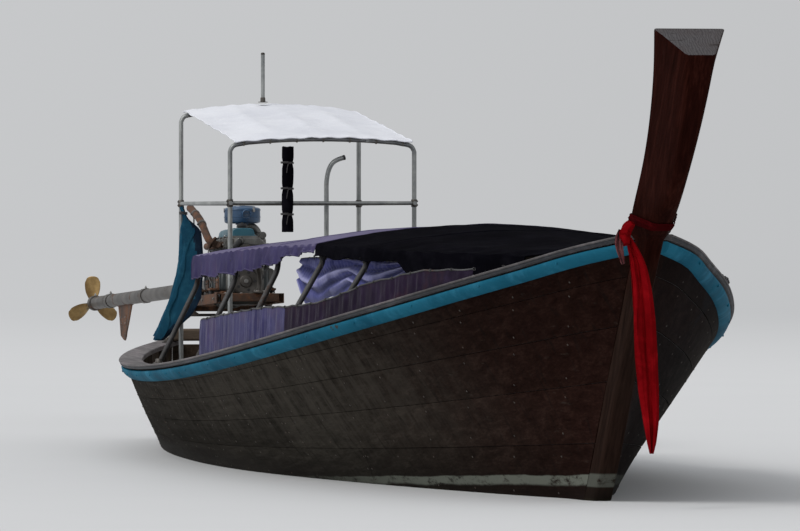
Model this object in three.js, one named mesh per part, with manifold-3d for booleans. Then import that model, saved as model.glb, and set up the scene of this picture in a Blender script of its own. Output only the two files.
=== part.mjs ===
// A wooden longtail boat, in millimetres.
// +X runs to the bow, +Y to port, +Z up. The origin is on the waterline plane,
// on the centreline, half way along the rail (stem head at x = +5750).
import * as THREE from "three";
import { mergeVertices } from "three/addons/utils/BufferGeometryUtils.js";
import Module from "manifold-3d";

const wasm = await Module();
wasm.setup();

// ---------------------------------------------------------------- dimensions
const STEM_X = 5750; // front of the stem at rail height
const STERN_X = -5750; // aft face of the transom
const PLANK = 28; // planking thickness
const FIT = 0.4; // gap between pieces that rest on each other
const RIB_DEPTH = 55;
const RIB_WIDTH = 45;
const STRINGER_DEPTH = 34;
const STEM_HALF = 70; // half-width of the stem where the planks meet it
const KEEL_HALF = 55;
const KEEL_DEPTH = 65; // keel plank below the bottom planking
const RAIL_UP = 42; // blue rub rail, above and below its own line
const RAIL_DOWN = 20;
const RAIL_DEEP = 32;
const RAIL_TOP = 50; // planking stands this far above the rub rail's middle
const CAP_THICK = 26;
const CAP_INNER = 137; // cap's inner edge, in from the rail's outer face
const CAP_OUTER = 6;
const FLOOR_Z = -165;
const FLOOR_THICK = 22;
const SEAT_Z = 290;
const SEAT_THICK = 32;
const SEAT_DEEP = 300;
const AFT_DECK_Z = 360;
const AFT_DECK_START = 9760; // its front edge, aft of the stem head
const PIPE = 15; // radius of the canopy hoops
const ROOF_PIPE = 17;
const CLOTH = 8; // canopy sheet with its seams
const PIVOT = new THREE.Vector3(-5550, 0, 850); // where the engine tilts
const SHAFT_DIP = 2; // degrees the tail points down at rest
const SHAFT_Z = 120; // shaft line above the tilt axis
const TAIL_LENGTH = 5150; // tilt axis to the tube's end
const PROP_RADIUS = 190;

// ------------------------------------------------------------------- hull
// One row a station. t: distance aft of the stem head at the rail; b: half-beam
// to the rub rail's face; z: height of the rub rail's middle; tw, w: the same
// station at the waterline and its half-beam; tk, k: at the keel and its depth.
const STATIONS = [
  { t: 100, b: 112, z: 1229, tw: 1172, w: 70, tk: 1430, k: -200 },
  { t: 350, b: 284, z: 1178, tw: 1398, w: 99, tk: 1651, k: -250 },
  { t: 700, b: 442, z: 1110, tw: 1716, w: 200, tk: 1960, k: -283 },
  { t: 1150, b: 623, z: 1028, tw: 2123, w: 317, tk: 2358, k: -307 },
  { t: 1800, b: 839, z: 921, tw: 2712, w: 464, tk: 2932, k: -328 },
  { t: 2600, b: 1041, z: 807, tw: 3437, w: 617, tk: 3638, k: -341 },
  { t: 3600, b: 1204, z: 689, tw: 4343, w: 773, tk: 4522, k: -349 },
  { t: 4800, b: 1292, z: 584, tw: 5430, w: 906, tk: 5582, k: -350 },
  { t: 6100, b: 1305, z: 508, tw: 6608, w: 945, tk: 6730, k: -341 },
  { t: 7400, b: 1257, z: 471, tw: 7786, w: 897, tk: 7878, k: -317 },
  { t: 8600, b: 1128, z: 470, tw: 8873, w: 800, tk: 8938, k: -279 },
  { t: 9700, b: 923, z: 490, tw: 9869, w: 666, tk: 9910, k: -231 },
  { t: 10700, b: 657, z: 516, tw: 10775, w: 509, tk: 10793, k: -176 },
  { t: 11500, b: 386, z: 542, tw: 11500, w: 357, tk: 11500, k: -120 },
];
// Shape of the bottom between keel and waterline, forward and amidships:
// y is a share of the waterline half-beam, d a share of the keel's depth.
const BOTTOM_BOW = [
  { y: 0.33, d: 0.76 },
  { y: 0.64, d: 0.48 },
  { y: 0.85, d: 0.22 },
];
const BOTTOM_MID = [
  { y: 0.47, d: 0.965 },
  { y: 0.81, d: 0.73 },
  { y: 0.94, d: 0.38 },
];
const TOPSIDE = [0.27, 0.54, 0.8]; // strake edges, shares of the side's height
const BILGE = 2; // ring index where bottom and side planking meet
const RAIL = 8; // ring index of the planking's top edge

const lerp = (a, b, f) => a + (b - a) * f;
const smooth = (f) => f * f * (3 - 2 * f);
const V = (x, y, z) => new THREE.Vector3(x, y, z);

// Starboard-to-port symmetric hull lines: points on the outside, port side.
const LINES = STATIONS.map((s, i) => {
  const f = smooth(Math.min(1, i / 6));
  const plankB = s.b - RAIL_DEEP - 2;
  const top = s.z + RAIL_TOP;
  const ring = [V(STEM_X - s.tk, Math.min(KEEL_HALF, s.w * 0.8), s.k)];
  for (let j = 0; j < 3; j++) {
    const y = lerp(BOTTOM_BOW[j].y, BOTTOM_MID[j].y, f);
    const d = lerp(BOTTOM_BOW[j].d, BOTTOM_MID[j].d, f);
    const inner = ring[0].y;
    ring.push(
      V(STEM_X - lerp(s.tw, s.tk, d), inner + (s.w - inner) * y, s.k * d),
    );
  }
  ring.push(V(STEM_X - s.tw, s.w, 0));
  for (const h of TOPSIDE) {
    const bulge = lerp(-0.07, 0.05, f) * Math.sin(Math.PI * h);
    ring.push(
      V(STEM_X - lerp(s.tw, s.t, h), lerp(s.w, plankB, h + bulge), top * h),
    );
  }
  ring.push(V(STEM_X - s.t, plankB, top));
  if (i === 0) for (const p of ring) p.y = STEM_HALF;
  return ring;
});

// Outward normal of the hull lines at station i, ring index j.
const NORMALS = LINES.map((ring, i) =>
  ring.map((p, j) => {
    const a = LINES[Math.max(0, i - 1)][j];
    const b = LINES[Math.min(LINES.length - 1, i + 1)][j];
    const lo = j ? ring[j - 1] : V(p.x, -p.y, p.z);
    const hi = ring[Math.min(RAIL, j + 1)];
    const n = new THREE.Vector3()
      .crossVectors(
        new THREE.Vector3().subVectors(a, b),
        new THREE.Vector3().subVectors(hi, lo),
      )
      .normalize();
    if (n.y < 0 && j) n.negate();
    if (!j && n.z > 0) n.negate();
    return n;
  }),
);

// A point of the hull lines moved out until the surface is off away, at the
// same x; the planking's top edge keeps its height. Side -1 mirrors.
function hullPoint(i, j, off, side = 1) {
  const p = LINES[i][j].clone();
  const n = NORMALS[i][j];
  const flat = Math.max(0.5, j === RAIL ? n.y * n.y : n.y * n.y + n.z * n.z);
  p.y += (n.y * off) / flat;
  if (j !== RAIL) p.z += (n.z * off) / flat;
  p.y = Math.max(8, p.y) * side;
  return p;
}

// ------------------------------------------------------------ solid helpers
// Closed body through equal rings of points, with flat ends.
function loft(rings) {
  const n = rings[0].length;
  const ring = (k) => rings[Math.floor(k / n)][k % n];
  const pos = [];
  for (const r of rings) for (const p of r) pos.push(p.x, p.y, p.z);
  const idx = [];
  for (let i = 0; i + 1 < rings.length; i++)
    for (let j = 0; j < n; j++) {
      const a = i * n + j,
        b = i * n + ((j + 1) % n),
        c = a + n,
        d = b + n;
      // Each quad folds from its upper corner on this ring to the lower on the next.
      const p = ring(a),
        q = ring(b);
      if (q.z + Math.abs(q.y) / 1e3 > p.z + Math.abs(p.y) / 1e3) idx.push(a, b, c, b, d, c);
      else idx.push(a, b, d, a, d, c);
    }
  // Point j faces point n - 1 - j in every ring, so an end is a ladder of quads.
  const cap = (base, flip) => {
    for (let j = 0; j < n / 2 - 1; j++) {
      const a = base + j,
        b = base + j + 1,
        c = base + n - 2 - j,
        d = base + n - 1 - j;
      if (flip) idx.push(a, c, b, a, d, c);
      else idx.push(a, b, c, a, c, d);
    }
  };
  cap(0, true);
  cap((rings.length - 1) * n, false);
  const g = new THREE.BufferGeometry();
  g.setAttribute("position", new THREE.Float32BufferAttribute(pos, 3));
  g.setIndex(idx);
  const made = solid(g);
  if (made.volume() > 0) return made;
  for (let k = 0; k < idx.length; k += 3) [idx[k + 1], idx[k + 2]] = [idx[k + 2], idx[k + 1]];
  g.setIndex(idx);
  return solid(g);
}

function solid(geometry, matrix) {
  const g = geometry.clone();
  for (const k of Object.keys(g.attributes)) if (k !== "position") g.deleteAttribute(k);
  if (matrix) g.applyMatrix4(matrix);
  const m = mergeVertices(g, 1e-3);
  const index = m.index ? m.index.array : Array.from({ length: m.attributes.position.count }, (_, i) => i);
  return new wasm.Manifold(
    new wasm.Mesh({
      numProp: 3,
      vertProperties: new Float32Array(m.attributes.position.array),
      triVerts: new Uint32Array(index),
    }),
  );
}

function box(x0, x1, y0, y1, z0, z1) {
  const g = new THREE.BoxGeometry(x1 - x0, y1 - y0, z1 - z0);
  g.translate((x0 + x1) / 2, (y0 + y1) / 2, (z0 + z1) / 2);
  return solid(g);
}

// Round bar between two points; r2 gives a taper.
function bar(a, b, r, sides = 10, r2 = r) {
  const d = new THREE.Vector3().subVectors(b, a);
  const g = new THREE.CylinderGeometry(r2, r, d.length(), sides);
  const q = new THREE.Quaternion().setFromUnitVectors(V(0, 1, 0), d.clone().normalize());
  const m = new THREE.Matrix4().compose(a.clone().addScaledVector(d, 0.5), q, V(1, 1, 1));
  return solid(g, m);
}

// Mitred pipe through a list of points.
function pipe(points, r, sides = 8) {
  const dirs = points.map((p, i) =>
    new THREE.Vector3()
      .subVectors(points[Math.min(points.length - 1, i + 1)], points[Math.max(0, i - 1)])
      .normalize(),
  );
  let up = Math.abs(dirs[0].z) < 0.9 ? V(0, 0, 1) : V(1, 0, 0);
  const rings = points.map((p, i) => {
    up = up.clone().addScaledVector(dirs[i], -up.dot(dirs[i])).normalize();
    const side = new THREE.Vector3().crossVectors(dirs[i], up);
    return Array.from({ length: sides }, (_, k) => {
      const a = (2 * Math.PI * (k + 0.5)) / sides;
      return p
        .clone()
        .addScaledVector(up, r * Math.cos(a))
        .addScaledVector(side, r * Math.sin(a));
    });
  });
  return loft(rings);
}

const union = (list) => list.reduce((a, b) => a.add(b));
const mirrorY = (s) => s.mirror([0, 1, 0]);

// ------------------------------------------------------------ hull volumes
const ALL = LINES.map((_, i) => i);

// Everything inside the hull lines moved by off, closed by a flat lid at the
// planking's top edge.
function hullVolume(off) {
  return loft(
    ALL.map((i) => {
      const ring = [];
      for (let j = RAIL; j >= 0; j--) ring.push(hullPoint(i, j, off, 1));
      for (let j = 0; j <= RAIL; j++) ring.push(hullPoint(i, j, off, -1));
      return ring;
    }),
  );
}
const inside = hullVolume(-PLANK - FIT);
const insideRibs = hullVolume(-PLANK - RIB_DEPTH);
const insideRibsFit = hullVolume(-PLANK - RIB_DEPTH - FIT);
const insideStringers = hullVolume(-PLANK - RIB_DEPTH - STRINGER_DEPTH);

// Rail line at any distance aft, straight between stations as the planks are.
function railAt(t) {
  let i = 0;
  while (i < STATIONS.length - 2 && STATIONS[i + 1].t < t) i++;
  const a = STATIONS[i],
    b = STATIONS[i + 1];
  const f = (t - a.t) / (b.t - a.t);
  const z = lerp(a.z, b.z, f);
  return { b: lerp(a.b, b.b, f), z, cap: z + RAIL_TOP + FIT + CAP_THICK };
}
const X = (t) => STEM_X - t;

// --------------------------------------------------------------- the stem
// Side view of stem and prow post, from the forefoot up. xa, za: aft edge;
// xf, zf: front edge; wa, wf: widths there.
const POST = [
  { xa: 4320, za: -200, xf: 4320.4, zf: -265, wa: 134, wf: 90 },
  { xa: 4578, za: 0, xf: 4678, zf: 0, wa: 138, wf: 84 },
  { xa: 5106, za: 630, xf: 5218, zf: 630, wa: 138, wf: 82 },
  { xa: 5650, za: 1279, xf: 5770, zf: 1274, wa: 138, wf: 82 },
  { xa: 5652, za: 1318, xf: 5806, zf: 1290, wa: 205, wf: 84 },
  { xa: 5745, za: 1412, xf: 5960, zf: 1362, wa: 218, wf: 80 },
  { xa: 5900, za: 1560, xf: 6150, zf: 1475, wa: 224, wf: 70 },
  { xa: 6060, za: 1730, xf: 6340, zf: 1640, wa: 234, wf: 74 },
  { xa: 6205, za: 1920, xf: 6500, zf: 1825, wa: 256, wf: 92 },
  { xa: 6325, za: 2100, xf: 6600, zf: 1990, wa: 290, wf: 116 },
  { xa: 6432, za: 2265, xf: 6668, zf: 2135, wa: 337, wf: 138 },
];
function postSolid(gap) {
  return loft(
    POST.map((r, i) => {
      const back = i < 4 ? -FIT + gap : 0;
      const g = gap * 1.02;
      const ring = [
        V(r.xf + g, -r.wf / 2 - g, r.zf),
        V(r.xf + g, r.wf / 2 + g, r.zf),
        V(r.xa - (i < 4 ? back : g), r.wa / 2 + g, r.za),
        V(r.xa - (i < 4 ? back : g), -r.wa / 2 - g, r.za),
      ];
      return ring;
    }),
  );
}
const post = postSolid(0);
const postCut = postSolid(FIT * 1.5);

// --------------------------------------------------------------- materials
const M = (color, roughness, metalness = 0) => new THREE.MeshStandardMaterial({ color, roughness, metalness });
const MAT = {
  hull_wood: M(0x4a3228, 0.85),
  inner_wood: M(0x7a5c43, 0.85),
  post_wood: M(0x4b211a, 0.75),
  deck_wood: M(0x85705a, 0.9),
  cap_wood: M(0xa89a88, 0.85),
  blue_paint: M(0x2e6f8f, 0.5),
  pipe: M(0x9a9c9a, 0.45, 0.8),
  black_cloth: M(0x17151c, 0.9),
  purple_cloth: M(0x6a5f9c, 0.85),
  lilac_cloth: M(0x7a78c0, 0.85),
  white_cloth: M(0xe4e4ec, 0.7),
  blue_cloth: M(0x2a6d8c, 0.85),
  red_cloth: M(0xb01428, 0.75),
  engine: M(0x3a3d40, 0.5, 0.7),
  head: M(0x8a8a86, 0.4, 0.8),
  steel: M(0x55524e, 0.5, 0.8),
  rust: M(0x5d4032, 0.8, 0.4),
  brass: M(0xa58545, 0.4, 0.9),
  filter: M(0x2b5a86, 0.45, 0.2),
  plastic: M(0xdcdcd4, 0.5),
};

const boat = new THREE.Group();
function add(name, body, material, parent = boat) {
  const out = body.getMesh();
  const g = new THREE.BufferGeometry();
  const step = out.numProp;
  const pos = new Float32Array((out.vertProperties.length / step) * 3);
  for (let i = 0; i < pos.length / 3; i++)
    for (let k = 0; k < 3; k++) pos[3 * i + k] = out.vertProperties[step * i + k];
  g.setAttribute("position", new THREE.Float32BufferAttribute(pos, 3));
  g.setIndex(Array.from(out.triVerts));
  g.computeVertexNormals();
  const mesh = new THREE.Mesh(g, material);
  mesh.name = name;
  parent.add(mesh);
  return mesh;
}

// ---------------------------------------------------------------- planking
// The planks are butted at three stations, so each side has four lengths.
const BUTTS = [
  { name: "bow", from: 0, to: 4 },
  { name: "forward", from: 4, to: 6 },
  { name: "middle", from: 6, to: 9 },
  { name: "aft", from: 9, to: 13 },
];
// One length of planking from rings made for each station, clear of the length before it.
function planks(ringAt, from, to) {
  return loft(
    ALL.slice(from, to + 1).map((i) => {
      const ring = ringAt(i);
      if (i === from && i > 0) for (const p of ring) p.x -= FIT;
      return ring;
    }),
  );
}
function bottomRing(i) {
  const ring = [];
  for (let j = BILGE; j >= 0; j--) ring.push(hullPoint(i, j, 0, 1));
  for (let j = 0; j <= BILGE; j++) ring.push(hullPoint(i, j, 0, -1));
  for (let j = BILGE; j >= 0; j--) ring.push(hullPoint(i, j, -PLANK, -1));
  for (let j = 0; j <= BILGE; j++) ring.push(hullPoint(i, j, -PLANK, 1));
  return ring;
}
function sideRing(i, side) {
  const outer = [],
    inner = [];
  for (let j = BILGE; j <= RAIL; j++) {
    outer.push(hullPoint(i, j, 0, side));
    inner.push(hullPoint(i, j, -PLANK, side));
  }
  for (const row of [outer, inner]) {
    const d = new THREE.Vector3().subVectors(row[1], row[0]).normalize();
    row[0].addScaledVector(d, 0.5);
  }
  return outer.concat(inner.reverse());
}
const bottom = planks(bottomRing, 0, 13);
add("bottom_planking_forward", planks(bottomRing, 0, 9), MAT.hull_wood);
add("bottom_planking_aft", planks(bottomRing, 9, 13), MAT.hull_wood);
for (const { name, from, to } of BUTTS) {
  add("port_planking_" + name, planks((i) => sideRing(i, 1), from, to), MAT.hull_wood);
  add("starboard_planking_" + name, planks((i) => sideRing(i, -1), from, to), MAT.hull_wood);
}

add(
  "keel_plank",
  loft(
    ALL.map((i) => {
      const p = LINES[i][0];
      const x = i ? p.x : p.x;
      const h = KEEL_HALF + 4;
      return [
        V(x, -h, p.z - FIT),
        V(x, h, p.z - FIT),
        V(x, h - 8, p.z - KEEL_DEPTH),
        V(x, -h + 8, p.z - KEEL_DEPTH),
      ];
    }),
  ),
  MAT.hull_wood,
);
add("prow_post", post, MAT.post_wood);
add(
  "transom",
  box(STERN_X, STERN_X + 40, -900, 900, -900, 2000).intersect(inside),
  MAT.inner_wood,
);

// ------------------------------------------------- rub rails and gunwale caps
function railRing(i, y0, y1, z0, z1, side) {
  const p = LINES[i][RAIL],
    q = LINES[i][RAIL - 1];
  const at = (z, out) => {
    const f = (z - q.z) / (p.z - q.z);
    return V(lerp(q.x, p.x, f), side * (lerp(q.y, p.y, f) + out), z);
  };
  return [at(p.z + z0, y0), at(p.z + z0, y1), at(p.z + z1, y1), at(p.z + z1, y0)];
}
const outsideFit = hullVolume(FIT);
for (const [name, side] of [
  ["port", 1],
  ["starboard", -1],
]) {
  const rail = loft(
    ALL.map((i) => railRing(i, -6, RAIL_DEEP + 2, -RAIL_TOP - RAIL_DOWN, -RAIL_TOP + RAIL_UP, side)),
  ).subtract(outsideFit);
  add("rub_rail_" + name, rail, MAT.blue_paint);
}
function capSolid(side) {
  return loft(
    ALL.map((i) => {
      const s = STATIONS[i];
      const z = LINES[i][RAIL].z + FIT;
      const x = X(s.t);
      const y1 = s.b + CAP_OUTER,
        y0 = Math.max(6, s.b - CAP_INNER);
      return [V(x, side * y0, z), V(x, side * y1, z), V(x, side * y1, z + CAP_THICK), V(x, side * y0, z + CAP_THICK)];
    }),
  ).subtract(postCut);
}
add("gunwale_cap_port", capSolid(1), MAT.cap_wood);
add("gunwale_cap_starboard", capSolid(-1), MAT.cap_wood);

// ------------------------------------------------------------------- decks
const FORE_DECK_END = 1900; // distance aft of the stem head
const foreDeckRaw = (grow) =>
  loft(
    [100, 350, 700, 1150, 1800, FORE_DECK_END].map((t) => {
      const z = railAt(t).z + RAIL_TOP;
      const x = X(t) - (t === FORE_DECK_END ? grow : 0) + (t === 100 ? grow - 0.5 : 0);
      const top = grow ? z + 60 : z - FIT;
      return [V(x, -1500, z - 30 - grow), V(x, 1500, z - 30 - grow), V(x, 1500, top), V(x, -1500, top)];
    }),
  );
add("foredeck", foreDeckRaw(0).intersect(inside), MAT.deck_wood);

const RIB_T = [1500, 2400, 3300, 4200, 5100, 6000, 6900, 7800, 8700, 9500, 10250, 11000];
const KEELSON_HALF = 55;
const FRAME_FOOT = -100; // the first frame stands on the keelson
const shell = inside.subtract(insideRibs);
const ribSlab = (t, z0, z1) => box(X(t) - RIB_WIDTH / 2, X(t) + RIB_WIDTH / 2, -2000, 2000, z0, z1);
const trim = (body) =>
  body.subtract(foreDeckRaw(FIT)).subtract(bottom).subtract(box(STERN_X - 10, STERN_X + 41, -900, 900, -900, 2000));
// Keelson with the floor timbers across it.
const timbers = [
  box(X(11100), X(1450), -KEELSON_HALF, KEELSON_HALF, -600, 900)
    .intersect(inside.subtract(hullVolume(-PLANK - 75)))
    .subtract(box(X(9850), X(2800), -KEELSON_HALF - 1, KEELSON_HALF + 1, FLOOR_Z - FIT, 900))
    .subtract(box(X(1700), X(1300), -KEELSON_HALF - 1, KEELSON_HALF + 1, FRAME_FOOT - FIT, 900)),
];
for (const t of RIB_T) timbers.push(ribSlab(t, -600, FLOOR_Z - FIT).intersect(inside));
add("floor_timbers", trim(union(timbers)), MAT.inner_wood);
// The first frame crosses under the foredeck in one piece.
add(
  "bow_frame",
  trim(ribSlab(RIB_T[0], FRAME_FOOT, 2000).intersect(shell).add(ribSlab(RIB_T[0], FRAME_FOOT, FRAME_FOOT + 90).intersect(inside))),
  MAT.inner_wood,
);
// Side frames, joined by the riser that carries the benches; two lengths a side.
const RISER_BUTT = 6450;
for (const [name, side] of [
  ["port", 1],
  ["starboard", -1],
])
  for (const [length, from, to] of [
    ["forward", 2400, RISER_BUTT],
    ["aft", RISER_BUTT + FIT, 11000],
  ]) {
    const half = (gap, z0, z1) => {
      const y = [side * gap, side * 2000].sort((a, b) => a - b);
      return (x0, x1) => box(x0, x1, y[0], y[1], z0, z1);
    };
    const parts = RIB_T.filter((t) => t >= from && t <= to).map((t) =>
      half(KEELSON_HALF + FIT, FLOOR_Z, 2000)(X(t) - RIB_WIDTH / 2, X(t) + RIB_WIDTH / 2).intersect(shell),
    );
    parts.push(
      half(0, SEAT_Z - SEAT_THICK - 80, SEAT_Z - SEAT_THICK - FIT)(X(to), X(from)).intersect(
        hullVolume(-PLANK - RIB_DEPTH + 3).subtract(insideStringers),
      ),
    );
    add("side_frames_" + name + "_" + length, trim(union(parts)), MAT.inner_wood);
  }

add(
  "floor_boards",
  box(X(9800), X(2900), -2000, 2000, FLOOR_Z, FLOOR_Z + FLOOR_THICK).intersect(insideRibsFit),
  MAT.deck_wood,
);
add(
  "aft_deck",
  union([
    box(X(11440), X(AFT_DECK_START), -2000, 2000, AFT_DECK_Z - 25, AFT_DECK_Z),
    ...[AFT_DECK_START + 24, 10250, 11000].map((t) => box(X(t) - 23, X(t) + 23, -2000, 2000, AFT_DECK_Z - 85, AFT_DECK_Z - 24)),
  ]).intersect(insideRibsFit),
  MAT.deck_wood,
);
[3300, 4500, 5700, 6900].forEach((t, i) =>
  add(
    "bench_" + (i + 1),
    box(X(t + SEAT_DEEP / 2), X(t - SEAT_DEEP / 2), -2000, 2000, SEAT_Z - SEAT_THICK, SEAT_Z).intersect(insideRibsFit),
    MAT.deck_wood,
  ),
);
const BEAM_TOP = 690;
const beamBase = Math.max(railAt(11100).cap, railAt(11400).cap) + FIT;
add(
  "engine_beam",
  union([
    box(-5630, -5470, -395, 395, beamBase, BEAM_TOP),
    box(-5640, -5460, -130, 130, BEAM_TOP - 20, BEAM_TOP),
  ]),
  MAT.inner_wood,
);

// ------------------------------------------------------- passenger canopy
// t: aft of the stem head; w: half-width; e: edge height; c: crown height;
// v: bottom of the hanging hem.
const BLACK = [
  { t: 1300, w: 330, e: 1190, c: 1218, v: 1152 },
  { t: 1420, w: 410, e: 1200, c: 1236, v: 1150 },
  { t: 1700, w: 562, e: 1208, c: 1256, v: 1096 },
  { t: 2000, w: 690, e: 1216, c: 1276, v: 1084 },
  { t: 2120, w: 722, e: 1218, c: 1284, v: 1110 },
  { t: 2300, w: 764, e: 1221, c: 1295, v: 1172 },
  { t: 2800, w: 845, e: 1230, c: 1322, v: 1178 },
  { t: 3700, w: 900, e: 1244, c: 1348, v: 1190 },
];
const PURPLE = [
  { t: 3702, w: 902, e: 1246, c: 1350, v: 1212 },
  { t: 4300, w: 904, e: 1240, c: 1345, v: 1196 },
  { t: 4900, w: 905, e: 1230, c: 1334, v: 1143 },
  { t: 6150, w: 905, e: 1198, c: 1290, v: 1085 },
  { t: 7400, w: 900, e: 1165, c: 1256, v: 1050 },
];
const ARCH = [-1, -0.72, -0.38, 0, 0.38, 0.72, 1];
const archPoint = (r, f, drop) => V(X(r.t), f * r.w, lerp(r.c, r.e, f * f) - drop);
function canopySheet(rows) {
  return loft(
    rows.map((r) => {
      const outer = [V(X(r.t), -r.w - 22, r.v)];
      const inner = [V(X(r.t), -r.w - 22 + CLOTH, r.v)];
      for (const f of ARCH) {
        const p = archPoint(r, f, 0);
        const k = Math.abs(f) === 1 ? Math.sign(f) * 8 : 0;
        outer.push(V(p.x, p.y + k, p.z));
        inner.push(V(p.x, p.y + k - Math.sign(k) * CLOTH, p.z - CLOTH));
      }
      outer.push(V(X(r.t), r.w + 22, r.v));
      inner.push(V(X(r.t), r.w + 22 - CLOTH, r.v));
      return outer.concat(inner.reverse());
    }),
  );
}
add("black_canopy", canopySheet(BLACK), MAT.black_cloth);
add("purple_canopy", canopySheet(PURPLE), MAT.purple_cloth);

// Flange that lies along the sloping gunwale cap.
function foot_plate(t, y, base = 0) {
  return loft(
    [t - 34, t + 34].map((u) => {
      const z = railAt(u).cap + base + FIT;
      return [V(X(u), y - 34, z), V(X(u), y + 34, z), V(X(u), y + 34, z + 9), V(X(u), y - 34, z + 9)];
    }),
  );
}
const DROP = CLOTH + PIPE + 4;
const hoops = [];
const HOOPS = [BLACK[1], BLACK[6], { ...BLACK[7], t: 3680 }, PURPLE[2], PURPLE[3], { ...PURPLE[4], t: 7370 }];
for (const r of HOOPS) {
  const onDeck = r.t < FORE_DECK_END;
  const rail = railAt(r.t);
  const foot = onDeck ? r.w + 12 : Math.min(rail.b - 78, r.w + 210);
  const base = onDeck ? rail.z + RAIL_TOP - rail.cap : 0;
  const leg = (side) => [
    V(X(r.t), side * foot, rail.cap + base + 11),
    V(X(r.t), side * (r.w - PIPE - 2), r.v - 40),
    V(X(r.t), side * (r.w - PIPE - 6), r.e - DROP - 30),
  ];
  const pts = leg(-1);
  for (const f of ARCH) if (Math.abs(f) < 1) pts.push(archPoint(r, f, DROP));
  pts.push(...leg(1).reverse());
  hoops.push(pipe(pts, PIPE, 6));
  for (const side of [-1, 1]) hoops.push(foot_plate(r.t, side * foot, base));
}
for (const f of [-0.72, 0, 0.72])
  hoops.push(pipe(HOOPS.map((r) => archPoint(r, f, DROP + 2)), PIPE - 2, 6));
add("passenger_canopy_frame", union(hoops), MAT.pipe);

// Low screen cloths along the gunwales, outboard of the hoop legs.
const SCREEN = [
  { t: 1200, h: 34 },
  { t: 1450, h: 75 },
  { t: 1750, h: 112 },
  { t: 2200, h: 128 },
  { t: 2800, h: 138 },
  { t: 3300, h: 148 },
  { t: 3700, h: 164 },
  { t: 4300, h: 182 },
  { t: 4900, h: 192 },
  { t: 5100, h: 193 },
];
for (const [name, side] of [
  ["port", 1],
  ["starboard", -1],
])
  add(
    "side_screen_" + name,
    loft(
      SCREEN.map((r) => {
        const rail = railAt(r.t);
        const y = rail.b - 26,
          lean = 10;
        return [
          V(X(r.t), side * y, rail.cap + 3),
          V(X(r.t), side * (y + CLOTH), rail.cap + 3),
          V(X(r.t), side * (y + CLOTH - lean), rail.cap + r.h),
          V(X(r.t), side * (y - lean), rail.cap + r.h),
        ];
      }),
    ),
    MAT.purple_cloth,
  );

// Curtain drawn along the starboard side between canopy and gunwale.
const CURTAIN = [
  { t: 2300, y: 690, top: 1160, foot: 1128, yf: 696 },
  { t: 2600, y: 742, top: 1162, foot: 1062, yf: 754 },
  { t: 2800, y: 770, top: 1164, foot: 1018, yf: 786 },
  { t: 3000, y: 790, top: 1166, foot: 992, yf: 806 },
  { t: 3300, y: 815, top: 1168, foot: 1000, yf: 832 },
  { t: 3700, y: 838, top: 1172, foot: 968, yf: 852 },
  { t: 4100, y: 842, top: 1172, foot: 934, yf: 856 },
  { t: 4400, y: 843, top: 1168, foot: 928, yf: 857 },
  { t: 4540, y: 843, top: 1164, foot: 1010, yf: 855 },
];
add(
  "gathered_curtain",
  loft(
    CURTAIN.map((r) => [
      V(X(r.t), -r.y, r.top),
      V(X(r.t), -r.y + 30, r.top),
      V(X(r.t), -r.yf + 34, r.foot),
      V(X(r.t), -r.yf, r.foot),
    ]),
  ),
  MAT.lilac_cloth,
);

// --------------------------------------------------------------- helm roof
const ROOF = [
  { t: 8140, w: 525, e: 1836, c: 1864 },
  { t: 9020, w: 525, e: 1941, c: 1981 },
  { t: 9890, w: 525, e: 2040, c: 2084 },
];
add(
  "helm_roof_sheet",
  loft(
    ROOF.map((r) => {
      const up = [],
        down = [];
      for (const f of [-1, -0.5, 0, 0.5, 1]) {
        up.push(V(X(r.t), f * r.w, lerp(r.c, r.e, f * f)));
        down.push(V(X(r.t), f * r.w, lerp(r.c, r.e, f * f) - CLOTH));
      }
      return up.concat(down.reverse());
    }),
  ),
  MAT.white_cloth,
);
const ROOF_HALF = 548;
const roofDrop = CLOTH + ROOF_PIPE + 3;
const roofZ = (t) => lerp(1836, 2040, (t - 8140) / 1750);
const roofCrown = (t) => lerp(28, 44, (t - 8140) / 1750);
const helm = [];
for (const [t, base] of [
  [8190, SEAT_Z - SEAT_THICK - 120],
  [9840, AFT_DECK_Z + FIT],
]) {
  const z = roofZ(t);
  const pts = [V(X(t), -ROOF_HALF, base), V(X(t), -ROOF_HALF, z - 72), V(X(t), -ROOF_HALF + 18, z - 40), V(X(t), -ROOF_HALF + 60, z - roofDrop - 2)];
  for (const f of [-0.5, 0, 0.5]) pts.push(V(X(t), f * 525, lerp(z + roofCrown(t), z, f * f) - roofDrop - 2));
  pts.push(V(X(t), ROOF_HALF - 60, z - roofDrop - 2), V(X(t), ROOF_HALF - 18, z - 40), V(X(t), ROOF_HALF, z - 72), V(X(t), ROOF_HALF, base));
  helm.push(pipe(pts, ROOF_PIPE, 8));
}
for (const f of [-1, 1]) {
  helm.push(pipe([V(X(8190), f * ROOF_HALF, 1470), V(X(9840), f * ROOF_HALF, 1470)], ROOF_PIPE - 3, 8));
  helm.push(pipe([V(X(8190), (f * 525) / 2, roofZ(8190) + 0.75 * roofCrown(8190) - roofDrop - 2), V(X(9840), (f * 525) / 2, roofZ(9840) + 0.75 * roofCrown(9840) - roofDrop - 2)], ROOF_PIPE - 4, 8));
}
for (const t of [8190, 9840]) helm.push(pipe([V(X(t), -ROOF_HALF, 1470), V(X(t), ROOF_HALF, 1470)], ROOF_PIPE - 3, 8));
add("helm_roof_frame", union(helm), MAT.pipe);

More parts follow.
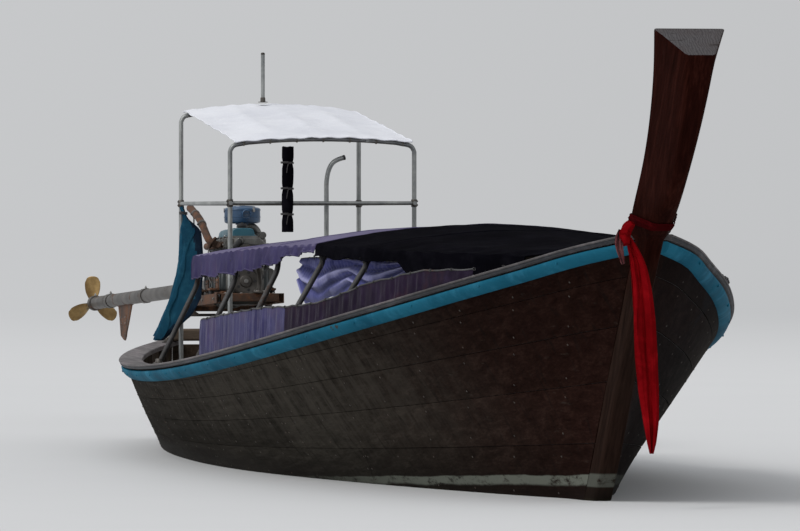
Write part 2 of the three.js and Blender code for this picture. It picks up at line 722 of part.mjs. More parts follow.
// Cross-beam that carries the roof's front legs.
const HELM_BEAM_Z = SEAT_Z - SEAT_THICK - 120 - FIT;
add(
  "helm_beam",
  box(X(8235), X(8145), -2000, 2000, HELM_BEAM_Z - 60, HELM_BEAM_Z).intersect(insideRibsFit),
  MAT.inner_wood,
);
add("roof_pole", bar(V(X(9780), -56, 2084), V(X(9780), -56, 2385), 13, 10), MAT.pipe);
add(
  "grab_pole",
  pipe(
    [V(X(8220), 30, HELM_BEAM_Z + FIT), V(X(8220), 30, 1580), V(X(8220), 40, 1650), V(X(8220), 68, 1705), V(X(8220), 140, 1738)],
    14,
    8,
  ),
  MAT.pipe,
);
add("rolled_side_curtain", bar(V(X(8120) + 40, -230, 1300), V(X(8120) + 40, -230, 1800), 42, 10), MAT.black_cloth);

// ---------------------------------------------------------- blue cloth, sash
// Cloth hung from the roof frame's rail; y0, y1: its faces; x is aft of the stem head.
const HUNG = [
  { z: 1446, y0: -578, y1: -520, t0: 9748, t1: 9816 },
  { z: 1300, y0: -588, y1: -410, t0: 9748, t1: 9816 },
  { z: 1120, y0: -600, y1: -392, t0: 9748, t1: 9816 },
  { z: 900, y0: -640, y1: -420, t0: 9748, t1: 9816 },
  { z: 780, y0: -686, y1: -500, t0: 9748, t1: 9816 },
  { z: 640, y0: -736, y1: -660, t0: 9748, t1: 9816 },
];
add(
  "blue_cloth",
  loft(
    HUNG.map((r) => [V(X(r.t1), r.y0, r.z), V(X(r.t0), r.y0, r.z), V(X(r.t0), r.y1, r.z), V(X(r.t1), r.y1, r.z)]),
  ),
  MAT.blue_cloth,
);
// Sash tied round the foot of the post, its tails hanging in front of the stem.
const sashBand = box(5600, 6100, -250, 250, 1336, 1388).intersect(postSolid(17)).subtract(postSolid(2));
add(
  "red_sash",
  union([
    sashBand,
    box(5745, 5875, -190, -108, 1240, 1372),
    loft([
      [V(5800, -170, 1260), V(5880, -170, 1260), V(5880, -128, 1260), V(5800, -128, 1260)],
      [V(5808, -142, 1190), V(5888, -142, 1190), V(5888, -74, 1190), V(5808, -74, 1190)],
      [V(5812, -121, 1033), V(5890, -121, 1033), V(5890, -36, 1033), V(5812, -36, 1033)],
      [V(5814, -119, 768), V(5890, -119, 768), V(5890, -11, 768), V(5814, -11, 768)],
      [V(5814, -90, 529), V(5890, -90, 529), V(5890, -4, 529), V(5814, -4, 529)],
      [V(5812, -58, 300), V(5890, -58, 300), V(5890, -14, 300), V(5812, -14, 300)],
      [V(5812, -48, 262), V(5890, -48, 262), V(5890, -24, 262), V(5812, -24, 262)],
    ]),
  ]),
  MAT.red_cloth,
);

// ------------------------------------------------------------ stern fittings
const STANCHION_T = 11150;
const sternRail = railAt(STANCHION_T);
const stanchionY = -sternRail.b + 105;
add(
  "stern_stanchion",
  union([
    bar(V(X(STANCHION_T), stanchionY, sternRail.cap + 4), V(X(STANCHION_T), stanchionY, 790), 14, 10),
    foot_plate(STANCHION_T, stanchionY),
  ]),
  MAT.plastic,
);
add(
  "fuel_can",
  union([
    box(X(10700), X(10350), 210, 430, AFT_DECK_Z + FIT, AFT_DECK_Z + 190),
    box(X(10620), X(10430), 240, 400, AFT_DECK_Z + 180, AFT_DECK_Z + 215),
    bar(V(X(10560), 320, AFT_DECK_Z + 210), V(X(10560), 320, AFT_DECK_Z + 235), 24, 12),
  ]),
  MAT.plastic,
);

// ------------------------------------------------- swivel, engine and tail
// Fixed post and king pin, then the yoke that turns on it.
const PIN_R = 30;
const yokeZ = 768; // underside of the yoke's plate
const pinX = PIVOT.x;
add(
  "swivel_post",
  union([
    box(pinX - 75, pinX + 75, -110, 110, BEAM_TOP + FIT, BEAM_TOP + 14),
    bar(V(pinX, 0, BEAM_TOP + 8), V(pinX, 0, yokeZ + 6), PIN_R, 20),
  ]),
  MAT.steel,
);
const YOKE_HALF = 250; // inner face of the yoke's arms
const ARM = 28;
const pinHole = (r) => bar(V(pinX, -400, PIVOT.z), V(pinX, 400, PIVOT.z), r, 20);
let yoke = union([
  bar(V(pinX, 0, BEAM_TOP + 20), V(pinX, 0, yokeZ + 2), PIN_R + 20, 20),
  box(pinX - 60, pinX + 60, -YOKE_HALF - ARM, YOKE_HALF + ARM, yokeZ, yokeZ + 16),
  box(pinX - 60, pinX + 60, -YOKE_HALF - ARM, -YOKE_HALF, yokeZ, PIVOT.z + 44),
  box(pinX - 60, pinX + 60, YOKE_HALF, YOKE_HALF + ARM, yokeZ, PIVOT.z + 44),
])
  .subtract(bar(V(pinX, 0, BEAM_TOP - 20), V(pinX, 0, yokeZ + 60), PIN_R + 3, 20))
  .subtract(pinHole(21));
add("swivel_yoke", yoke, MAT.steel);

// Everything below is drawn on the tilt axis, then tipped with the shaft line.
const drive = new THREE.Group();
drive.position.copy(PIVOT);
drive.rotation.y = THREE.MathUtils.degToRad(-SHAFT_DIP);
boat.add(drive);
const RAIL_Y = 196; // middle of the cradle's side rails
const cradle = [];
for (const s of [-1, 1]) {
  cradle.push(box(-720, 800, s * RAIL_Y - 16, s * RAIL_Y + 16, -18, 42));
  cradle.push(bar(V(0, s * (RAIL_Y + 15), 0), V(0, s * (YOKE_HALF + ARM + 10), 0), 18, 20));
}
cradle.push(box(-720, -690, -RAIL_Y, RAIL_Y, -18, 42));
cradle.push(box(-60, -20, -RAIL_Y - 16, RAIL_Y + 16, -50, -17));
cradle.push(box(745, 800, -RAIL_Y, RAIL_Y, -8, 42));
add("engine_cradle", union(cradle), MAT.rust, drive);

const block = union([
  box(70, 620, -150, 150, -20, 200),
  box(80, 610, -115, 115, 190, 322),
  box(120, 560, -172, 172, 44, 80),
]);
add("engine_block", block, MAT.engine, drive);
add(
  "cylinder_head",
  union([box(84, 606, -108, 108, 322.4, 402), box(100, 590, -72, 72, 400, 452)]),
  MAT.head,
  drive,
);
add(
  "fan_pulley",
  bar(V(620.4, 0, SHAFT_Z), V(668, 0, SHAFT_Z), 92, 20),
  MAT.steel,
  drive,
);
const exhaust = pipe([V(500, -108.6, 350), V(500, -160, 350), V(470, -196, 372), V(400, -206, 430), V(250, -206, 500), V(40, -206, 560), V(-130, -206, 600)], 24, 10);
add("exhaust_pipe", exhaust, MAT.rust, drive);
const canR = 92;
const filter = union([
  bar(V(330, 40, 452.4), V(330, 40, 490), 44, 16),
  bar(V(330, 40, 488), V(330, 40, 585), canR + 20, 18),
  bar(V(330, 40, 580), V(330, 40, 602), canR - 10, 18),
]);
add("air_filter", filter, MAT.filter, drive);

const turned = (profile, x, z) => {
  const g = new THREE.LatheGeometry(profile.map(([r, y]) => new THREE.Vector2(r, y)), 20);
  const m = new THREE.Matrix4().makeRotationZ(-Math.PI / 2).setPosition(x, 0, z);
  const s = solid(g, m);
  return s;
};
// Bell housing and gearbox: radius against distance forward of the shaft end.
const bell = turned(
  [
    [0, 0],
    [74, 0],
    [78, 60],
    [92, 200],
    [150, 300],
    [158, 300],
    [158, 343.6],
    [0, 343.6],
  ],
  -274,
  SHAFT_Z,
);
add("gearbox", bell, MAT.head, drive);

const TUBE_R = 44;
let tube = union([
  bar(V(-274.4, 0, SHAFT_Z), V(-296, 0, SHAFT_Z), 76, 20),
  bar(V(-290, 0, SHAFT_Z), V(-TAIL_LENGTH, 0, SHAFT_Z), TUBE_R, 14),
  bar(V(-1560, 0, SHAFT_Z), V(-1620, 0, SHAFT_Z), 58, 14),
  bar(V(-TAIL_LENGTH + 90, 0, SHAFT_Z), V(-TAIL_LENGTH, 0, SHAFT_Z), 52, 14),
])
  .subtract(bar(V(-TAIL_LENGTH - 10, 0, SHAFT_Z), V(-TAIL_LENGTH + 170, 0, SHAFT_Z), 24, 14))
  .subtract(bar(V(-TAIL_LENGTH + 92, 0, SHAFT_Z), V(-310, 0, SHAFT_Z), TUBE_R - 7, 14));
// Struts from the cradle's corners to a collar on the tube.
const brace = union([
  ...[-1, 1].map((s) => pipe([V(-723, s * RAIL_Y, 10), V(-780, s * (RAIL_Y - 4), 14), V(-1540, s * 62, SHAFT_Z - 18)], 15, 8)),
  box(-1556, -1524, -72, 72, SHAFT_Z - 60, SHAFT_Z + 60),
]).subtract(bar(V(-1700, 0, SHAFT_Z), V(-1400, 0, SHAFT_Z), TUBE_R + 0.6, 14));
add("tail_brace", brace, MAT.steel, drive);

const finShape = new THREE.Shape();
for (const [i, [x, z]] of [
  [-3560, 0],
  [-4120, 0],
  [-4020, -225],
  [-3850, -262],
  [-3790, -210],
].entries())
  i ? finShape.lineTo(x, z) : finShape.moveTo(x, z);
const finGeo = new THREE.ExtrudeGeometry(finShape, { depth: 12, bevelEnabled: false });
const fin = solid(finGeo, new THREE.Matrix4().makeRotationX(Math.PI / 2).setPosition(0, 6, SHAFT_Z - TUBE_R + 22));
// The fin is welded under the tube.
add(
  "tail_tube",
  tube.add(fin.subtract(bar(V(-3400, 0, SHAFT_Z), V(-4300, 0, SHAFT_Z), TUBE_R - 3, 14))),
  MAT.steel,
  drive,
);

const tiller = pipe([V(790, 60, 47), V(800, 60, 120), V(850, 40, 205), V(950, 10, 240), V(1285, 0, 262)], 17, 10).add(
  box(745, 835, 25, 95, 42.4, 54),
);
add("tiller_arm", tiller, MAT.steel, drive);

// Propeller: hub, three twisted blades and the shaft's end.
const prop = new THREE.Group();
prop.position.set(-TAIL_LENGTH - 70, 0, SHAFT_Z);
drive.add(prop);
const BLADE = [
  { r: 24, chord: 74, pitch: 62, thick: 13 },
  { r: 70, chord: 108, pitch: 44, thick: 10 },
  { r: 125, chord: 116, pitch: 31, thick: 7 },
  { r: PROP_RADIUS - 22, chord: 86, pitch: 24, thick: 5 },
  { r: PROP_RADIUS, chord: 30, pitch: 22, thick: 4 },
];
const blade = loft(
  BLADE.map(({ r, chord, pitch, thick }) => {
    const a = THREE.MathUtils.degToRad(pitch);
    return [
      [0.5, 0],
      [0.05, 0.5],
      [-0.5, 0],
      [-0.05, -0.5],
    ].map(([c, h]) => {
      const along = c * chord,
        up = h * thick;
      return V(along * Math.sin(a) + up * Math.cos(a), along * Math.cos(a) - up * Math.sin(a), r);
    });
  }),
);
const wheel = [bar(V(48, 0, 0), V(-52, 0, 0), 36, 16, 30), bar(V(-50, 0, 0), V(-84, 0, 0), 24, 12, 12), bar(V(46, 0, 0), V(190, 0, 0), 19, 16)];
for (const k of [0, 1, 2]) wheel.push(blade.rotate([k * 120, 0, 0]));
add("propeller", union(wheel), MAT.brass, prop);

export default boat;
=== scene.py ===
# Looks of a wooden longtail boat, in metres: +X to the bow, +Y to port, +Z up,
# the waterline plane at z = 0.
import math
import random

import bmesh
import bpy
import numpy as np
from mathutils import Matrix, Vector, noise


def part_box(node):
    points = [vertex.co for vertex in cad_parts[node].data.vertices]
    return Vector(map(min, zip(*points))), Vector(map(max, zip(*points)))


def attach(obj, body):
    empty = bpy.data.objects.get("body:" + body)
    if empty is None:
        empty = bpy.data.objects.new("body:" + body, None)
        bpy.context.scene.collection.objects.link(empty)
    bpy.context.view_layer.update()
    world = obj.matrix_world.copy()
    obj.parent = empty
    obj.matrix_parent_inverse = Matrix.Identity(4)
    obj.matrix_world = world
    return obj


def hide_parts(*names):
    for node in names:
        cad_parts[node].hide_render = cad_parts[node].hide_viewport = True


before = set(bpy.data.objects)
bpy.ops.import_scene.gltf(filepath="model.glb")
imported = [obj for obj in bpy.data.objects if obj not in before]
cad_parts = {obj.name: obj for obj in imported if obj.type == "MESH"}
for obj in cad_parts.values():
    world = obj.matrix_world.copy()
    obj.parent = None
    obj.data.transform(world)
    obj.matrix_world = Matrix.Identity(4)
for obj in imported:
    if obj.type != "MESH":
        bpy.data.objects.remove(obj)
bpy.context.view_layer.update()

random.seed(7)
V = Vector


def lerp(a, b, f):
    return a + (b - a) * f


def smooth(f):
    f = min(1.0, max(0.0, f))
    return f * f * (3 - 2 * f)


# ------------------------------------------------------------------ camera
# The photograph's station point and viewing angle, framed on the boat alone.
PHI = math.radians(11.644)
CAM = V((39.255, -8.157, 1.380))
FOCAL_PX = 1547.0
ZOOM = 4.7
AIM_PX = (401.0 - 400.0, 332.0 - 322.0)
cam_data = bpy.data.cameras.new("camera")
cam_data.sensor_width = 36.0
cam_data.sensor_fit = "HORIZONTAL"
cam_data.lens = 36.0 * FOCAL_PX * ZOOM / 800.0
cam_data.clip_end = 400.0
cam = bpy.data.objects.new("camera", cam_data)
bpy.context.scene.collection.objects.link(cam)
ahead = V((-math.cos(PHI), math.sin(PHI), 0))
right = V((math.sin(PHI), math.cos(PHI), 0))
look = ahead + right * (AIM_PX[0] / FOCAL_PX) - V((0, 0, 1)) * (AIM_PX[1] / FOCAL_PX)
cam.location = CAM
cam.rotation_euler = look.to_track_quat("-Z", "Y").to_euler()
bpy.context.scene.camera = cam


# ------------------------------------------------------------ mesh helpers
class Mesh:
    """Collects points and faces of one piece."""

    def __init__(self):
        self.v, self.f, self.m, self.a = [], [], [], []
        self.tag = 0.0
        self.mat = 0

    def add(self, pts, faces, mat=None):
        base = len(self.v)
        self.v.extend([tuple(p) for p in pts])
        self.a.extend([self.tag] * len(pts))
        for f in faces:
            self.f.append([base + i for i in f])
            self.m.append(self.mat if mat is None else mat)
        return base

    def grid(self, rows, closed=False, loop=False, flip=False, mat=None, mats=None):
        """Faces through equal rows of points; closed joins a row's ends, loop joins the last row to the first; mats gives a material for each row and column."""
        n = len(rows[0])
        pts = [p for r in rows for p in r]
        faces = []
        for i in range(len(rows) - (0 if loop else 1)):
            k = (i + 1) % len(rows)
            for j in range(n if closed else n - 1):
                q = (j + 1) % n
                f = [i * n + j, i * n + q, k * n + q, k * n + j]
                faces.append(f[::-1] if flip else f)
        self.add(pts, faces, mat)
        if mats:
            cols = n if closed else n - 1
            self.m[-len(faces):] = [mats(q // cols, q % cols) for q in range(len(faces))]

    def tube(self, pts, r, sides=12, caps=True, r2=None, mat=None):
        """Round bar along points; r may be a number or one for each point."""
        pts = [V(p) for p in pts]
        n = len(pts)
        rr = r if isinstance(r, (list, tuple)) else [lerp(r, r if r2 is None else r2, i / max(1, n - 1)) for i in range(n)]
        dirs = [(pts[min(n - 1, i + 1)] - pts[max(0, i - 1)]).normalized() for i in range(n)]
        up = V((0, 0, 1)) if abs(dirs[0].z) < 0.9 else V((1, 0, 0))
        rows = []
        for p, d, q in zip(pts, dirs, rr):
            up = (up - d * up.dot(d)).normalized()
            side = d.cross(up)
            rows.append([p + up * (q * math.cos(2 * math.pi * k / sides)) + side * (q * math.sin(2 * math.pi * k / sides)) for k in range(sides)])
        self.grid(rows, closed=True, flip=True, mat=mat)
        if caps:
            self.add(rows[0], [list(range(sides))], mat)
            self.add(rows[-1], [list(range(sides))[::-1]], mat)

    def lathe(self, profile, origin, axis, sides=24, mat=None):
        """Turned shape: profile is (along, radius) from origin along axis."""
        axis = V(axis).normalized()
        up = V((0, 0, 1)) if abs(axis.z) < 0.9 else V((1, 0, 0))
        up = (up - axis * up.dot(axis)).normalized()
        side = axis.cross(up)
        rows = [
            [V(origin) + axis * a + up * (r * math.cos(2 * math.pi * k / sides)) + side * (r * math.sin(2 * math.pi * k / sides)) for k in range(sides)]
            for a, r in profile
        ]
        self.grid(rows, closed=True, flip=True, mat=mat)
        if profile[0][1] > 1e-5:
            self.add(rows[0], [list(range(sides))], mat)
        if profile[-1][1] > 1e-5:
            self.add(rows[-1], [list(range(sides))[::-1]], mat)

    def block(self, lo, hi, bevel=0.003, mat=None, matrix=None):
        """Box with bevelled edges and corners."""
        lo, hi = V(lo), V(hi)
        b = min(bevel, min(abs(hi[i] - lo[i]) for i in range(3)) * 0.45)
        pts, idx = [], {}
        for sx in (0, 1):
            for sy in (0, 1):
                for sz in (0, 1):
                    c = V((hi.x if sx else lo.x, hi.y if sy else lo.y, hi.z if sz else lo.z))
                    s = V((1 if sx else -1, 1 if sy else -1, 1 if sz else -1))
                    for k in range(3):
                        p = c.copy()
                        for q in range(3):
                            if q != k:
                                p[q] -= s[q] * b
                        idx[(sx, sy, sz, k)] = len(pts)
                        pts.append(p)
        faces = []
        # flat faces
        for k in range(3):
            u, w = (k + 1) % 3, (k + 2) % 3
            for s in (0, 1):
                ring = []
                for a, c in ((0, 0), (1, 0), (1, 1), (0, 1)):
                    key = [0, 0, 0]
                    key[k], key[u], key[w] = s, a, c
                    ring.append(idx[(*key, k)])
                faces.append(ring if s else ring[::-1])
        # edges
        for k in range(3):
            u, w = (k + 1) % 3, (k + 2) % 3
            for a in (0, 1):
                for c in (0, 1):
                    k0, k1 = [0, 0, 0], [0, 0, 0]
                    k0[u], k0[w], k0[k] = a, c, 0
                    k1[u], k1[w], k1[k] = a, c, 1
                    ring = [idx[(*k0, u)], idx[(*k1, u)], idx[(*k1, w)], idx[(*k0, w)]]
                    faces.append(ring if (a + c) % 2 else ring[::-1])
        # corners
        for sx in (0, 1):
            for sy in (0, 1):
                for sz in (0, 1):
                    ring = [idx[(sx, sy, sz, k)] for k in range(3)]
                    faces.append(ring if (sx + sy + sz) % 2 else ring[::-1])
        if matrix is not None:
            pts = [matrix @ p for p in pts]
        self.add(pts, faces, mat)

    def hexbolt(self, at, axis, r=0.008, h=0.006, mat=None, washer=True):
        """Bolt head on a washer, standing off along axis."""
        axis = V(axis).normalized()
        at = V(at)
        if washer:
            self.lathe([(0, r * 1.5), (h * 0.25, r * 1.5), (h * 0.3, r * 1.4)], at, axis, 10, mat)
        self.lathe([(h * 0.25, r), (h * 0.9, r), (h * 1.1, r * 0.8)], at, axis, 6, mat)


def piece(name, mesh, mats, body="hull", replaces=(), smooth_angle=40, recalc=True, attr=False, weld=0.0):
    """Object from collected points, riding on a CAD body."""
    me = bpy.data.meshes.new(name)
    me.from_pydata(mesh.v, [], mesh.f)
    for m in mats if isinstance(mats, (list, tuple)) else [mats]:
        me.materials.append(m)
    for p, m in zip(me.polygons, mesh.m):
        p.material_index = m
    if attr:
        layer = me.attributes.new("plank", "FLOAT", "POINT")
        layer.data.foreach_set("value", np.array(mesh.a, dtype=np.float32))
    ob = bpy.data.objects.new(name, me)
    bpy.context.scene.collection.objects.link(ob)
    if recalc or weld:
        bm = bmesh.new()
        bm.from_mesh(me)
        if weld:
            bmesh.ops.remove_doubles(bm, verts=bm.verts, dist=weld)
        if recalc:
            bmesh.ops.recalc_face_normals(bm, faces=bm.faces)
        bm.to_mesh(me)
        bm.free()
    shade(me, smooth_angle)
    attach(ob, body)
    if replaces:
        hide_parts(*replaces)
    return ob


def shade(me, angle):
    """Smooth faces with edges sharper than angle left sharp."""
    if angle is None:
        return
    bm = bmesh.new()
    bm.from_mesh(me)
    lim = math.radians(angle)
    for f in bm.faces:
        f.smooth = True
    for e in bm.edges:
        e.smooth = not (len(e.link_faces) == 2 and e.calc_face_angle(0) > lim)
    bm.to_mesh(me)
    bm.free()


def modify(ob, kind, **values):
    """Adds one modifier and applies it at once."""
    m = ob.modifiers.new(kind.lower(), kind)
    for k, v in values.items():
        setattr(m, k, v)
    dg = bpy.context.evaluated_depsgraph_get()
    me = bpy.data.meshes.new_from_object(ob.evaluated_get(dg))
    old = ob.data
    ob.modifiers.clear()
    ob.data = me
    me.name = old.name
    return ob


def spline(xs, ys, x):
    """Natural cubic spline through (xs, ys), read at x (arrays)."""
    xs, ys, x = np.asarray(xs, float), np.asarray(ys, float), np.asarray(x, float)
    n = len(xs)
    h = np.diff(xs)
    a = np.zeros((n, n))
    r = np.zeros((n,) + ys.shape[1:])
    a[0, 0] = a[-1, -1] = 1
    for i in range(1, n - 1):
        a[i, i - 1], a[i, i], a[i, i + 1] = h[i - 1], 2 * (h[i - 1] + h[i]), h[i]
        r[i] = 6 * ((ys[i + 1] - ys[i]) / h[i] - (ys[i] - ys[i - 1]) / h[i - 1])
    m = np.linalg.solve(a, r)
    k = np.clip(np.searchsorted(xs, x) - 1, 0, n - 2)
    d = x - xs[k]
    hk = h[k]
    if ys.ndim > 1:
        d, hk = d[:, None], hk[:, None]
    b = (ys[k + 1] - ys[k]) / hk - hk * (2 * m[k] + m[k + 1]) / 6
    return ys[k] + b * d + m[k] * d**2 / 2 + (m[k + 1] - m[k]) * d**3 / (6 * hk)


def steady(xs, ys, x):
    """Smooth curve through (xs, ys) that never swings past its points, read at one x."""
    k = int(np.clip(np.searchsorted(xs, x) - 1, 0, len(xs) - 2))
    h, d = np.diff(xs), np.diff(ys) / np.diff(xs)
    m = []
    for i in (k, k + 1):
        if i == 0 or i == len(xs) - 1:
            m.append(d[min(i, len(d) - 1)])
        elif d[i - 1] * d[i] <= 0:
            m.append(0.0)
        else:
            p, q = 2 * h[i] + h[i - 1], h[i] + 2 * h[i - 1]
            m.append((p + q) / (p / d[i - 1] + q / d[i]))
    s = min(1.0, max(0.0, (x - xs[k]) / h[k]))
    a, b = 2 * s**3 - 3 * s**2 + 1, -2 * s**3 + 3 * s**2
    return float(a * ys[k] + b * ys[k + 1] + h[k] * ((s**3 - 2 * s**2 + s) * m[0] + (s**3 - s**2) * m[1]))


def curve(points, step=0.03):
    """Points of a smooth curve through the given ones, about step apart."""
    p = np.array([tuple(q) for q in points], float)
    s = np.concatenate([[0], np.cumsum(np.maximum(1e-6, np.linalg.norm(np.diff(p, axis=0), axis=1)))])
    n = max(4, int(s[-1] / step))
    return [V(q) for q in spline(s, p, np.linspace(0, s[-1], n + 1))]


def rounded(points, radius, steps=6):
    """Polyline whose corners are turned on an arc of about radius."""
    pts = [V(p) for p in points]
    out = [pts[0]]
    for a, b, c in zip(pts, pts[1:], pts[2:]):
        u, w = (a - b), (c - b)
        r = min(radius, u.length * 0.49, w.length * 0.49)
        p, q = b + u.normalized() * r, b + w.normalized() * r
        for k in range(steps + 1):
            f = k / steps
            out.append(p.lerp(b, f).lerp(b.lerp(q, f), f))
    out.append(pts[-1])
    return out


def fbm(p, octaves=4):
    return noise.fractal(V(p), 1.0, 2.0, octaves)


# --------------------------------------------------------------- hull lines
# t: distance aft of the stem head at the rail; b, z: half-beam and height of
# the rub rail; tw, w: waterline; tk, k: keel (millimetres).
STATIONS = [
    dict(t=100, b=112, z=1229, tw=1172, w=70, tk=1430, k=-200),
    dict(t=350, b=284, z=1178, tw=1398, w=99, tk=1651, k=-250),
    dict(t=700, b=442, z=1110, tw=1716, w=200, tk=1960, k=-283),
    dict(t=1150, b=623, z=1028, tw=2123, w=317, tk=2358, k=-307),
    dict(t=1800, b=839, z=921, tw=2712, w=464, tk=2932, k=-328),
    dict(t=2600, b=1041, z=807, tw=3437, w=617, tk=3638, k=-341),
    dict(t=3600, b=1204, z=689, tw=4343, w=773, tk=4522, k=-349),
    dict(t=4800, b=1292, z=584, tw=5430, w=906, tk=5582, k=-350),
    dict(t=6100, b=1305, z=508, tw=6608, w=945, tk=6730, k=-341),
    dict(t=7400, b=1257, z=471, tw=7786, w=897, tk=7878, k=-317),
    dict(t=8600, b=1128, z=470, tw=8873, w=800, tk=8938, k=-279),
    dict(t=9700, b=923, z=490, tw=9869, w=666, tk=9910, k=-231),
    dict(t=10700, b=657, z=516, tw=10775, w=509, tk=10793, k=-176),
    dict(t=11500, b=386, z=542, tw=11500, w=357, tk=11500, k=-120),
]
BOTTOM_BOW = [(0.33, 0.76), (0.64, 0.48), (0.85, 0.22)]
BOTTOM_MID = [(0.47, 0.965), (0.81, 0.73), (0.94, 0.38)]
STEM = 5.75
PLANK = 0.028
ST = np.array([s["t"] / 1000 for s in STATIONS])
LINES = []
for i, s in enumerate(STATIONS):
    f = smooth(min(1, i / 6))
    g = {k: v / 1000 for k, v in s.items()}
    top, pb = g["z"] + 0.05, g["b"] - 0.034
    ring = [(STEM - g["tk"], min(0.055, g["w"] * 0.8), g["k"])]
    for j in range(3):
        y = lerp(BOTTOM_BOW[j][0], BOTTOM_MID[j][0], f)
        d = lerp(BOTTOM_BOW[j][1], BOTTOM_MID[j][1], f)
        ring.append((STEM - lerp(g["tw"], g["tk"], d), ring[0][1] + (g["w"] - ring[0][1]) * y, g["k"] * d))
    ring.append((STEM - g["tw"], g["w"], 0))
    for h in (0.27, 0.54, 0.8):
        bulge = lerp(-0.07, 0.05, f) * math.sin(math.pi * h)
        ring.append((STEM - lerp(g["tw"], g["t"], h), lerp(g["w"], pb, h + bulge), top * h))
    ring.append((STEM - g["t"], pb, top))
    if i == 0:
        ring = [(x, 0.07, z) for x, _, z in ring]
    LINES.append(ring)
LINES = np.array(LINES)
BILGE, RAIL = 2.0, 8.0


def hull_rows(ts, js):
    """Hull surface (port side) at distances ts aft of the stem head and girth places js."""
    ts, js = np.asarray(ts, float), np.asarray(js, float)
    rings = spline(ST, LINES.reshape(len(ST), -1), ts).reshape(len(ts), 9, 3)
    out = np.zeros((len(ts), len(js), 3))
    for i in range(len(ts)):
        out[i] = spline(np.arange(9), rings[i], js)
    out[:, :, 1] = np.maximum(out[:, :, 1], 0.03)
    return out


def normals(p):
    """Outward normals of a grid of hull points (port side)."""
    a = np.gradient(p, axis=0)
    b = np.gradient(p, axis=1)
    n = np.cross(b, a)
    n /= np.maximum(1e-9, np.linalg.norm(n, axis=2))[:, :, None]
    s = np.sign(n[:, :, 1])
    s[s == 0] = 1
    return n * s[:, :, None]


def rail_at(t):
    """Half-beam to the rub rail's face, its middle height and the cap's top."""
    b, z = spline(ST, np.array([[s["b"] / 1000, s["z"] / 1000] for s in STATIONS]), np.array([t]))[0]
    return b, z, z + 0.05 + 0.0264


def X(t):
    return STEM - t


def inner_half(x, z, gap=0.0):
    """Half-width of the clear space inside the frames at x and z."""
    js = np.linspace(0, 8, 33)
    ts = np.linspace(0.1, 11.5, 115)
    if not hasattr(inner_half, "g"):
        inner_half.g = hull_rows(ts, js)
        inner_half.n = normals(inner_half.g)
    g = inner_half.g
    ys = []
    for j in range(len(js)):
        xs, zs, yy = g[:, j, 0], g[:, j, 2], g[:, j, 1]
        o = np.argsort(xs)
        ys.append((np.interp(x, xs[o], zs[o]), np.interp(x, xs[o], yy[o])))
    ys.sort()
    return float(np.interp(z, [a for a, _ in ys], [b for _, b in ys])) - gap


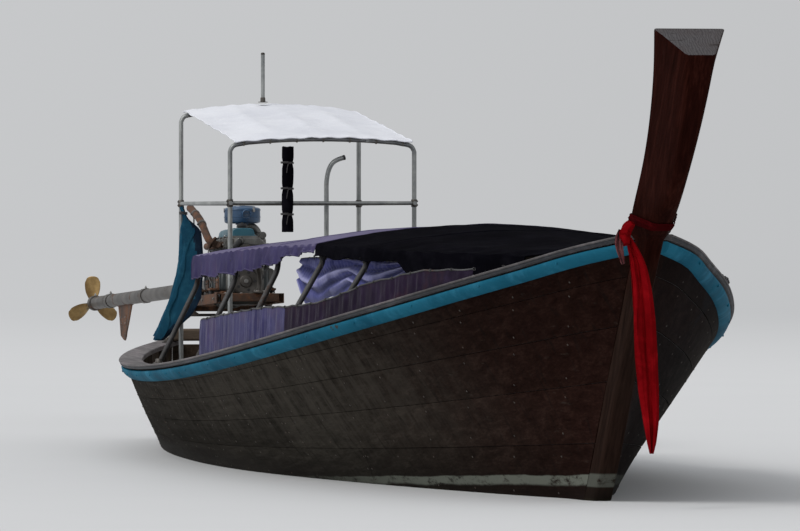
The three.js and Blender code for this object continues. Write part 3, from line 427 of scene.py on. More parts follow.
# --------------------------------------------------------------- materials
class Mat:
    """Small builder of node materials in object coordinates."""

    def __init__(self, name, rough=0.6, metal=0.0, spec=0.5, coat=0.0, sheen=0.0):
        self.m = bpy.data.materials.new(name)
        self.m.use_nodes = True
        self.nt = self.m.node_tree
        self.nt.nodes.clear()
        self.out = self.nt.nodes.new("ShaderNodeOutputMaterial")
        self.b = self.nt.nodes.new("ShaderNodeBsdfPrincipled")
        self.nt.links.new(self.b.outputs[0], self.out.inputs[0])
        self.b.inputs["Roughness"].default_value = rough
        self.b.inputs["Metallic"].default_value = metal
        self.b.inputs["Specular IOR Level"].default_value = spec
        if spec < 0.06:
            # dull, weathered surfaces that hardly mirror the sky at a slant
            self.b.inputs["IOR"].default_value = 1.15
        self.b.inputs["Coat Weight"].default_value = coat
        self.b.inputs["Sheen Weight"].default_value = sheen
        self.co = self.node("ShaderNodeTexCoord").outputs["Object"]
        s = self.node("ShaderNodeSeparateXYZ")
        self.link(self.co, s.inputs[0])
        self.x, self.y, self.z = s.outputs
        self.h = None

    def node(self, kind, **props):
        n = self.nt.nodes.new(kind)
        for k, v in props.items():
            setattr(n, k, v)
        return n

    def link(self, a, b):
        if isinstance(a, bpy.types.NodeSocket):
            self.nt.links.new(a, b)
        elif isinstance(a, (tuple, list)) and len(a) == 3 and b.type == "RGBA":
            b.default_value = (*a, 1)
        else:
            b.default_value = a
        return b

    def math(self, op, a, b=0.0, c=0.0, clamp=False):
        n = self.node("ShaderNodeMath", operation=op, use_clamp=clamp)
        for s, v in zip(n.inputs, (a, b, c)):
            self.link(v, s)
        return n.outputs[0]

    def add(self, a, b):
        return self.math("ADD", a, b)

    def mul(self, a, b, clamp=False):
        return self.math("MULTIPLY", a, b, clamp=clamp)

    def span(self, v, lo, hi, to0=0.0, to1=1.0):
        n = self.node("ShaderNodeMapRange", interpolation_type="SMOOTHSTEP")
        for s, q in zip(n.inputs, (v, lo, hi, to0, to1)):
            self.link(q, s)
        return n.outputs[0]

    def vec(self, x=None, y=None, z=None):
        n = self.node("ShaderNodeCombineXYZ")
        for s, q in zip(n.inputs, (x, y, z)):
            self.link(0.0 if q is None else q, s)
        return n.outputs[0]

    def map(self, scale=(1, 1, 1), rot=(0, 0, 0), loc=(0, 0, 0), src=None):
        n = self.node("ShaderNodeMapping")
        self.link(self.co if src is None else src, n.inputs[0])
        n.inputs[1].default_value, n.inputs[2].default_value, n.inputs[3].default_value = loc, rot, scale
        return n.outputs[0]

    def noise(self, scale, detail=4.0, rough=0.55, src=None, stretch=None, dist=0.0, rot=(0, 0, 0)):
        v = self.map(stretch, rot, src=src) if stretch else (self.co if src is None else src)
        n = self.node("ShaderNodeTexNoise")
        self.link(v, n.inputs["Vector"])
        n.inputs["Scale"].default_value = scale
        n.inputs["Detail"].default_value = detail
        n.inputs["Roughness"].default_value = rough
        n.inputs["Distortion"].default_value = dist
        return n.outputs["Fac"]

    def voronoi(self, scale, src=None, stretch=None, feature="F1", out="Distance"):
        v = self.map(stretch, src=src) if stretch else (self.co if src is None else src)
        n = self.node("ShaderNodeTexVoronoi", feature=feature)
        self.link(v, n.inputs["Vector"])
        n.inputs["Scale"].default_value = scale
        return n.outputs[out]

    def mix(self, f, a, b, mode="MIX"):
        n = self.node("ShaderNodeMix", data_type="RGBA", blend_type=mode)
        self.link(f, n.inputs[0])
        self.link(a, n.inputs[6])
        self.link(b, n.inputs[7])
        return n.outputs[2]

    def mixf(self, f, a, b):
        n = self.node("ShaderNodeMix", data_type="FLOAT")
        self.link(f, n.inputs[0])
        self.link(a, n.inputs[2])
        self.link(b, n.inputs[3])
        return n.outputs[0]

    def ramp(self, f, stops, mode="LINEAR"):
        n = self.node("ShaderNodeValToRGB")
        n.color_ramp.interpolation = mode
        e = n.color_ramp.elements
        while len(e) < len(stops):
            e.new(0.5)
        for q, (p, c) in zip(e, stops):
            q.position = p
            q.color = (*c, 1) if isinstance(c, (tuple, list)) else (c, c, c, 1)
        self.link(f, n.inputs[0])
        return n.outputs[0]

    def attr(self, name="plank"):
        return self.node("ShaderNodeAttribute", attribute_name=name).outputs["Fac"]

    def color(self, c):
        self.link(c, self.b.inputs["Base Color"])
        return self

    def rough(self, r):
        self.link(r, self.b.inputs["Roughness"])
        return self

    def metal(self, r):
        self.link(r, self.b.inputs["Metallic"])
        return self

    def bump(self, h, strength=0.4, dist=0.002):
        n = self.node("ShaderNodeBump")
        n.inputs["Strength"].default_value = strength
        n.inputs["Distance"].default_value = dist
        self.link(h, n.inputs["Height"])
        if self.h is not None:
            self.link(self.h, n.inputs["Normal"])
        self.h = n.outputs[0]
        self.link(self.h, self.b.inputs["Normal"])
        return self

    def thread(self, v, pitch):
        """Ridges across v, one every pitch metres, from 0 to 1."""
        return self.math("ABSOLUTE", self.math("SINE", self.mul(v, math.pi / pitch)))


def grain(m, along="x", fine=1.0, src=None):
    """Wood grain: long streaks with finer pores along one axis; 0 to 1."""
    k = {"x": (0.9, 13, 13), "y": (13, 0.9, 13), "z": (13, 13, 0.9)}[along]
    k = tuple(q * fine for q in k)
    a = m.noise(1.6, 6, 0.6, stretch=k, dist=0.6, src=src)
    b = m.noise(7.0, 4, 0.65, stretch=k, dist=0.2, src=src)
    return m.add(m.mul(a, 0.62), m.mul(b, 0.38))


def wood(name, dark, mid, light, along="x", rough=(0.55, 0.85), wear=None, wear_amount=0.35, fine=1.0, src=None, bump=0.45):
    """Worn plank wood; wear is the colour of its bleached or rubbed places."""
    m = Mat(name, spec=0.35)
    s = None
    if src is not None:
        s = m.map(src[0], src[1])
    g = grain(m, along, fine, s)
    c = m.ramp(g, [(0.30, dark), (0.5, mid), (0.68, light)])
    big = m.noise(1.3, 4, 0.6)
    c = m.mix(0.55, c, m.ramp(big, [(0.3, 0.62), (0.7, 1.3)]), "MULTIPLY")
    pl = m.attr()
    c = m.mix(1.0, c, m.ramp(pl, [(0, 0.74), (1, 1.22)]), "MULTIPLY")
    if wear:
        w = m.noise(2.6, 7, 0.7, stretch={"x": (0.5, 3, 3), "y": (3, 0.5, 3), "z": (3, 3, 0.5)}[along])
        w = m.mul(m.span(w, 0.5, 0.68), wear_amount)
        c = m.mix(w, c, wear)
    stain = m.span(m.noise(4.5, 5, 0.6), 0.55, 0.75)
    c = m.mix(m.mul(stain, 0.4), c, tuple(q * 0.5 for q in dark))
    m.color(c)
    m.rough(m.mixf(g, rough[1], rough[0]))
    m.bump(g, bump, 0.003)
    m.bump(m.noise(60, 3, 0.6), 0.12, 0.001)
    return m.m


def painted(name, base, dark, chip, rough=0.5, wear=0.55, coat=0.0, metal=0.0, rust=None, spec=0.5):
    """Brushed or sprayed paint, dulled, with chips to what is under it."""
    m = Mat(name, spec=spec, coat=coat)
    n1 = m.noise(3.0, 5, 0.6)
    c = m.mix(m.span(n1, 0.3, 0.7), dark, base)
    streak = m.noise(2.2, 5, 0.65, stretch=(3, 3, 0.6))
    c = m.mix(m.mul(m.span(streak, 0.5, 0.72), 0.35), c, tuple(min(1, q * 1.7 + 0.03) for q in base))
    k = m.noise(9, 9, 0.75)
    k2 = m.noise(2.0, 3, 0.5)
    chips = m.span(m.add(k, m.mul(k2, 0.35)), 0.80 + 0.12 * (1 - wear), 0.84 + 0.12 * (1 - wear))
    c = m.mix(chips, c, chip)
    if rust:
        r = m.span(m.noise(5, 7, 0.7), 0.56, 0.7)
        c = m.mix(m.mul(r, 0.7), c, rust)
    dirt = m.span(m.noise(6, 6, 0.7), 0.45, 0.8)
    c = m.mix(m.mul(dirt, 0.45), c, tuple(q * 0.35 for q in dark))
    m.color(c)
    m.rough(m.mixf(chips, m.mixf(dirt, rough, min(1, rough + 0.25)), 0.85))
    if metal:
        m.metal(m.mul(m.math("SUBTRACT", 1.0, chips), metal))
    m.bump(m.math("SUBTRACT", 1.0, chips), 0.35, 0.0012)
    m.bump(m.noise(35, 3, 0.5), 0.15, 0.001)
    return m.m


def metal(name, base, dark, rough=0.4, metallic=0.9, rust=None, rust_amount=0.5, brushed=None, pit=0.25):
    m = Mat(name, spec=0.5)
    n1 = m.noise(7, 6, 0.65)
    c = m.mix(m.span(n1, 0.35, 0.7), dark, base)
    r = m.mixf(m.noise(14, 5, 0.6), rough - 0.12, rough + 0.18)
    if rust:
        k = m.span(m.add(m.noise(5, 8, 0.72), m.mul(m.noise(40, 4, 0.7), 0.25)), 0.80 - 0.3 * rust_amount, 0.92 - 0.25 * rust_amount)
        c = m.mix(k, c, m.mix(m.noise(30, 4, 0.6), rust, tuple(q * 0.45 for q in rust)))
        r = m.mixf(k, r, 0.9)
        m.metal(m.mixf(k, metallic, 0.1))
        m.bump(k, 0.35, 0.001)
    else:
        m.metal(metallic)
    m.color(c).rough(r)
    if brushed:
        m.bump(m.noise(30, 3, 0.6, stretch=brushed), 0.15, 0.0006)
    m.bump(m.noise(120, 3, 0.6), pit, 0.0008)
    return m.m


def cloth(name, base, dark, light, pitch=0.004, axes=("x", "yz"), rough=0.85, sheen=0.25, tint=None, weave=0.25, fold=0.5, through=0.0, folds=(2.5, 2.5, 2.5), spec=0.08, thread_dark=0.35, tinted=0.7, fade=0.55, ridges=None, above=None):
    """Woven cloth: thread ridges two ways, faded patches, soft creases; above gives a painted highlight on faces that
    point up or down, ridges gives painted light on fold ridges and painted shade in fold hollows.
    """
    m = Mat(name, rough=rough, spec=spec, sheen=sheen)
    m.b.inputs["Sheen Roughness"].default_value = 0.35
    pick = {"x": m.x, "y": m.y, "z": m.z}
    pick["yz"] = m.add(m.y, m.z)
    pick["xy"] = m.add(m.x, m.y)
    u, w = m.thread(pick[axes[0]], pitch), m.thread(pick[axes[1]], pitch)
    cross = m.mul(m.add(u, w), 0.5)
    n1 = m.noise(1.7, 5, 0.6)
    n2 = m.noise(9, 5, 0.65)
    c = m.mix(m.span(n1, 0.3, 0.7), dark, base)
    c = m.mix(m.mul(m.span(n2, 0.45, 0.75), fade), c, light)
    if tint:
        c = m.mix(m.mul(m.span(m.noise(3.2, 4, 0.6), 0.5, 0.66), tinted), c, tint)
    # painted highlight: faces that point up or down take a lighter colour, standing for the sky's sheen on the cloth's
    # top and for sun fading
    if above:
        nz = m.node("ShaderNodeSeparateXYZ")
        m.link(m.node("ShaderNodeNewGeometry").outputs["True Normal"], nz.inputs[0])
        up = m.math("ABSOLUTE", nz.outputs[2])
        c = m.mix(m.mul(m.span(up, 0.45, 0.85), 0.8), c, m.mix(m.span(n1, 0.3, 0.7), above, tuple(q * 0.72 for q in above)))
    # painted light and shade of the folds: lighter on the fold ridges, darker in the hollows, read from each point's
    # fold value
    if ridges:
        r = m.attr("plank")
        c = m.mix(m.mul(m.span(r, 0.55, 1.0), 0.85), c, ridges)
        c = m.mix(m.mul(m.span(r, 0.45, 0.0), 0.75), c, tuple(q * 0.55 for q in dark))
    c = m.mix(m.mul(cross, thread_dark), c, tuple(q * 0.45 for q in dark))
    m.color(c)
    crease = m.noise(1.0, 6, 0.62, stretch=folds, dist=1.2)
    m.bump(crease, fold, 0.02)
    m.bump(cross, weave, 0.001)
    if through:
        m.b.inputs["Transmission Weight"].default_value = 0.0
        m.b.inputs["Subsurface Weight"].default_value = through
        m.b.inputs["Subsurface Radius"].default_value = (0.02, 0.02, 0.02)
        m.b.inputs["Subsurface Scale"].default_value = 0.3
    return m.m


def hull_material():
    """Weathered hull planks: reddish at the bow, greyer aft, a pale boot stripe, dark below the water, and painted
    shade darkening the port bow.
    """
    m = Mat("hull_planks_worn_port_bow_shaded", spec=0.03)
    x, y, z = m.x, m.y, m.z
    g = grain(m, "x", 1.1)
    bow = m.span(m.add(x, m.mul(m.noise(1.1, 3, 0.5), 0.8)), 2.3, 5.3)
    c = m.mix(bow, m.ramp(g, [(0.3, (0.0125, 0.0108, 0.0088)), (0.52, (0.0305, 0.0272, 0.0222)), (0.7, (0.059, 0.052, 0.0430))]),
              m.ramp(g, [(0.3, (0.0075, 0.0030, 0.0024)), (0.52, (0.0180, 0.0078, 0.0060)), (0.7, (0.034, 0.0165, 0.0125))]))
    pl = m.attr()
    c = m.mix(1.0, c, m.ramp(pl, [(0, 0.70), (1, 1.28)]), "MULTIPLY")
    # greyed, rubbed upper strakes amidships and aft, streaked downwards
    streak = m.noise(3.2, 6, 0.68, stretch=(4.5, 2.0, 0.42))
    patch = m.noise(0.8, 4, 0.6, stretch=(1, 1, 1.4))
    up = m.mul(m.span(z, 0.02, 0.42), m.span(x, 4.4, 2.2))
    w = m.mul(m.mul(m.span(m.add(streak, m.mul(patch, 0.35)), 0.50, 0.84), up), 0.74)
    c = m.mix(w, c, (0.056, 0.049, 0.041))
    rub = m.noise(5.0, 7, 0.72, stretch=(0.7, 3.0, 6.0))
    c = m.mix(m.mul(m.span(rub, 0.60, 0.74), m.mul(m.span(z, 0.0, 0.3), 0.28)), c, (0.080, 0.069, 0.058))
    # faint bluish scuffs on the port bow
    blue = m.mul(m.span(m.noise(2.4, 6, 0.7), 0.56, 0.66), m.mul(m.span(y, 0.05, 0.3), m.span(x, 3.0, 4.4)))
    c = m.mix(m.mul(blue, 0.30), c, (0.03, 0.040, 0.055))
    # duller towards the stern
    c = m.mix(m.mul(m.span(x, 1.0, -3.6), 0.66), c, (0.0125, 0.0106, 0.0086))
    # dark runs under the rail
    runs = m.mul(m.span(m.noise(4.0, 5, 0.6, stretch=(7, 3, 0.35)), 0.52, 0.72), 0.5)
    c = m.mix(runs, c, (0.007, 0.0055, 0.005))
    # dark wet band and growth towards and below the water
    edge = m.add(z, m.mul(m.noise(6, 5, 0.6), 0.05))
    low = m.span(edge, 0.20, 0.02)
    c = m.mix(m.mul(low, 0.62), c, (0.009, 0.007, 0.006))
    # boot stripe: a pale band that thins out as it runs aft
    hi = m.add(m.mul(x, 0.035), 0.046 - 2.25 * 0.035)
    lo = m.add(m.mul(x, 0.030), 0.0 - 2.25 * 0.030)
    wob = m.mul(m.math("SUBTRACT", m.noise(3.0, 5, 0.6), 0.5), 0.03)
    zz = m.add(z, wob)
    inside = m.mul(m.span(m.math("SUBTRACT", hi, zz), 0.0, 0.008), m.span(m.math("SUBTRACT", zz, lo), -0.004, 0.012))
    fade = m.mul(m.span(x, 0.4, 3.3), m.span(m.noise(7, 7, 0.75, stretch=(1.2, 1, 2.5)), 0.34, 0.52))
    c = m.mix(m.mul(m.mul(inside, fade), 0.85), c, (0.160, 0.172, 0.145))
    under = m.span(m.add(z, m.mul(m.noise(2.5, 4, 0.6), 0.04)), 0.035, -0.03)
    c = m.mix(under, c, m.ramp(m.noise(14, 7, 0.7), [(0.35, (0.016, 0.017, 0.012)), (0.55, (0.040, 0.043, 0.026)), (0.7, (0.085, 0.083, 0.055))]))
    # painted shade: the port side of the bow darkened as if it lay in shadow
    shade_side = m.mul(m.span(y, 0.02, 0.12), m.span(x, 2.4, 4.2))
    c = m.mix(m.mul(shade_side, 0.66), c, (0.0050, 0.0047, 0.0048))
    m.color(c)
    r = m.mixf(g, 0.78, 0.52)
    r = m.mixf(low, r, 0.42)
    m.rough(r)
    m.bump(g, 0.5, 0.004)
    m.bump(m.noise(22, 6, 0.7, stretch=(0.3, 1, 1)), 0.3, 0.003)
    m.bump(m.mul(under, m.noise(40, 5, 0.7)), 0.6, 0.004)
    return m.m


def post_material():
    """Dark red-brown stained post, grain running up its rake."""
    m = Mat("post_wood_stained", spec=0.03)
    s = m.map((1, 1, 1), (0, math.radians(-38), 0))
    k = m.map((12, 12, 0.8), src=s)
    a = m.noise(1.7, 6, 0.6, src=k, dist=0.8)
    b = m.noise(8.0, 4, 0.6, src=k)
    g = m.add(m.mul(a, 0.6), m.mul(b, 0.4))
    c = m.ramp(g, [(0.3, (0.0070, 0.0018, 0.0012)), (0.5, (0.0165, 0.0040, 0.0028)), (0.7, (0.035, 0.0095, 0.0066))])
    c = m.mix(0.6, c, m.ramp(m.noise(1.8, 4, 0.6), [(0.3, 0.6), (0.7, 1.35)]), "MULTIPLY")
    # greyer and rougher below the rail, where it is the stem
    low = m.span(m.z, 1.22, 0.95)
    c = m.mix(m.mul(low, 0.75), c, m.ramp(g, [(0.3, (0.0080, 0.0050, 0.0040)), (0.7, (0.034, 0.022, 0.0165))]))
    pale = m.span(m.noise(3.0, 8, 0.75, src=m.map((3, 3, 0.7), src=s)), 0.58, 0.72)
    c = m.mix(m.mul(pale, 0.17), c, (0.070, 0.036, 0.029))
    wet = m.span(m.z, 0.22, 0.0)
    c = m.mix(m.mul(wet, 0.6), c, (0.014, 0.012, 0.010))
    stripe = m.mul(m.span(m.z, 0.065, 0.075), m.span(m.z, 0.142, 0.130))
    stripe = m.mul(stripe, m.span(m.noise(9, 6, 0.7), 0.36, 0.5))
    c = m.mix(m.mul(stripe, 0.6), c, (0.14, 0.150, 0.128))
    under = m.span(m.z, 0.02, -0.02)
    c = m.mix(under, c, m.ramp(m.noise(14, 6, 0.7), [(0.4, (0.018, 0.019, 0.012)), (0.65, (0.06, 0.06, 0.04))]))
    m.color(c)
    m.rough(m.mixf(g, 0.66, 0.36))
    m.bump(g, 0.45, 0.003)
    m.bump(m.noise(50, 4, 0.6), 0.12, 0.001)
    return m.m


def end_grain():
    """Sawn, greyed top of the post: rings and radial checks."""
    m = Mat("post_end_grain", spec=0.25)
    s = m.map((1, 1, 1), (0, math.radians(29), 0))
    r = m.noise(5.0, 4, 0.6, src=m.map((3, 3, 0.4), src=s), dist=1.5)
    rings = m.thread(m.add(m.mul(m.y, 1.0), m.mul(r, 0.05)), 0.013)
    c = m.ramp(rings, [(0.0, (0.040, 0.037, 0.040)), (1.0, (0.082, 0.077, 0.080))])
    k = m.span(m.noise(26, 6, 0.7, src=m.map((1, 0.25, 1), src=s)), 0.60, 0.68)
    c = m.mix(m.mul(k, 0.8), c, (0.020, 0.016, 0.015))
    c = m.mix(m.mul(m.span(m.noise(3, 4, 0.6), 0.45, 0.7), 0.5), c, (0.048, 0.032, 0.030))
    m.color(c)
    m.rough(0.85)
    m.bump(rings, 0.3, 0.002)
    m.bump(m.math("SUBTRACT", 1.0, k), 0.5, 0.003)
    return m.m


M_HULL = hull_material()
M_POST = post_material()
M_END = end_grain()
M_INNER = wood("inner_wood_worn", (0.032, 0.021, 0.014), (0.072, 0.049, 0.033), (0.125, 0.089, 0.062), "x", wear=(0.165, 0.137, 0.11))
M_RIB = wood("rib_wood_worn", (0.028, 0.018, 0.013), (0.062, 0.042, 0.029), (0.110, 0.078, 0.055), "z", wear=(0.15, 0.125, 0.10))
M_DECK = wood("deck_wood_worn", (0.050, 0.036, 0.026), (0.108, 0.082, 0.061), (0.18, 0.145, 0.112), "x", wear=(0.225, 0.195, 0.16), wear_amount=0.5)
M_BENCH = wood("bench_wood_worn", (0.052, 0.035, 0.024), (0.112, 0.081, 0.057), (0.185, 0.142, 0.106), "y", wear=(0.23, 0.20, 0.162), wear_amount=0.5)
M_CAP = wood("cap_wood_bleached", (0.046, 0.041, 0.042), (0.096, 0.087, 0.089), (0.165, 0.150, 0.154), "x", wear=(0.250, 0.212, 0.220), wear_amount=0.6)
M_BLUE = painted("blue_rail_paint", (0.018, 0.146, 0.228), (0.009, 0.084, 0.140), (0.060, 0.052, 0.045), rough=0.5, wear=0.6, spec=0.055)
M_TRIM = painted("pale_rail_paint", (0.15, 0.21, 0.26), (0.08, 0.115, 0.15), (0.07, 0.055, 0.045), rough=0.55, wear=0.8)
M_HOOP = metal("hoop_pipe_dull", (0.085, 0.083, 0.084), (0.036, 0.035, 0.036), rough=0.55, metallic=0.5, rust=(0.095, 0.048, 0.029), rust_amount=0.35)
# dark wood for the cap's under-edge: painted shade below its pale nosing
M_CAP_UNDERSIDE_SHADE = wood("cap_underside_painted_shade", (0.014, 0.014, 0.017), (0.026, 0.028, 0.034), (0.044, 0.048, 0.058), "x", wear=(0.085, 0.088, 0.098), wear_amount=0.4)
M_PIPE = metal("roof_pipe_galvanised", (0.36, 0.37, 0.36), (0.21, 0.22, 0.22), rough=0.42, metallic=0.7, rust=(0.17, 0.085, 0.045), rust_amount=0.12)
M_BLACK = cloth("black_canopy_cloth", (0.0046, 0.0044, 0.0068), (0.0025, 0.0024, 0.0038), (0.0115, 0.0110, 0.0158), pitch=0.006, rough=0.92, sheen=0.0, weave=0.3, fold=0.35, spec=0.03)
# the purple's lighter colour on faces that point up or down is a painted highlight along the canopy's top, also
# standing for sun fading
M_PURPLE = cloth("purple_canopy_cloth", (0.056, 0.047, 0.128), (0.034, 0.028, 0.082), (0.092, 0.080, 0.185), tint=(0.098, 0.070, 0.130), pitch=0.005, rough=0.92, fold=0.5, sheen=0.08, spec=0.03, tinted=0.35, fade=0.45, above=(0.215, 0.190, 0.320))
M_SCREEN = cloth("maroon_screen_cloth", (0.021, 0.011, 0.030), (0.011, 0.006, 0.017), (0.040, 0.024, 0.060), tint=(0.046, 0.014, 0.022), pitch=0.004, axes=("x", "z"), rough=0.9, fold=0.4, sheen=0.1)
# the curtain's fold ridges are painted lighter and its hollows darker, as light and shade
M_LILAC = cloth("lilac_curtain_cloth", (0.110, 0.118, 0.335), (0.062, 0.068, 0.215), (0.185, 0.190, 0.440), pitch=0.0035, axes=("x", "z"), rough=0.85, sheen=0.15, fold=0.25, folds=(1.2, 1.2, 1.2), ridges=(0.52, 0.52, 0.84))
M_WHITE = cloth("white_roof_cloth", (0.80, 0.815, 0.87), (0.70, 0.715, 0.78), (0.86, 0.87, 0.91), pitch=0.006, axes=("x", "y"), rough=0.6, sheen=0.05, weave=0.15, fold=0.5, thread_dark=0.10, spec=0.2)
M_BLUECLOTH = cloth("blue_hung_cloth", (0.020, 0.125, 0.205), (0.010, 0.062, 0.115), (0.052, 0.225, 0.320), tint=(0.012, 0.045, 0.095), pitch=0.0035, axes=("x", "z"), rough=0.85, sheen=0.15, fold=0.4)
M_RED = cloth("red_sash_cloth", (0.240, 0.0030, 0.0058), (0.105, 0.0013, 0.0025), (0.400, 0.0075, 0.0118), pitch=0.003, axes=("xy", "z"), rough=0.6, sheen=0.0, weave=0.2, fold=0.25, spec=0.03)
# darker copy of the sash's red for the wraps round the post: painted shade
M_RED_WRAPS_SHADED = cloth("red_sash_wraps_painted_shade", (0.050, 0.0022, 0.0032), (0.024, 0.0010, 0.0015), (0.095, 0.0050, 0.0070), pitch=0.003, axes=("xy", "z"), rough=0.8, sheen=0.0, weave=0.2, fold=0.25, spec=0.04)
M_SASHDUST = cloth("faded_sash_cloth", (0.150, 0.038, 0.042), (0.065, 0.014, 0.018), (0.270, 0.115, 0.115), pitch=0.003, axes=("xy", "z"), rough=0.75, sheen=0.1, fold=0.3)
M_IRON = painted("engine_iron_paint", (0.040, 0.050, 0.052), (0.018, 0.022, 0.024), (0.075, 0.045, 0.030), rough=0.42, wear=0.9, rust=(0.060, 0.030, 0.018))
M_TEAL = painted("engine_blue_paint", (0.025, 0.135, 0.185), (0.012, 0.060, 0.090), (0.10, 0.06, 0.04), rough=0.38, wear=0.7)
M_ALLOY = metal("engine_alloy_cast", (0.235, 0.235, 0.225), (0.10, 0.097, 0.090), rough=0.5, metallic=0.8, pit=0.5)
M_STEEL = metal("steel_worn", (0.135, 0.125, 0.115), (0.052, 0.047, 0.042), rough=0.48, metallic=0.8, rust=(0.115, 0.052, 0.028), rust_amount=0.45)
M_BRIGHT = metal("steel_bright", (0.38, 0.37, 0.355), (0.22, 0.21, 0.20), rough=0.32, metallic=0.95, pit=0.1)
M_RUST = metal("steel_rusty", (0.10, 0.060, 0.042), (0.045, 0.026, 0.018), rough=0.7, metallic=0.5, rust=(0.165, 0.070, 0.032), rust_amount=0.8, pit=0.6)
M_BRASS = metal("propeller_brass", (0.36, 0.245, 0.105), (0.17, 0.105, 0.042), rough=0.36, metallic=0.9, rust=(0.07, 0.12, 0.085), rust_amount=0.15)
M_FILTER = painted("filter_blue_paint", (0.035, 0.105, 0.215), (0.016, 0.05, 0.11), (0.12, 0.07, 0.05), rough=0.35, wear=0.5)
M_WHITEP = painted("white_plastic_worn", (0.62, 0.61, 0.56), (0.44, 0.43, 0.38), (0.30, 0.28, 0.24), rough=0.45, wear=0.3)


def rubber(name="black_rubber", c=(0.014, 0.014, 0.015)):
    m = Mat(name, rough=0.6, spec=0.4)
    m.color(m.mix(m.noise(12, 4, 0.6), c, tuple(q * 2.4 for q in c)))
    m.rough(m.mixf(m.noise(20, 4, 0.6), 0.48, 0.8))
    m.bump(m.noise(90, 3, 0.6), 0.3, 0.001)
    return m.m


M_RUBBER = rubber()
M_SEAM = rubber("dark_seam_caulk", (0.006, 0.0055, 0.005))
M_NAIL = metal("nail_heads", (0.085, 0.070, 0.058), (0.030, 0.024, 0.020), rough=0.6, metallic=0.4, rust=(0.075, 0.038, 0.024), rust_amount=0.6)


def rope_material(name, c0, c1):
    m = Mat(name, rough=0.85, spec=0.25, sheen=0.2)
    w = m.thread(m.add(m.add(m.mul(m.x, 1.0), m.mul(m.y, 0.8)), m.mul(m.z, 0.9)), 0.008)
    m.color(m.mix(m.mul(w, m.noise(14, 4, 0.6)), c0, c1))
    m.bump(w, 0.6, 0.002)
    return m.m


M_ROPE = rope_material("lashing_cord", (0.16, 0.145, 0.12), (0.36, 0.33, 0.28))
M_ROPE_DARK = rope_material("dark_lashing_cord", (0.025, 0.024, 0.026), (0.075, 0.07, 0.07))


# ------------------------------------------------------------------- hull
def strake(mesh, ts, j0, j1, side, t0, t1, tag, proud=0.0, deep=0.038):
    """One plank of the hull between girth places j0 and j1, from t0 to t1 aft, with eased edges."""
    n = max(3, int((t1 - t0) / 0.11))
    tt = np.linspace(t0 + 0.0012, t1 - 0.0012, n)
    e = 0.0045  # eased corner
    mids = [0.0, 0.012, 0.25, 0.5, 0.75, 0.988, 1.0]
    drop = [e, 0.0, 0.0, 0.0, 0.0, 0.0, e]
    a = np.array([j0(t) for t in tt])
    b = np.array([j1(t) for t in tt])
    rows = []
    for k, t in enumerate(tt):
        js = [a[k] + (b[k] - a[k]) * f for f in mids]
        rows.append(js)
    js = np.array(rows)
    p = np.zeros((n, len(mids), 3))
    rings = spline(ST, LINES.reshape(len(ST), -1), tt).reshape(n, 9, 3)
    for k in range(n):
        p[k] = spline(np.arange(9), rings[k], js[k])
    nn = normals(p)
    out = p + nn * (proud - np.array(drop))[None, :, None]
    # a small gap at the seams
    across = (p[:, -1] - p[:, 0])
    w = np.linalg.norm(across, axis=1)[:, None]
    u = across / np.maximum(1e-6, w)
    out[:, 0] += u * 0.0012
    out[:, -1] -= u * 0.0012
    inn = p[:, [0, 3, 6]] - nn[:, [0, 3, 6]] * deep
    out[:, :, 1] = np.maximum(out[:, :, 1], 0.012)
    inn[:, :, 1] = np.maximum(inn[:, :, 1], 0.008)
    ring = np.concatenate([out, inn[:, ::-1]], axis=1)
    ring[:, :, 1] *= side
    mesh.tag = tag
    rows = [[V(q) for q in r] for r in ring]
    mesh.grid(rows, closed=True, flip=side < 0, mats=lambda i, j: 1 if j in (7, 8) else 0)
    m = ring.shape[1]
    mesh.add(rows[0], [list(range(m))[:: -1 if side > 0 else 1]])
    mesh.add(rows[-1], [list(range(m))[:: 1 if side > 0 else -1]])
    return p, nn


def strakes():
    """All planks of both sides: three of the bottom and seven of the topside."""
    rng = random.Random(11)
    edges = [0.0, 0.68, 1.35, 2.05, 2.95, 3.95, 4.85, 5.70, 6.50, 7.28, 8.0]
    nails = Mesh()
    side_planks, bottom_planks = Mesh(), Mesh()
    t_end = 11.5
    for side in (1, -1):
        for k, (a, b) in enumerate(zip(edges, edges[1:])):
            cuts = [0.1]
            t = 0.1 + (2.6 + 1.1 * ((k * 2) % 5) / 2)
            while t < t_end - 1.2:
                cuts.append(t)
                t += 2.9 + 0.9 * rng.random()
            cuts.append(t_end)
            target = bottom_planks if b <= 2.06 else side_planks
            for c0, c1 in zip(cuts, cuts[1:]):
                pr = 0.0012 * (rng.random() - 0.5)
                p, nn = strake(target, None, lambda t, a=a: a, lambda t, b=b: b, side, c0, c1, rng.random(), proud=pr)
            if b > 2.06:
                # nails at each frame and at the butts
                at = [q for q in np.arange(0.45, 11.4, 0.45)]
                at += [q + s for q in cuts[1:-1] for s in (-0.03, 0.03)]
                for q in at:
                    fr = (0.18, 0.82) if q in at[: len(np.arange(0.45, 11.4, 0.45))] else (0.2, 0.5, 0.8)
                    r = spline(ST, LINES.reshape(len(ST), -1), np.array([q - 0.01, q + 0.01])).reshape(2, 9, 3)
                    for f in fr:
                        j = a + (b - a) * f
                        pts = [spline(np.arange(9), rr, np.array([j - 0.02, j + 0.02])) for rr in r]
                        c = (pts[0][0] + pts[0][1] + pts[1][0] + pts[1][1]) / 4
                        du, dv = pts[1][0] - pts[0][0], pts[0][1] - pts[0][0]
                        n = np.cross(dv, du)
                        n /= np.linalg.norm(n)
                        if n[1] < 0:
                            n = -n
                        c = V((c[0], c[1] * side, c[2]))
                        n = V((n[0], n[1] * side, n[2]))
                        c += n * (0.0006 + 0.0006 * rng.random())
                        nails.lathe([(-0.004, 0.0055), (0.0, 0.0055), (0.0012, 0.004)], c, n, 7)
    return side_planks, bottom_planks, nails


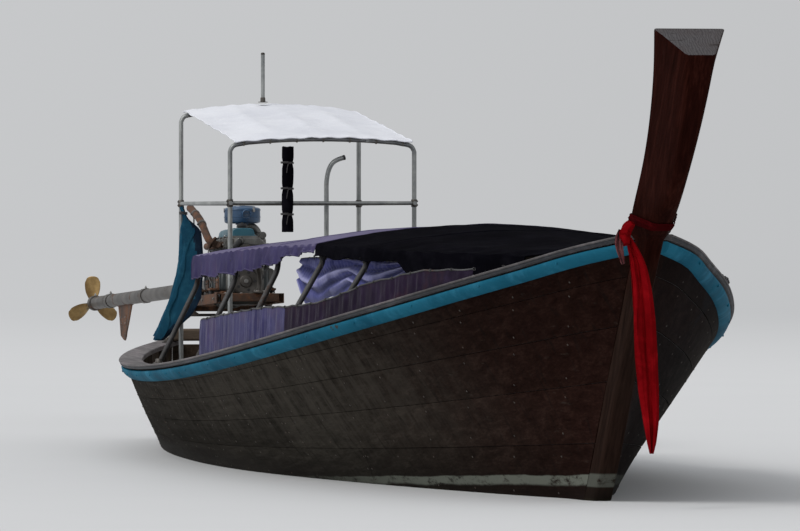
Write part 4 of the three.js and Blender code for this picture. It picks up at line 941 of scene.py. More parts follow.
side_planks, bottom_planks, nails = strakes()
piece("side_planks", side_planks, [M_HULL, M_INNER], attr=True, smooth_angle=30, recalc=False,
      replaces=[f"{s}_planking_{l}" for s in ("port", "starboard") for l in ("bow", "forward", "middle", "aft")])
piece("bottom_planks", bottom_planks, [M_HULL, M_INNER], attr=True, smooth_angle=30, recalc=False,
      replaces=["bottom_planking_forward", "bottom_planking_aft"])
piece("plank_nails", nails, M_NAIL, smooth_angle=40)


def seam_lining():
    """Dark caulked lining just behind the planks' faces, so that the seams read as seams."""
    m = Mesh()
    ts = np.linspace(0.1, 11.5, 100)
    js = np.linspace(0.0, 8.0, 41)
    p = hull_rows(ts, js)
    n = normals(p)
    for side in (1, -1):
        q = p - n * 0.0065
        q[:, :, 1] = np.maximum(q[:, :, 1], 0.010)
        q[:, :, 1] *= side
        m.grid([[V(c) for c in r] for r in q], flip=side < 0)
    return m


piece("seam_caulking", seam_lining(), M_SEAM, smooth_angle=60, recalc=False)


def keel():
    m = Mesh()
    ts = np.linspace(0.1, 11.5, 60)
    c = spline(ST, LINES[:, 0], ts)
    rows = []
    for x, _, z in c:
        h = 0.059
        rows.append([V((x, -h, z - 0.0004)), V((x, h, z - 0.0004)), V((x, h, z - 0.03)), V((x, h - 0.008, z - 0.058)), V((x, h - 0.016, z - 0.065)),
                     V((x, -h + 0.016, z - 0.065)), V((x, -h + 0.008, z - 0.058)), V((x, -h, z - 0.03))])
    m.grid(rows, closed=True)
    m.add(rows[0], [list(range(8))])
    m.add(rows[-1], [list(range(8))[::-1]])
    return m


piece("keel_timber", keel(), M_HULL, replaces=["keel_plank"], smooth_angle=40, attr=True)

# ------------------------------------------------------- prow post and stem
# Side view from the forefoot up: xa, za aft edge; xf, zf front edge; widths.
POST = [
    (4.308, -0.200, 4.3204, -0.265, 0.134, 0.090),
    (4.565, 0.0, 4.678, 0.0, 0.138, 0.084),
    (5.093, 0.630, 5.218, 0.630, 0.138, 0.082),
    (5.640, 1.279, 5.770, 1.274, 0.138, 0.082),
    (5.652, 1.318, 5.806, 1.290, 0.205, 0.084),
    (5.745, 1.412, 5.960, 1.362, 0.218, 0.080),
    (5.900, 1.560, 6.150, 1.475, 0.224, 0.070),
    (6.060, 1.730, 6.340, 1.640, 0.234, 0.074),
    (6.205, 1.920, 6.500, 1.825, 0.256, 0.092),
    (6.325, 2.100, 6.600, 1.990, 0.290, 0.116),
    (6.432, 2.265, 6.668, 2.135, 0.337, 0.138),
]


def post_ring(r, inset=0.0):
    """Section of the post: pointed front with eased corners, as drawn and then rounded."""
    xa, za, xf, zf, wa, wf = r
    A, F = V((xa, 0, za)), V((xf, 0, zf))
    u = (F - A)
    L = u.length
    u = u / L if L > 1e-6 else V((1, 0, 0))
    L -= 2 * inset
    base = A + u * inset
    wa, wf = wa / 2 - inset, wf / 2 - inset
    e = min(0.010, L * 0.25)
    prof = [(0.0, wa - e), (e * 0.35, wa - e * 0.3), (e, wa)]
    for f in (0.25, 0.5, 0.75):
        prof.append((lerp(e, L - e * 2.2, f), lerp(wa, wf, (lerp(e, L - e * 2.2, f)) / L) + 0.0))
    prof += [(L - e * 1.5, lerp(wa, wf, 1 - e * 1.5 / L)), (L - e * 0.5, wf - e * 0.25), (L, wf - e * 1.0)]
    ring = [base + u * a + V((0, w, 0)) for a, w in prof]
    ring += [base + u * a + V((0, -w, 0)) for a, w in reversed(prof)]
    return ring


def prow():
    m = Mesh()
    low = [POST[i] for i in range(4)]
    high = [POST[i] for i in range(4, 11)]

    def dense(rows, step):
        a = np.array(rows)
        s = np.concatenate([[0], np.cumsum(np.linalg.norm(np.diff(a[:, 2:4], axis=0), axis=1))])
        n = int(s[-1] / step) + 2
        return [tuple(q) for q in spline(s, a, np.linspace(0, s[-1], n))]

    lo_rows = dense(low, 0.07)
    hi_rows = dense(high, 0.035)
    top = np.array(hi_rows[-1])
    # top edge eased by two rings that shrink
    rings = [post_ring(r) for r in lo_rows]
    m.mat = 0
    m.grid(rings, closed=True)
    n = len(rings[0])
    m.add(rings[0], [list(range(n))])
    # the head: its sides, a small eased edge and the sawn top
    rings = []
    d = (np.array(hi_rows[-1]) - np.array(hi_rows[-2]))
    d /= np.linalg.norm(d[[2, 3]])
    for k, r in enumerate(hi_rows):
        if k == len(hi_rows) - 1:
            r = tuple(top - d * 0.006)
        rings.append(post_ring(r))
    rings.append(post_ring(tuple(top - d * 0.0015), inset=0.0015))
    rings.insert(0, post_ring(low[-1]))
    m.grid(rings, closed=True)
    # sloped end face with slight saw marks and a check
    last = post_ring(tuple(top), inset=0.005)
    m.grid([rings[-1], last], closed=True, mat=1)
    h = n // 2
    cols = [(last[i], last[n - 1 - i]) for i in range(h)]
    rng = random.Random(3)
    k = 9
    rows = []
    for i, (p, q) in enumerate(cols):
        row = []
        for c in range(k + 1):
            f = c / k
            pt = p.lerp(q, f)
            if 0 < i < h - 1 and 0 < c < k:
                pt = pt + V((-0.35, 0, -0.9)) * (0.0025 * rng.random())
            row.append(pt)
        rows.append(row)
    m.grid(rows, mat=1)
    return m


prow_post = piece("prow_and_stem", prow(), [M_POST, M_END], replaces=["prow_post"], smooth_angle=32, weld=0.0002)


def transom_piece():
    """Stern board of vertical planks with a cleat across the inside."""
    m = Mesh()
    x0, x1 = -5.750, -5.712
    ring = LINES[-1]
    js = np.linspace(0, 8, 60)
    prof = spline(np.arange(9), ring, js)
    ys, zs = prof[:, 1] - 0.028, prof[:, 2]
    for side in (1, -1):
        for k, (a, b) in enumerate([(0.0, 0.122), (0.122, 0.246), (0.246, 0.36)]):
            m.tag = 0.3 + 0.2 * k
            z0s = []
            rows_lo, rows_hi = [], []
            ysr = np.linspace(a + 0.0012, b - 0.0012, 6)
            for y in ysr:
                cand = zs[ys >= y]
                if len(cand) == 0:
                    continue
                zlo, zhi = cand.min(), cand.max()
                rows_lo.append((y, zlo + 0.002))
                rows_hi.append((y, min(zhi, 0.590)))
            if len(rows_lo) < 2:
                continue
            rows = []
            for (y, zl), (_, zh) in zip(rows_lo, rows_hi):
                seg = [lerp(zl, zh, q / 12) for q in range(13)]
                e = 0.003 if y in (ysr[0], ysr[-1]) else 0.0
                rows.append([V((x0 + e, side * y, z)) for z in seg] + [V((x1 - e, side * y, z)) for z in reversed(seg)])
            m.grid(rows, closed=True)
            c = len(rows[0])
            m.add(rows[0], [list(range(c))])
            m.add(rows[-1], [list(range(c))[::-1]])
    # an inner cleat across the boards
    m.tag = 0.9
    m.block((-5.705, -0.30, 0.20), (-5.672, 0.30, 0.275), 0.005)
    return m


transom_obj = piece("transom_planks", transom_piece(), M_INNER, replaces=["transom"], smooth_angle=30, attr=True)


# ------------------------------------------------ rub rails and gunwale caps
def rail_line(z_off, out, ts):
    """Points beside the planking's top edge, z_off from the rail's middle height and out from the planks."""
    a = spline(ST, LINES[:, 8], ts)
    b = spline(ST, LINES[:, 7], ts)
    z = a[:, 2] - 0.05 + z_off
    f = (z - b[:, 2]) / (a[:, 2] - b[:, 2])
    x = b[:, 0] + (a[:, 0] - b[:, 0]) * f
    y = b[:, 1] + (a[:, 1] - b[:, 1]) * f + out
    return np.stack([x, y, z], axis=1)


def rub_rail(side):
    """Half-round painted rail with bolt plugs along it."""
    m = Mesh()
    ts = np.linspace(0.1, 11.5, 150)
    prof = [(-0.020, -0.004), (-0.0195, 0.006), (-0.015, 0.016), (-0.006, 0.0255), (0.005, 0.0315), (0.018, 0.034), (0.030, 0.0325), (0.038, 0.0275), (0.042, 0.018), (0.042, -0.004)]
    rings = []
    for zo, ou in prof:
        rings.append(rail_line(zo, ou, ts))
    rows = [[V((rings[k][i][0], side * rings[k][i][1], rings[k][i][2])) for k in range(len(prof))] for i in range(len(ts))]
    m.grid(rows, closed=True, flip=side < 0)
    n = len(prof)
    m.add(rows[0], [list(range(n))[:: -1 if side > 0 else 1]])
    m.add(rows[-1], [list(range(n))[:: 1 if side > 0 else -1]])
    # bolt plugs
    for t in np.arange(0.5, 11.4, 0.62):
        c = rail_line(0.018, 0.0335, np.array([t]))[0]
        m.lathe([(-0.002, 0.009), (0.0018, 0.009), (0.003, 0.006)], (c[0], side * c[1], c[2]), (0, side, 0), 10)
    return m


def cap(side):
    """Gunwale cap in scarfed boards with a pale rounded outer edge; the under-edge below it is painted dark as shade.
    """
    m = Mesh()
    cuts = [0.1, 3.15, 6.3, 9.05, 11.5]
    for k, (t0, t1) in enumerate(zip(cuts, cuts[1:])):
        m.tag = (0.2, 0.7, 0.4, 0.9)[k]
        n = int((t1 - t0) / 0.09)
        ts = np.linspace(t0 + 0.001, t1 - 0.001, n)
        pts = spline(ST, np.array([[s["b"] / 1000, s["z"] / 1000] for s in STATIONS]), ts)
        rows = []
        for t, (b, z) in zip(ts, pts):
            z0 = z + 0.0504
            y1, y0 = b + 0.006, max(0.006, b - 0.137)
            x = X(t)
            # clear of the post at the stem head
            if x > 5.64:
                y0 = max(y0, 0.072)
            zt = z0 + 0.026
            prof = [(y0, z0), (y0, zt - 0.005), (y0 + 0.005, zt), (lerp(y0, y1, 0.35), zt), (lerp(y0, y1, 0.7), zt), (y1 - 0.006, zt), (y1 - 0.001, zt - 0.003),
                    (y1, zt - 0.007), (y1 - 0.003, zt - 0.0115), (y1 - 0.007, zt - 0.013), (y1 - 0.008, z0 + 0.004), (y1 - 0.012, z0)]
            rows.append([V((x, side * y, zz)) for y, zz in prof])
        # faces 8 to 10, the under-edge, take the dark material: painted shade under the nosing
        m.grid(rows, closed=True, flip=side < 0, mats=lambda i, j: 1 if j in (8, 9, 10) else 0)
        c = len(rows[0])
        m.add(rows[0], [list(range(c))[:: -1 if side > 0 else 1]])
        m.add(rows[-1], [list(range(c))[:: 1 if side > 0 else -1]])
    return m


for nm, side in (("port", 1), ("starboard", -1)):
    piece("painted_rail_" + nm, rub_rail(side), M_BLUE, replaces=["rub_rail_" + nm], smooth_angle=50)
    piece("cap_boards_" + nm, cap(side), [M_CAP, M_CAP_UNDERSIDE_SHADE], replaces=["gunwale_cap_" + nm], smooth_angle=35, attr=True)


# ------------------------------------------------------------------ decks
def half_at(x, z):
    return inner_half(x, z)


def deck_boards(name, x0, x1, z0, z1, width, along, gap=0.006, clear=0.036, mat=None, replaces=(), tags=5, zfun=None, extra=None, ends=None):
    """Deck of separate boards laid along x or across, cut to the hull's inside."""
    m = Mesh()
    rng = random.Random(len(name) * 7)
    if along == "x":
        wmax = max(half_at(x, z0) for x in np.linspace(x0, x1, 9)) - clear
        k = int(wmax / width) + 1
        for i in range(-k, k):
            y0, y1 = i * width + gap / 2, (i + 1) * width - gap / 2
            yy = max(abs(y0), abs(y1))
            xs = np.linspace(x0, x1, 80)
            ok = np.array([half_at(x, z0) - clear > yy + 0.002 for x in xs])
            if not ok.any():
                yy = min(abs(y0), abs(y1)) + 0.05
                ok = np.array([half_at(x, z0) - clear > yy for x in xs])
                if not ok.any():
                    continue
                if y0 >= 0:
                    y1 = yy
                else:
                    y0 = -yy
            a, b = xs[ok][0], xs[ok][-1]
            m.tag = rng.random()
            dz = 0.0015 * (rng.random() - 0.5)
            cuts = [a, b]
            if b - a > 3.2:
                c = a + (b - a) * (0.35 + 0.3 * rng.random())
                cuts = [a, c, b]
            for c0, c1 in zip(cuts, cuts[1:]):
                m.block((c0 + 0.001, y0, z0 + dz), (c1 - 0.001, y1, z1 + dz), 0.003)
                for xx in np.arange(c0 + 0.06, c1 - 0.03, 0.45):
                    for f in (0.2, 0.8):
                        m.lathe([(0, 0.0045), (0.001, 0.0035)], (xx, lerp(y0, y1, f), z1 + dz), (0, 0, 1), 6, mat=1)
    else:
        k = int((x1 - x0) / width)
        w = (x1 - x0) / k
        for i in range(k):
            a, b = x0 + i * w + gap / 2, x0 + (i + 1) * w - gap / 2
            zz = (z0 if zfun is None else zfun((a + b) / 2) + (z0 - z1))
            h = min(half_at(a, zz), half_at(b, zz)) - clear
            m.tag = rng.random()
            if zfun is None:
                m.block((a, -h, z0), (b, h, z1), 0.003)
                zt = z1
            else:
                tilt = Matrix.Translation(V(((a + b) / 2, 0, zfun((a + b) / 2)))) @ Matrix.Rotation(-math.atan2(zfun(b) - zfun(a), b - a), 4, "Y")
                m.block(((a - b) / 2, -h, z0 - z1), ((b - a) / 2, h, 0), 0.003, matrix=tilt)
                zt = zfun((a + b) / 2)
            for y in np.arange(-h + 0.05, h - 0.02, max(0.12, (2 * h - 0.1) / max(1, round((2 * h - 0.1) / 0.42)))):
                for f in (0.25, 0.75):
                    xx = lerp(a, b, f)
                    m.lathe([(0, 0.0045), (0.001, 0.0035)], (xx, y, zt if zfun is None else zfun(xx)), (0, 0, 1), 6, mat=1)
    if extra:
        extra(m)
    return piece(name, m, [mat or M_DECK, M_NAIL], replaces=replaces, smooth_angle=30, attr=True)


fore_z = lambda x: rail_at(STEM - x)[1] + 0.05 - 0.0004


def fore_extra(m):
    # lip board across the deck's aft end
    m.tag = 0.5
    z = fore_z(3.865)
    h = half_at(3.87, z - 0.02) - 0.03
    m.block((3.8505, -h, z - 0.030), (3.879, h, z + 0.0), 0.004)


deck_boards("foredeck_boards", 3.881, 5.60, -0.03, 0.0, 0.14, "y", clear=0.030, zfun=fore_z, replaces=["foredeck"], extra=fore_extra)
deck_boards("floor_planks", -4.05, 2.85, -0.165, -0.143, 0.16, "x", gap=0.010, clear=0.088, replaces=["floor_boards"])


def aft_extra(m):
    m.tag = 0.3
    for t in (9.784, 10.25, 11.0):
        x = X(t)
        h = half_at(x, 0.29) - 0.086
        m.block((x - 0.023, -h, 0.275), (x + 0.023, h, 0.3345), 0.004)


deck_boards("aft_deck_planks", -5.69, -4.01, 0.335, 0.360, 0.13, "x", gap=0.006, clear=0.088, replaces=["aft_deck"], extra=aft_extra)


def bench(i, t):
    """Bench of two boards with eased edges."""
    m = Mesh()
    x0, x1 = X(t + 0.15), X(t - 0.15)
    rng = random.Random(40 + i)
    for k in range(2):
        a, b = lerp(x0, x1, k / 2) + (0.002 if k else 0), lerp(x0, x1, (k + 1) / 2) - (0 if k else 0.002)
        h = min(half_at(a, 0.26), half_at(b, 0.26)) - 0.086
        m.tag = rng.random()
        m.block((a, -h, 0.258), (b, h, 0.290), 0.007)
        for s in (-1, 1):
            for dx in (0.04, 0.11):
                m.lathe([(0, 0.005), (0.0012, 0.004)], (a + dx, s * (h - 0.06), 0.290), (0, 0, 1), 6, mat=1)
    return piece(f"bench_boards_{i}", m, [M_BENCH, M_NAIL], replaces=[f"bench_{i}"], smooth_angle=30, attr=True)


for i, t in enumerate((3.3, 4.5, 5.7, 6.9)):
    bench(i + 1, t)

for n in ("floor_timbers", "bow_frame", "side_frames_port_forward", "side_frames_port_aft", "side_frames_starboard_forward", "side_frames_starboard_aft"):
    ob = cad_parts[n]
    for sl in ob.material_slots:
        sl.material = M_RIB
for n in ("helm_beam",):
    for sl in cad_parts[n].material_slots:
        sl.material = M_INNER


def engine_beam():
    """Heavy cross-beam that carries the swivel, with eased edges, through bolts and a pad."""
    m = Mesh()
    lo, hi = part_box("engine_beam")
    m.tag = 0.4
    m.block((-5.630, -0.395, lo.z), (-5.470, 0.395, 0.690), 0.010)
    m.tag = 0.8
    m.block((-5.640, -0.130, 0.668), (-5.460, 0.130, 0.690), 0.006)
    for s in (-1, 1):
        for x in (-5.59, -5.51):
            m.hexbolt((x, s * 0.33, 0.690), (0, 0, 1), 0.011, 0.009, mat=1)
    return piece("engine_cross_beam", m, [M_BENCH, M_RUST], replaces=["engine_beam"], smooth_angle=30, attr=True)


engine_beam()


# --------------------------------------------------------- sheets of cloth
def table(rows, keys):
    """Smooth reader of a table whose first column is the distance aft of the stem head."""
    a = np.array(rows, float)
    return lambda t: dict(zip(keys, [t] + [steady(a[:, 0], a[:, k], t) for k in range(1, a.shape[1])]))


def cloth_sheet(name, rows, mat, thick=0.0022, replaces=(), mats=None, faces_mat=None, body="hull", attr=None):
    """A thin sheet from a grid of points; its flat size keeps its measured area."""
    m = Mesh()
    if faces_mat is None:
        m.grid(rows)
    else:
        n = len(rows[0])
        base = m.add([p for r in rows for p in r], [])
        for i in range(len(rows) - 1):
            for j in range(n - 1):
                m.f.append([base + i * n + j, base + i * n + j + 1, base + (i + 1) * n + j + 1, base + (i + 1) * n + j])
                m.m.append(faces_mat(i, j))
    if attr:
        m.a = list(attr)
    ob = piece(name, m, mats or mat, body=body, replaces=replaces, smooth_angle=None, recalc=False, attr=bool(attr))
    modify(ob, "SOLIDIFY", thickness=thick, offset=0.0, use_even_offset=False)
    shade(ob.data, 60)
    return ob


BLACK = table([
    (1.30, 0.330, 1.190, 1.218, 1.128), (1.42, 0.410, 1.200, 1.236, 1.124), (1.70, 0.562, 1.208, 1.256, 1.096), (2.00, 0.690, 1.216, 1.276, 1.084),
    (2.12, 0.722, 1.218, 1.284, 1.110), (2.30, 0.764, 1.221, 1.295, 1.172), (2.80, 0.845, 1.230, 1.322, 1.178), (3.70, 0.900, 1.244, 1.348, 1.190),
], "twecv")
PURPLE = table([
    (3.702, 0.902, 1.246, 1.350, 1.212), (4.30, 0.904, 1.240, 1.345, 1.196), (4.90, 0.905, 1.230, 1.334, 1.143), (6.15, 0.905, 1.198, 1.290, 1.085), (7.40, 0.900, 1.165, 1.256, 1.050),
], "twecv")
HOOP_T = [1.42, 2.80, 3.68, 4.90, 6.15, 7.37]
RIDGES = [-1.0, -0.72, 0.0, 0.72, 1.0]


def sag(t, f, depth):
    """How far the cloth hangs between hoops (along) and ridge pipes (across)."""
    a = 0.0
    for p, q in zip(HOOP_T, HOOP_T[1:]):
        if p < t < q:
            a = math.sin(math.pi * (t - p) / (q - p))
    for p, q in zip(RIDGES, RIDGES[1:]):
        if p <= f <= q:
            b = math.sin(math.pi * (f - p) / (q - p))
            return depth * a * b * min(1.0, (q - p) / 0.5) + 0.004 * a
    return 0.0


def canopy(tab, t0, t1, depth, wave, wavelen, seed, hem_drop=0.0, ns=110):
    """Grid of points over the arch, down both edges and along a loose hem."""
    fs = list(np.linspace(-1, 1, 43))
    rows = []
    for k in range(ns + 1):
        t = lerp(t0, t1, k / ns)
        r = tab(t)
        row = []
        hem = 7
        for side in (-1, 1):
            seg = []
            ripple = math.sin(2 * math.pi * t / wavelen + seed) * 0.6 + math.sin(2 * math.pi * t / (wavelen * 0.43) + seed * 2.1) * 0.4
            drop = hem_drop * (0.5 + 0.5 * math.sin(2 * math.pi * t / 0.62 + seed * 1.7 + side))
            for q in range(1, hem + 1):
                g = q / hem
                y = r["w"] + 0.010 + 0.010 * g + wave * ripple * g * g
                z = lerp(r["e"] - 0.006, r["v"] - drop + 0.004 * ripple, g)
                y += 0.004 * fbm((t * 9, q * 0.3, side + seed))
                seg.append(V((X(t), side * y, z)))
            if side < 0:
                row += seg[::-1]
            else:
                tail = seg
        for f in fs:
            z = lerp(r["c"], r["e"], f * f) - sag(t, f, depth)
            z += 0.005 * fbm((t * 2.3, f * 2.0 * r["w"] * 2.3, seed)) * (1 - abs(f) ** 6)
            # short gathers that run in from the tied edges
            z += 0.0035 * math.sin(t * 31 + 3 * fbm((t * 3, f, seed))) * max(0.0, abs(f) - 0.55) / 0.45
            y = f * (r["w"] + 0.006)
            row.append(V((X(t), y, z)))
        row += tail
        rows.append(row)
    return rows


# front edge of the black cloth lies just ahead of its first hoop
black_rows = canopy(BLACK, 1.30, 3.70, 0.020, 0.006, 0.50, 0.7, hem_drop=0.014, ns=88)
purple_rows = canopy(PURPLE, 3.702, 7.40, 0.022, 0.011, 0.27, 2.4, hem_drop=0.016, ns=150)


def edge_cord(name, rows_pts, r, mat):
    m = Mesh()
    for pts in rows_pts:
        m.tube(pts, r, 8)
    return piece(name, m, mat, smooth_angle=60)


edge_cord("black_canopy_hems", [[r[0] for r in black_rows], [r[-1] for r in black_rows], black_rows[0]], 0.0045, M_BLACK)
edge_cord("purple_canopy_hems", [[r[0] for r in purple_rows], [r[-1] for r in purple_rows], purple_rows[-1]], 0.0042, M_PURPLE)
cloth_sheet("black_canopy_sheet", black_rows, M_BLACK, replaces=["black_canopy"])
cloth_sheet("purple_canopy_sheet", purple_rows, M_PURPLE, replaces=["purple_canopy"])


M_BAND = cloth("canopy_band_cloth", (0.120, 0.104, 0.205), (0.085, 0.072, 0.155), (0.155, 0.138, 0.250), pitch=0.005, rough=0.92, fold=0.2, sheen=0.08, spec=0.03)


def seam_bands():
    """Sewn reinforcing bands across the canopies over three of the hoops."""
    m = Mesh()
    for rows, tab, t0, t1, ts, idx in ((black_rows, BLACK, 1.30, 3.70, (2.80,), 0), (purple_rows, PURPLE, 3.702, 7.40, (4.90, 6.15), 1)):
        ns = len(rows) - 1
        for t in ts:
            k = (t - t0) / (t1 - t0) * ns
            i0, i1 = int(k - 1.0), int(k + 1.0)
            band = [[p + V((0, 0, 0.0016)) for p in rows[i][8:-8]] for i in range(i0, i1 + 2)]
            m.grid(band, flip=True, mat=idx)
    ob = piece("canopy_seam_bands", m, [M_BLACK, M_BAND], smooth_angle=60)
    modify(ob, "SOLIDIFY", thickness=0.0016, offset=0.0)
    return ob


seam_bands()


# ------------------------------------------------- passenger canopy frame
PIPE = 0.015
DROP = 0.008 + PIPE + 0.004
ARCH = [-1, -0.72, -0.38, 0, 0.38, 0.72, 1]


def hoop_points(tab, t):
    r = tab(t)
    b, zr, cap_top = rail_at(t)
    on_deck = t < 1.9
    foot = r["w"] + 0.012 if on_deck else min(b - 0.078, r["w"] + 0.210)
    base = (zr + 0.05 - cap_top) if on_deck else 0.0
    pts = [V((X(t), foot, cap_top + base + 0.002)), V((X(t), r["w"] - PIPE - 0.002, r["v"] - 0.040)), V((X(t), r["w"] - PIPE - 0.006, r["e"] - DROP - 0.030))]
    over = [V((X(t), f * r["w"], lerp(r["c"], r["e"], f * f) - DROP)) for f in np.linspace(0.86, -0.86, 21)]
    port = pts
    star = [V((p.x, -p.y, p.z)) for p in reversed(pts)]
    path = rounded(port + over[:1], 0.05, 5)[:-1] + over + rounded(over[-1:] + star, 0.05, 5)[1:]
    return path, foot, cap_top + base


def flange(m, x, y, z, slope, r=0.036, mat=1):
    """Round bolted foot plate with a socket collar."""
    tilt = Matrix.Translation(V((x, y, z))) @ Matrix.Rotation(-slope, 4, "Y")
    m.lathe([(0.0, r), (0.006, r), (0.009, r - 0.004), (0.0095, 0.022), (0.030, 0.0195), (0.033, 0.0165)], (x, y, z), tilt.to_3x3() @ V((0, 0, 1)), 20, mat=mat)
    for k in range(4):
        a = math.pi / 4 + k * math.pi / 2
        p = tilt @ V((math.cos(a) * 0.027, math.sin(a) * 0.027, 0.0085))
        m.hexbolt(p, (0, 0, 1), 0.0045, 0.004, mat=mat)


def canopy_frame():
    m = Mesh()
    tops = []
    for t in HOOP_T:
        tab = BLACK if t <= 3.69 else PURPLE
        path, foot, z = hoop_points(tab, min(max(t, 1.30), 7.40))
        m.tube(path, PIPE, 14, mat=0)
        slope = math.atan2(rail_at(t - 0.05)[2] - rail_at(t + 0.05)[2], 0.10)
        for s in (-1, 1):
            flange(m, X(t), s * foot, z + 0.0004, slope)
        r = tab(t)
        tops.append((t, r))
    for f in (-0.72, 0.0, 0.72):
        pts = [V((X(t), f * r["w"], lerp(r["c"], r["e"], f * f) - DROP - 0.002)) for t, r in tops]
        pts[0] = pts[0] + V((0.02, 0, 0))
        pts[-1] = pts[-1] - V((0.02, 0, 0))
        m.tube(pts, PIPE - 0.002, 12, mat=0)
        for p in pts[:]:
            # clamp where the ridge pipe crosses a hoop
            m.lathe([(-0.020, 0.0175), (-0.018, 0.0195), (0.018, 0.0195), (0.020, 0.0175)], p, (1, 0, 0), 14, mat=1)
            m.block(p + V((-0.010, -0.006, -0.034)), p + V((0.010, 0.006, -0.016)), 0.002, mat=1)
            m.hexbolt(p + V((0.011, 0, -0.026)), (1, 0, 0), 0.005, 0.004, mat=1, washer=False)
    return piece("canopy_hoops", m, [M_HOOP, M_STEEL], replaces=["passenger_canopy_frame"], smooth_angle=45)


canopy_frame()


def lashings():
    """Short cord ties that hold the canopies' edges to the hoops."""
    m = Mesh()
    for t in HOOP_T:
        tab = BLACK if t <= 3.69 else PURPLE
        r = tab(t)
        for s in (-1, 1):
            c = V((X(t), s * (r["w"] - PIPE - 0.004), r["e"] - DROP - 0.050))
            for k in range(4):
                pts = []
                for a in range(17):
                    q = 2 * math.pi * a / 16
                    pts.append(c + V((math.cos(q) * 0.0185, math.sin(q) * 0.0185, k * 0.0055 + 0.003 * a / 16)))
                m.tube(pts, 0.0026, 6, caps=True)
            m.tube(curve([c + V((0.018, s * 0.004, 0.012)), c + V((0.022, s * 0.018, 0.022)), c + V((0.012, s * 0.036, 0.026))], 0.006), 0.0026, 6)
            m.tube(curve([c + V((0.018, s * 0.002, 0.002)), c + V((0.026, s * 0.006, -0.016)), c + V((0.022, s * 0.005, -0.048))], 0.008), 0.0024, 6)
    return piece("canopy_ties", m, M_ROPE_DARK, smooth_angle=60)


lashings()


# --------------------------------------------------------- screens, curtain
SCREEN = [(1.20, 0.034), (1.45, 0.072), (1.75, 0.108), (2.00, 0.114), (2.22, 0.122), (2.50, 0.110), (2.80, 0.102), (3.30, 0.128), (3.70, 0.160), (4.30, 0.182), (4.90, 0.192), (5.10, 0.193)]
SCREEN_SPLIT = 3.34


def screen(side):
    """Low pleated screen along the gunwale, laced to a thin rod at its top."""
    ts = np.linspace(1.20, 5.10, 520)
    rows = []
    nv = 12
    for i, t in enumerate(ts):
        b, zr, top = rail_at(t)
        h = steady([q[0] for q in SCREEN], [q[1] for q in SCREEN], t)
        # the top sags a little between its ties
        h -= 0.005 * abs(math.sin(math.pi * (t - 1.20) / 0.225))
        if side > 0:
            h *= lerp(0.45, 1.0, smooth((t - 1.2) / 1.2))
        y = b - 0.026
        ph = 2 * math.pi * t / 0.120 + 7.0 * fbm((t * 1.3, side, 4.0))
        ph2 = 2 * math.pi * t / 0.052 + 4.0 * fbm((t * 2.1, side * 3, 1.0))
        amp = 0.0050 * max(0.15, 0.60 + 1.1 * fbm((t * 1.7, side * 2.0, 9.0)))
        row = []
        for k in range(nv + 1):
            g = k / nv
            lean = 0.9 * g * fbm((t * 2.4, side, 6.0))
            yy = y - 0.006 * g + 0.004 + amp * (math.sin(ph + lean * 3 + 0.5 * math.sin(g * 3)) + 0.4 * math.sin(ph2 - lean * 4)) * (0.35 + 0.65 * math.sin(math.pi * min(1, g * 1.05)))
            zz = top + 0.003 + (h - 0.004) * g - 0.003 * (1 - g) * abs(math.sin(ph / 2))
            row.append(V((X(t), side * yy, zz + 0.003)))
        rows.append(row)
    return rows


M_SCREEN_AFT = cloth("lilac_screen_cloth", (0.060, 0.056, 0.150), (0.034, 0.031, 0.090), (0.108, 0.102, 0.235), tint=(0.085, 0.064, 0.130), pitch=0.004, axes=("x", "z"), rough=0.9, fold=0.4, sheen=0.15)
for nm, side in (("port", 1), ("starboard", -1)):
    rows = screen(side)
    m = Mesh()
    top = [r[-1] + V((0, 0, 0.002)) for r in rows[::6]]
    m.tube(top, 0.0045, 8)
    for k in range(0, len(rows), 26):
        c = rows[k][-1] + V((0, 0, 0.002))
        for q in range(2):
            m.tube([c + V((0.006 * q + 0.0015 * a / 12, math.cos(2 * math.pi * a / 12) * 0.0068, math.sin(2 * math.pi * a / 12) * 0.0068)) for a in range(13)], 0.0018, 6)
    piece("screen_rod_" + nm, m, M_HOOP, smooth_angle=60)
    cloth_sheet("gunwale_screen_" + nm, rows, None, thick=0.0018, replaces=["side_screen_" + nm],
                mats=[M_SCREEN, M_SCREEN_AFT],
                faces_mat=lambda i, j: 0 if 1.20 + 3.90 * (i + 0.5) / 519 < SCREEN_SPLIT else 1)

CURTAIN = [
    (2.30, 0.690, 1.160, 1.128, 0.696), (2.60, 0.742, 1.162, 1.062, 0.754), (2.80, 0.770, 1.164, 1.018, 0.786), (3.00, 0.790, 1.166, 0.992, 0.806), (3.30, 0.815, 1.168, 1.000, 0.832),
    (3.70, 0.838, 1.172, 0.968, 0.852), (4.10, 0.842, 1.172, 0.934, 0.856), (4.40, 0.843, 1.168, 0.928, 0.857), (4.54, 0.843, 1.164, 1.010, 0.855),
]


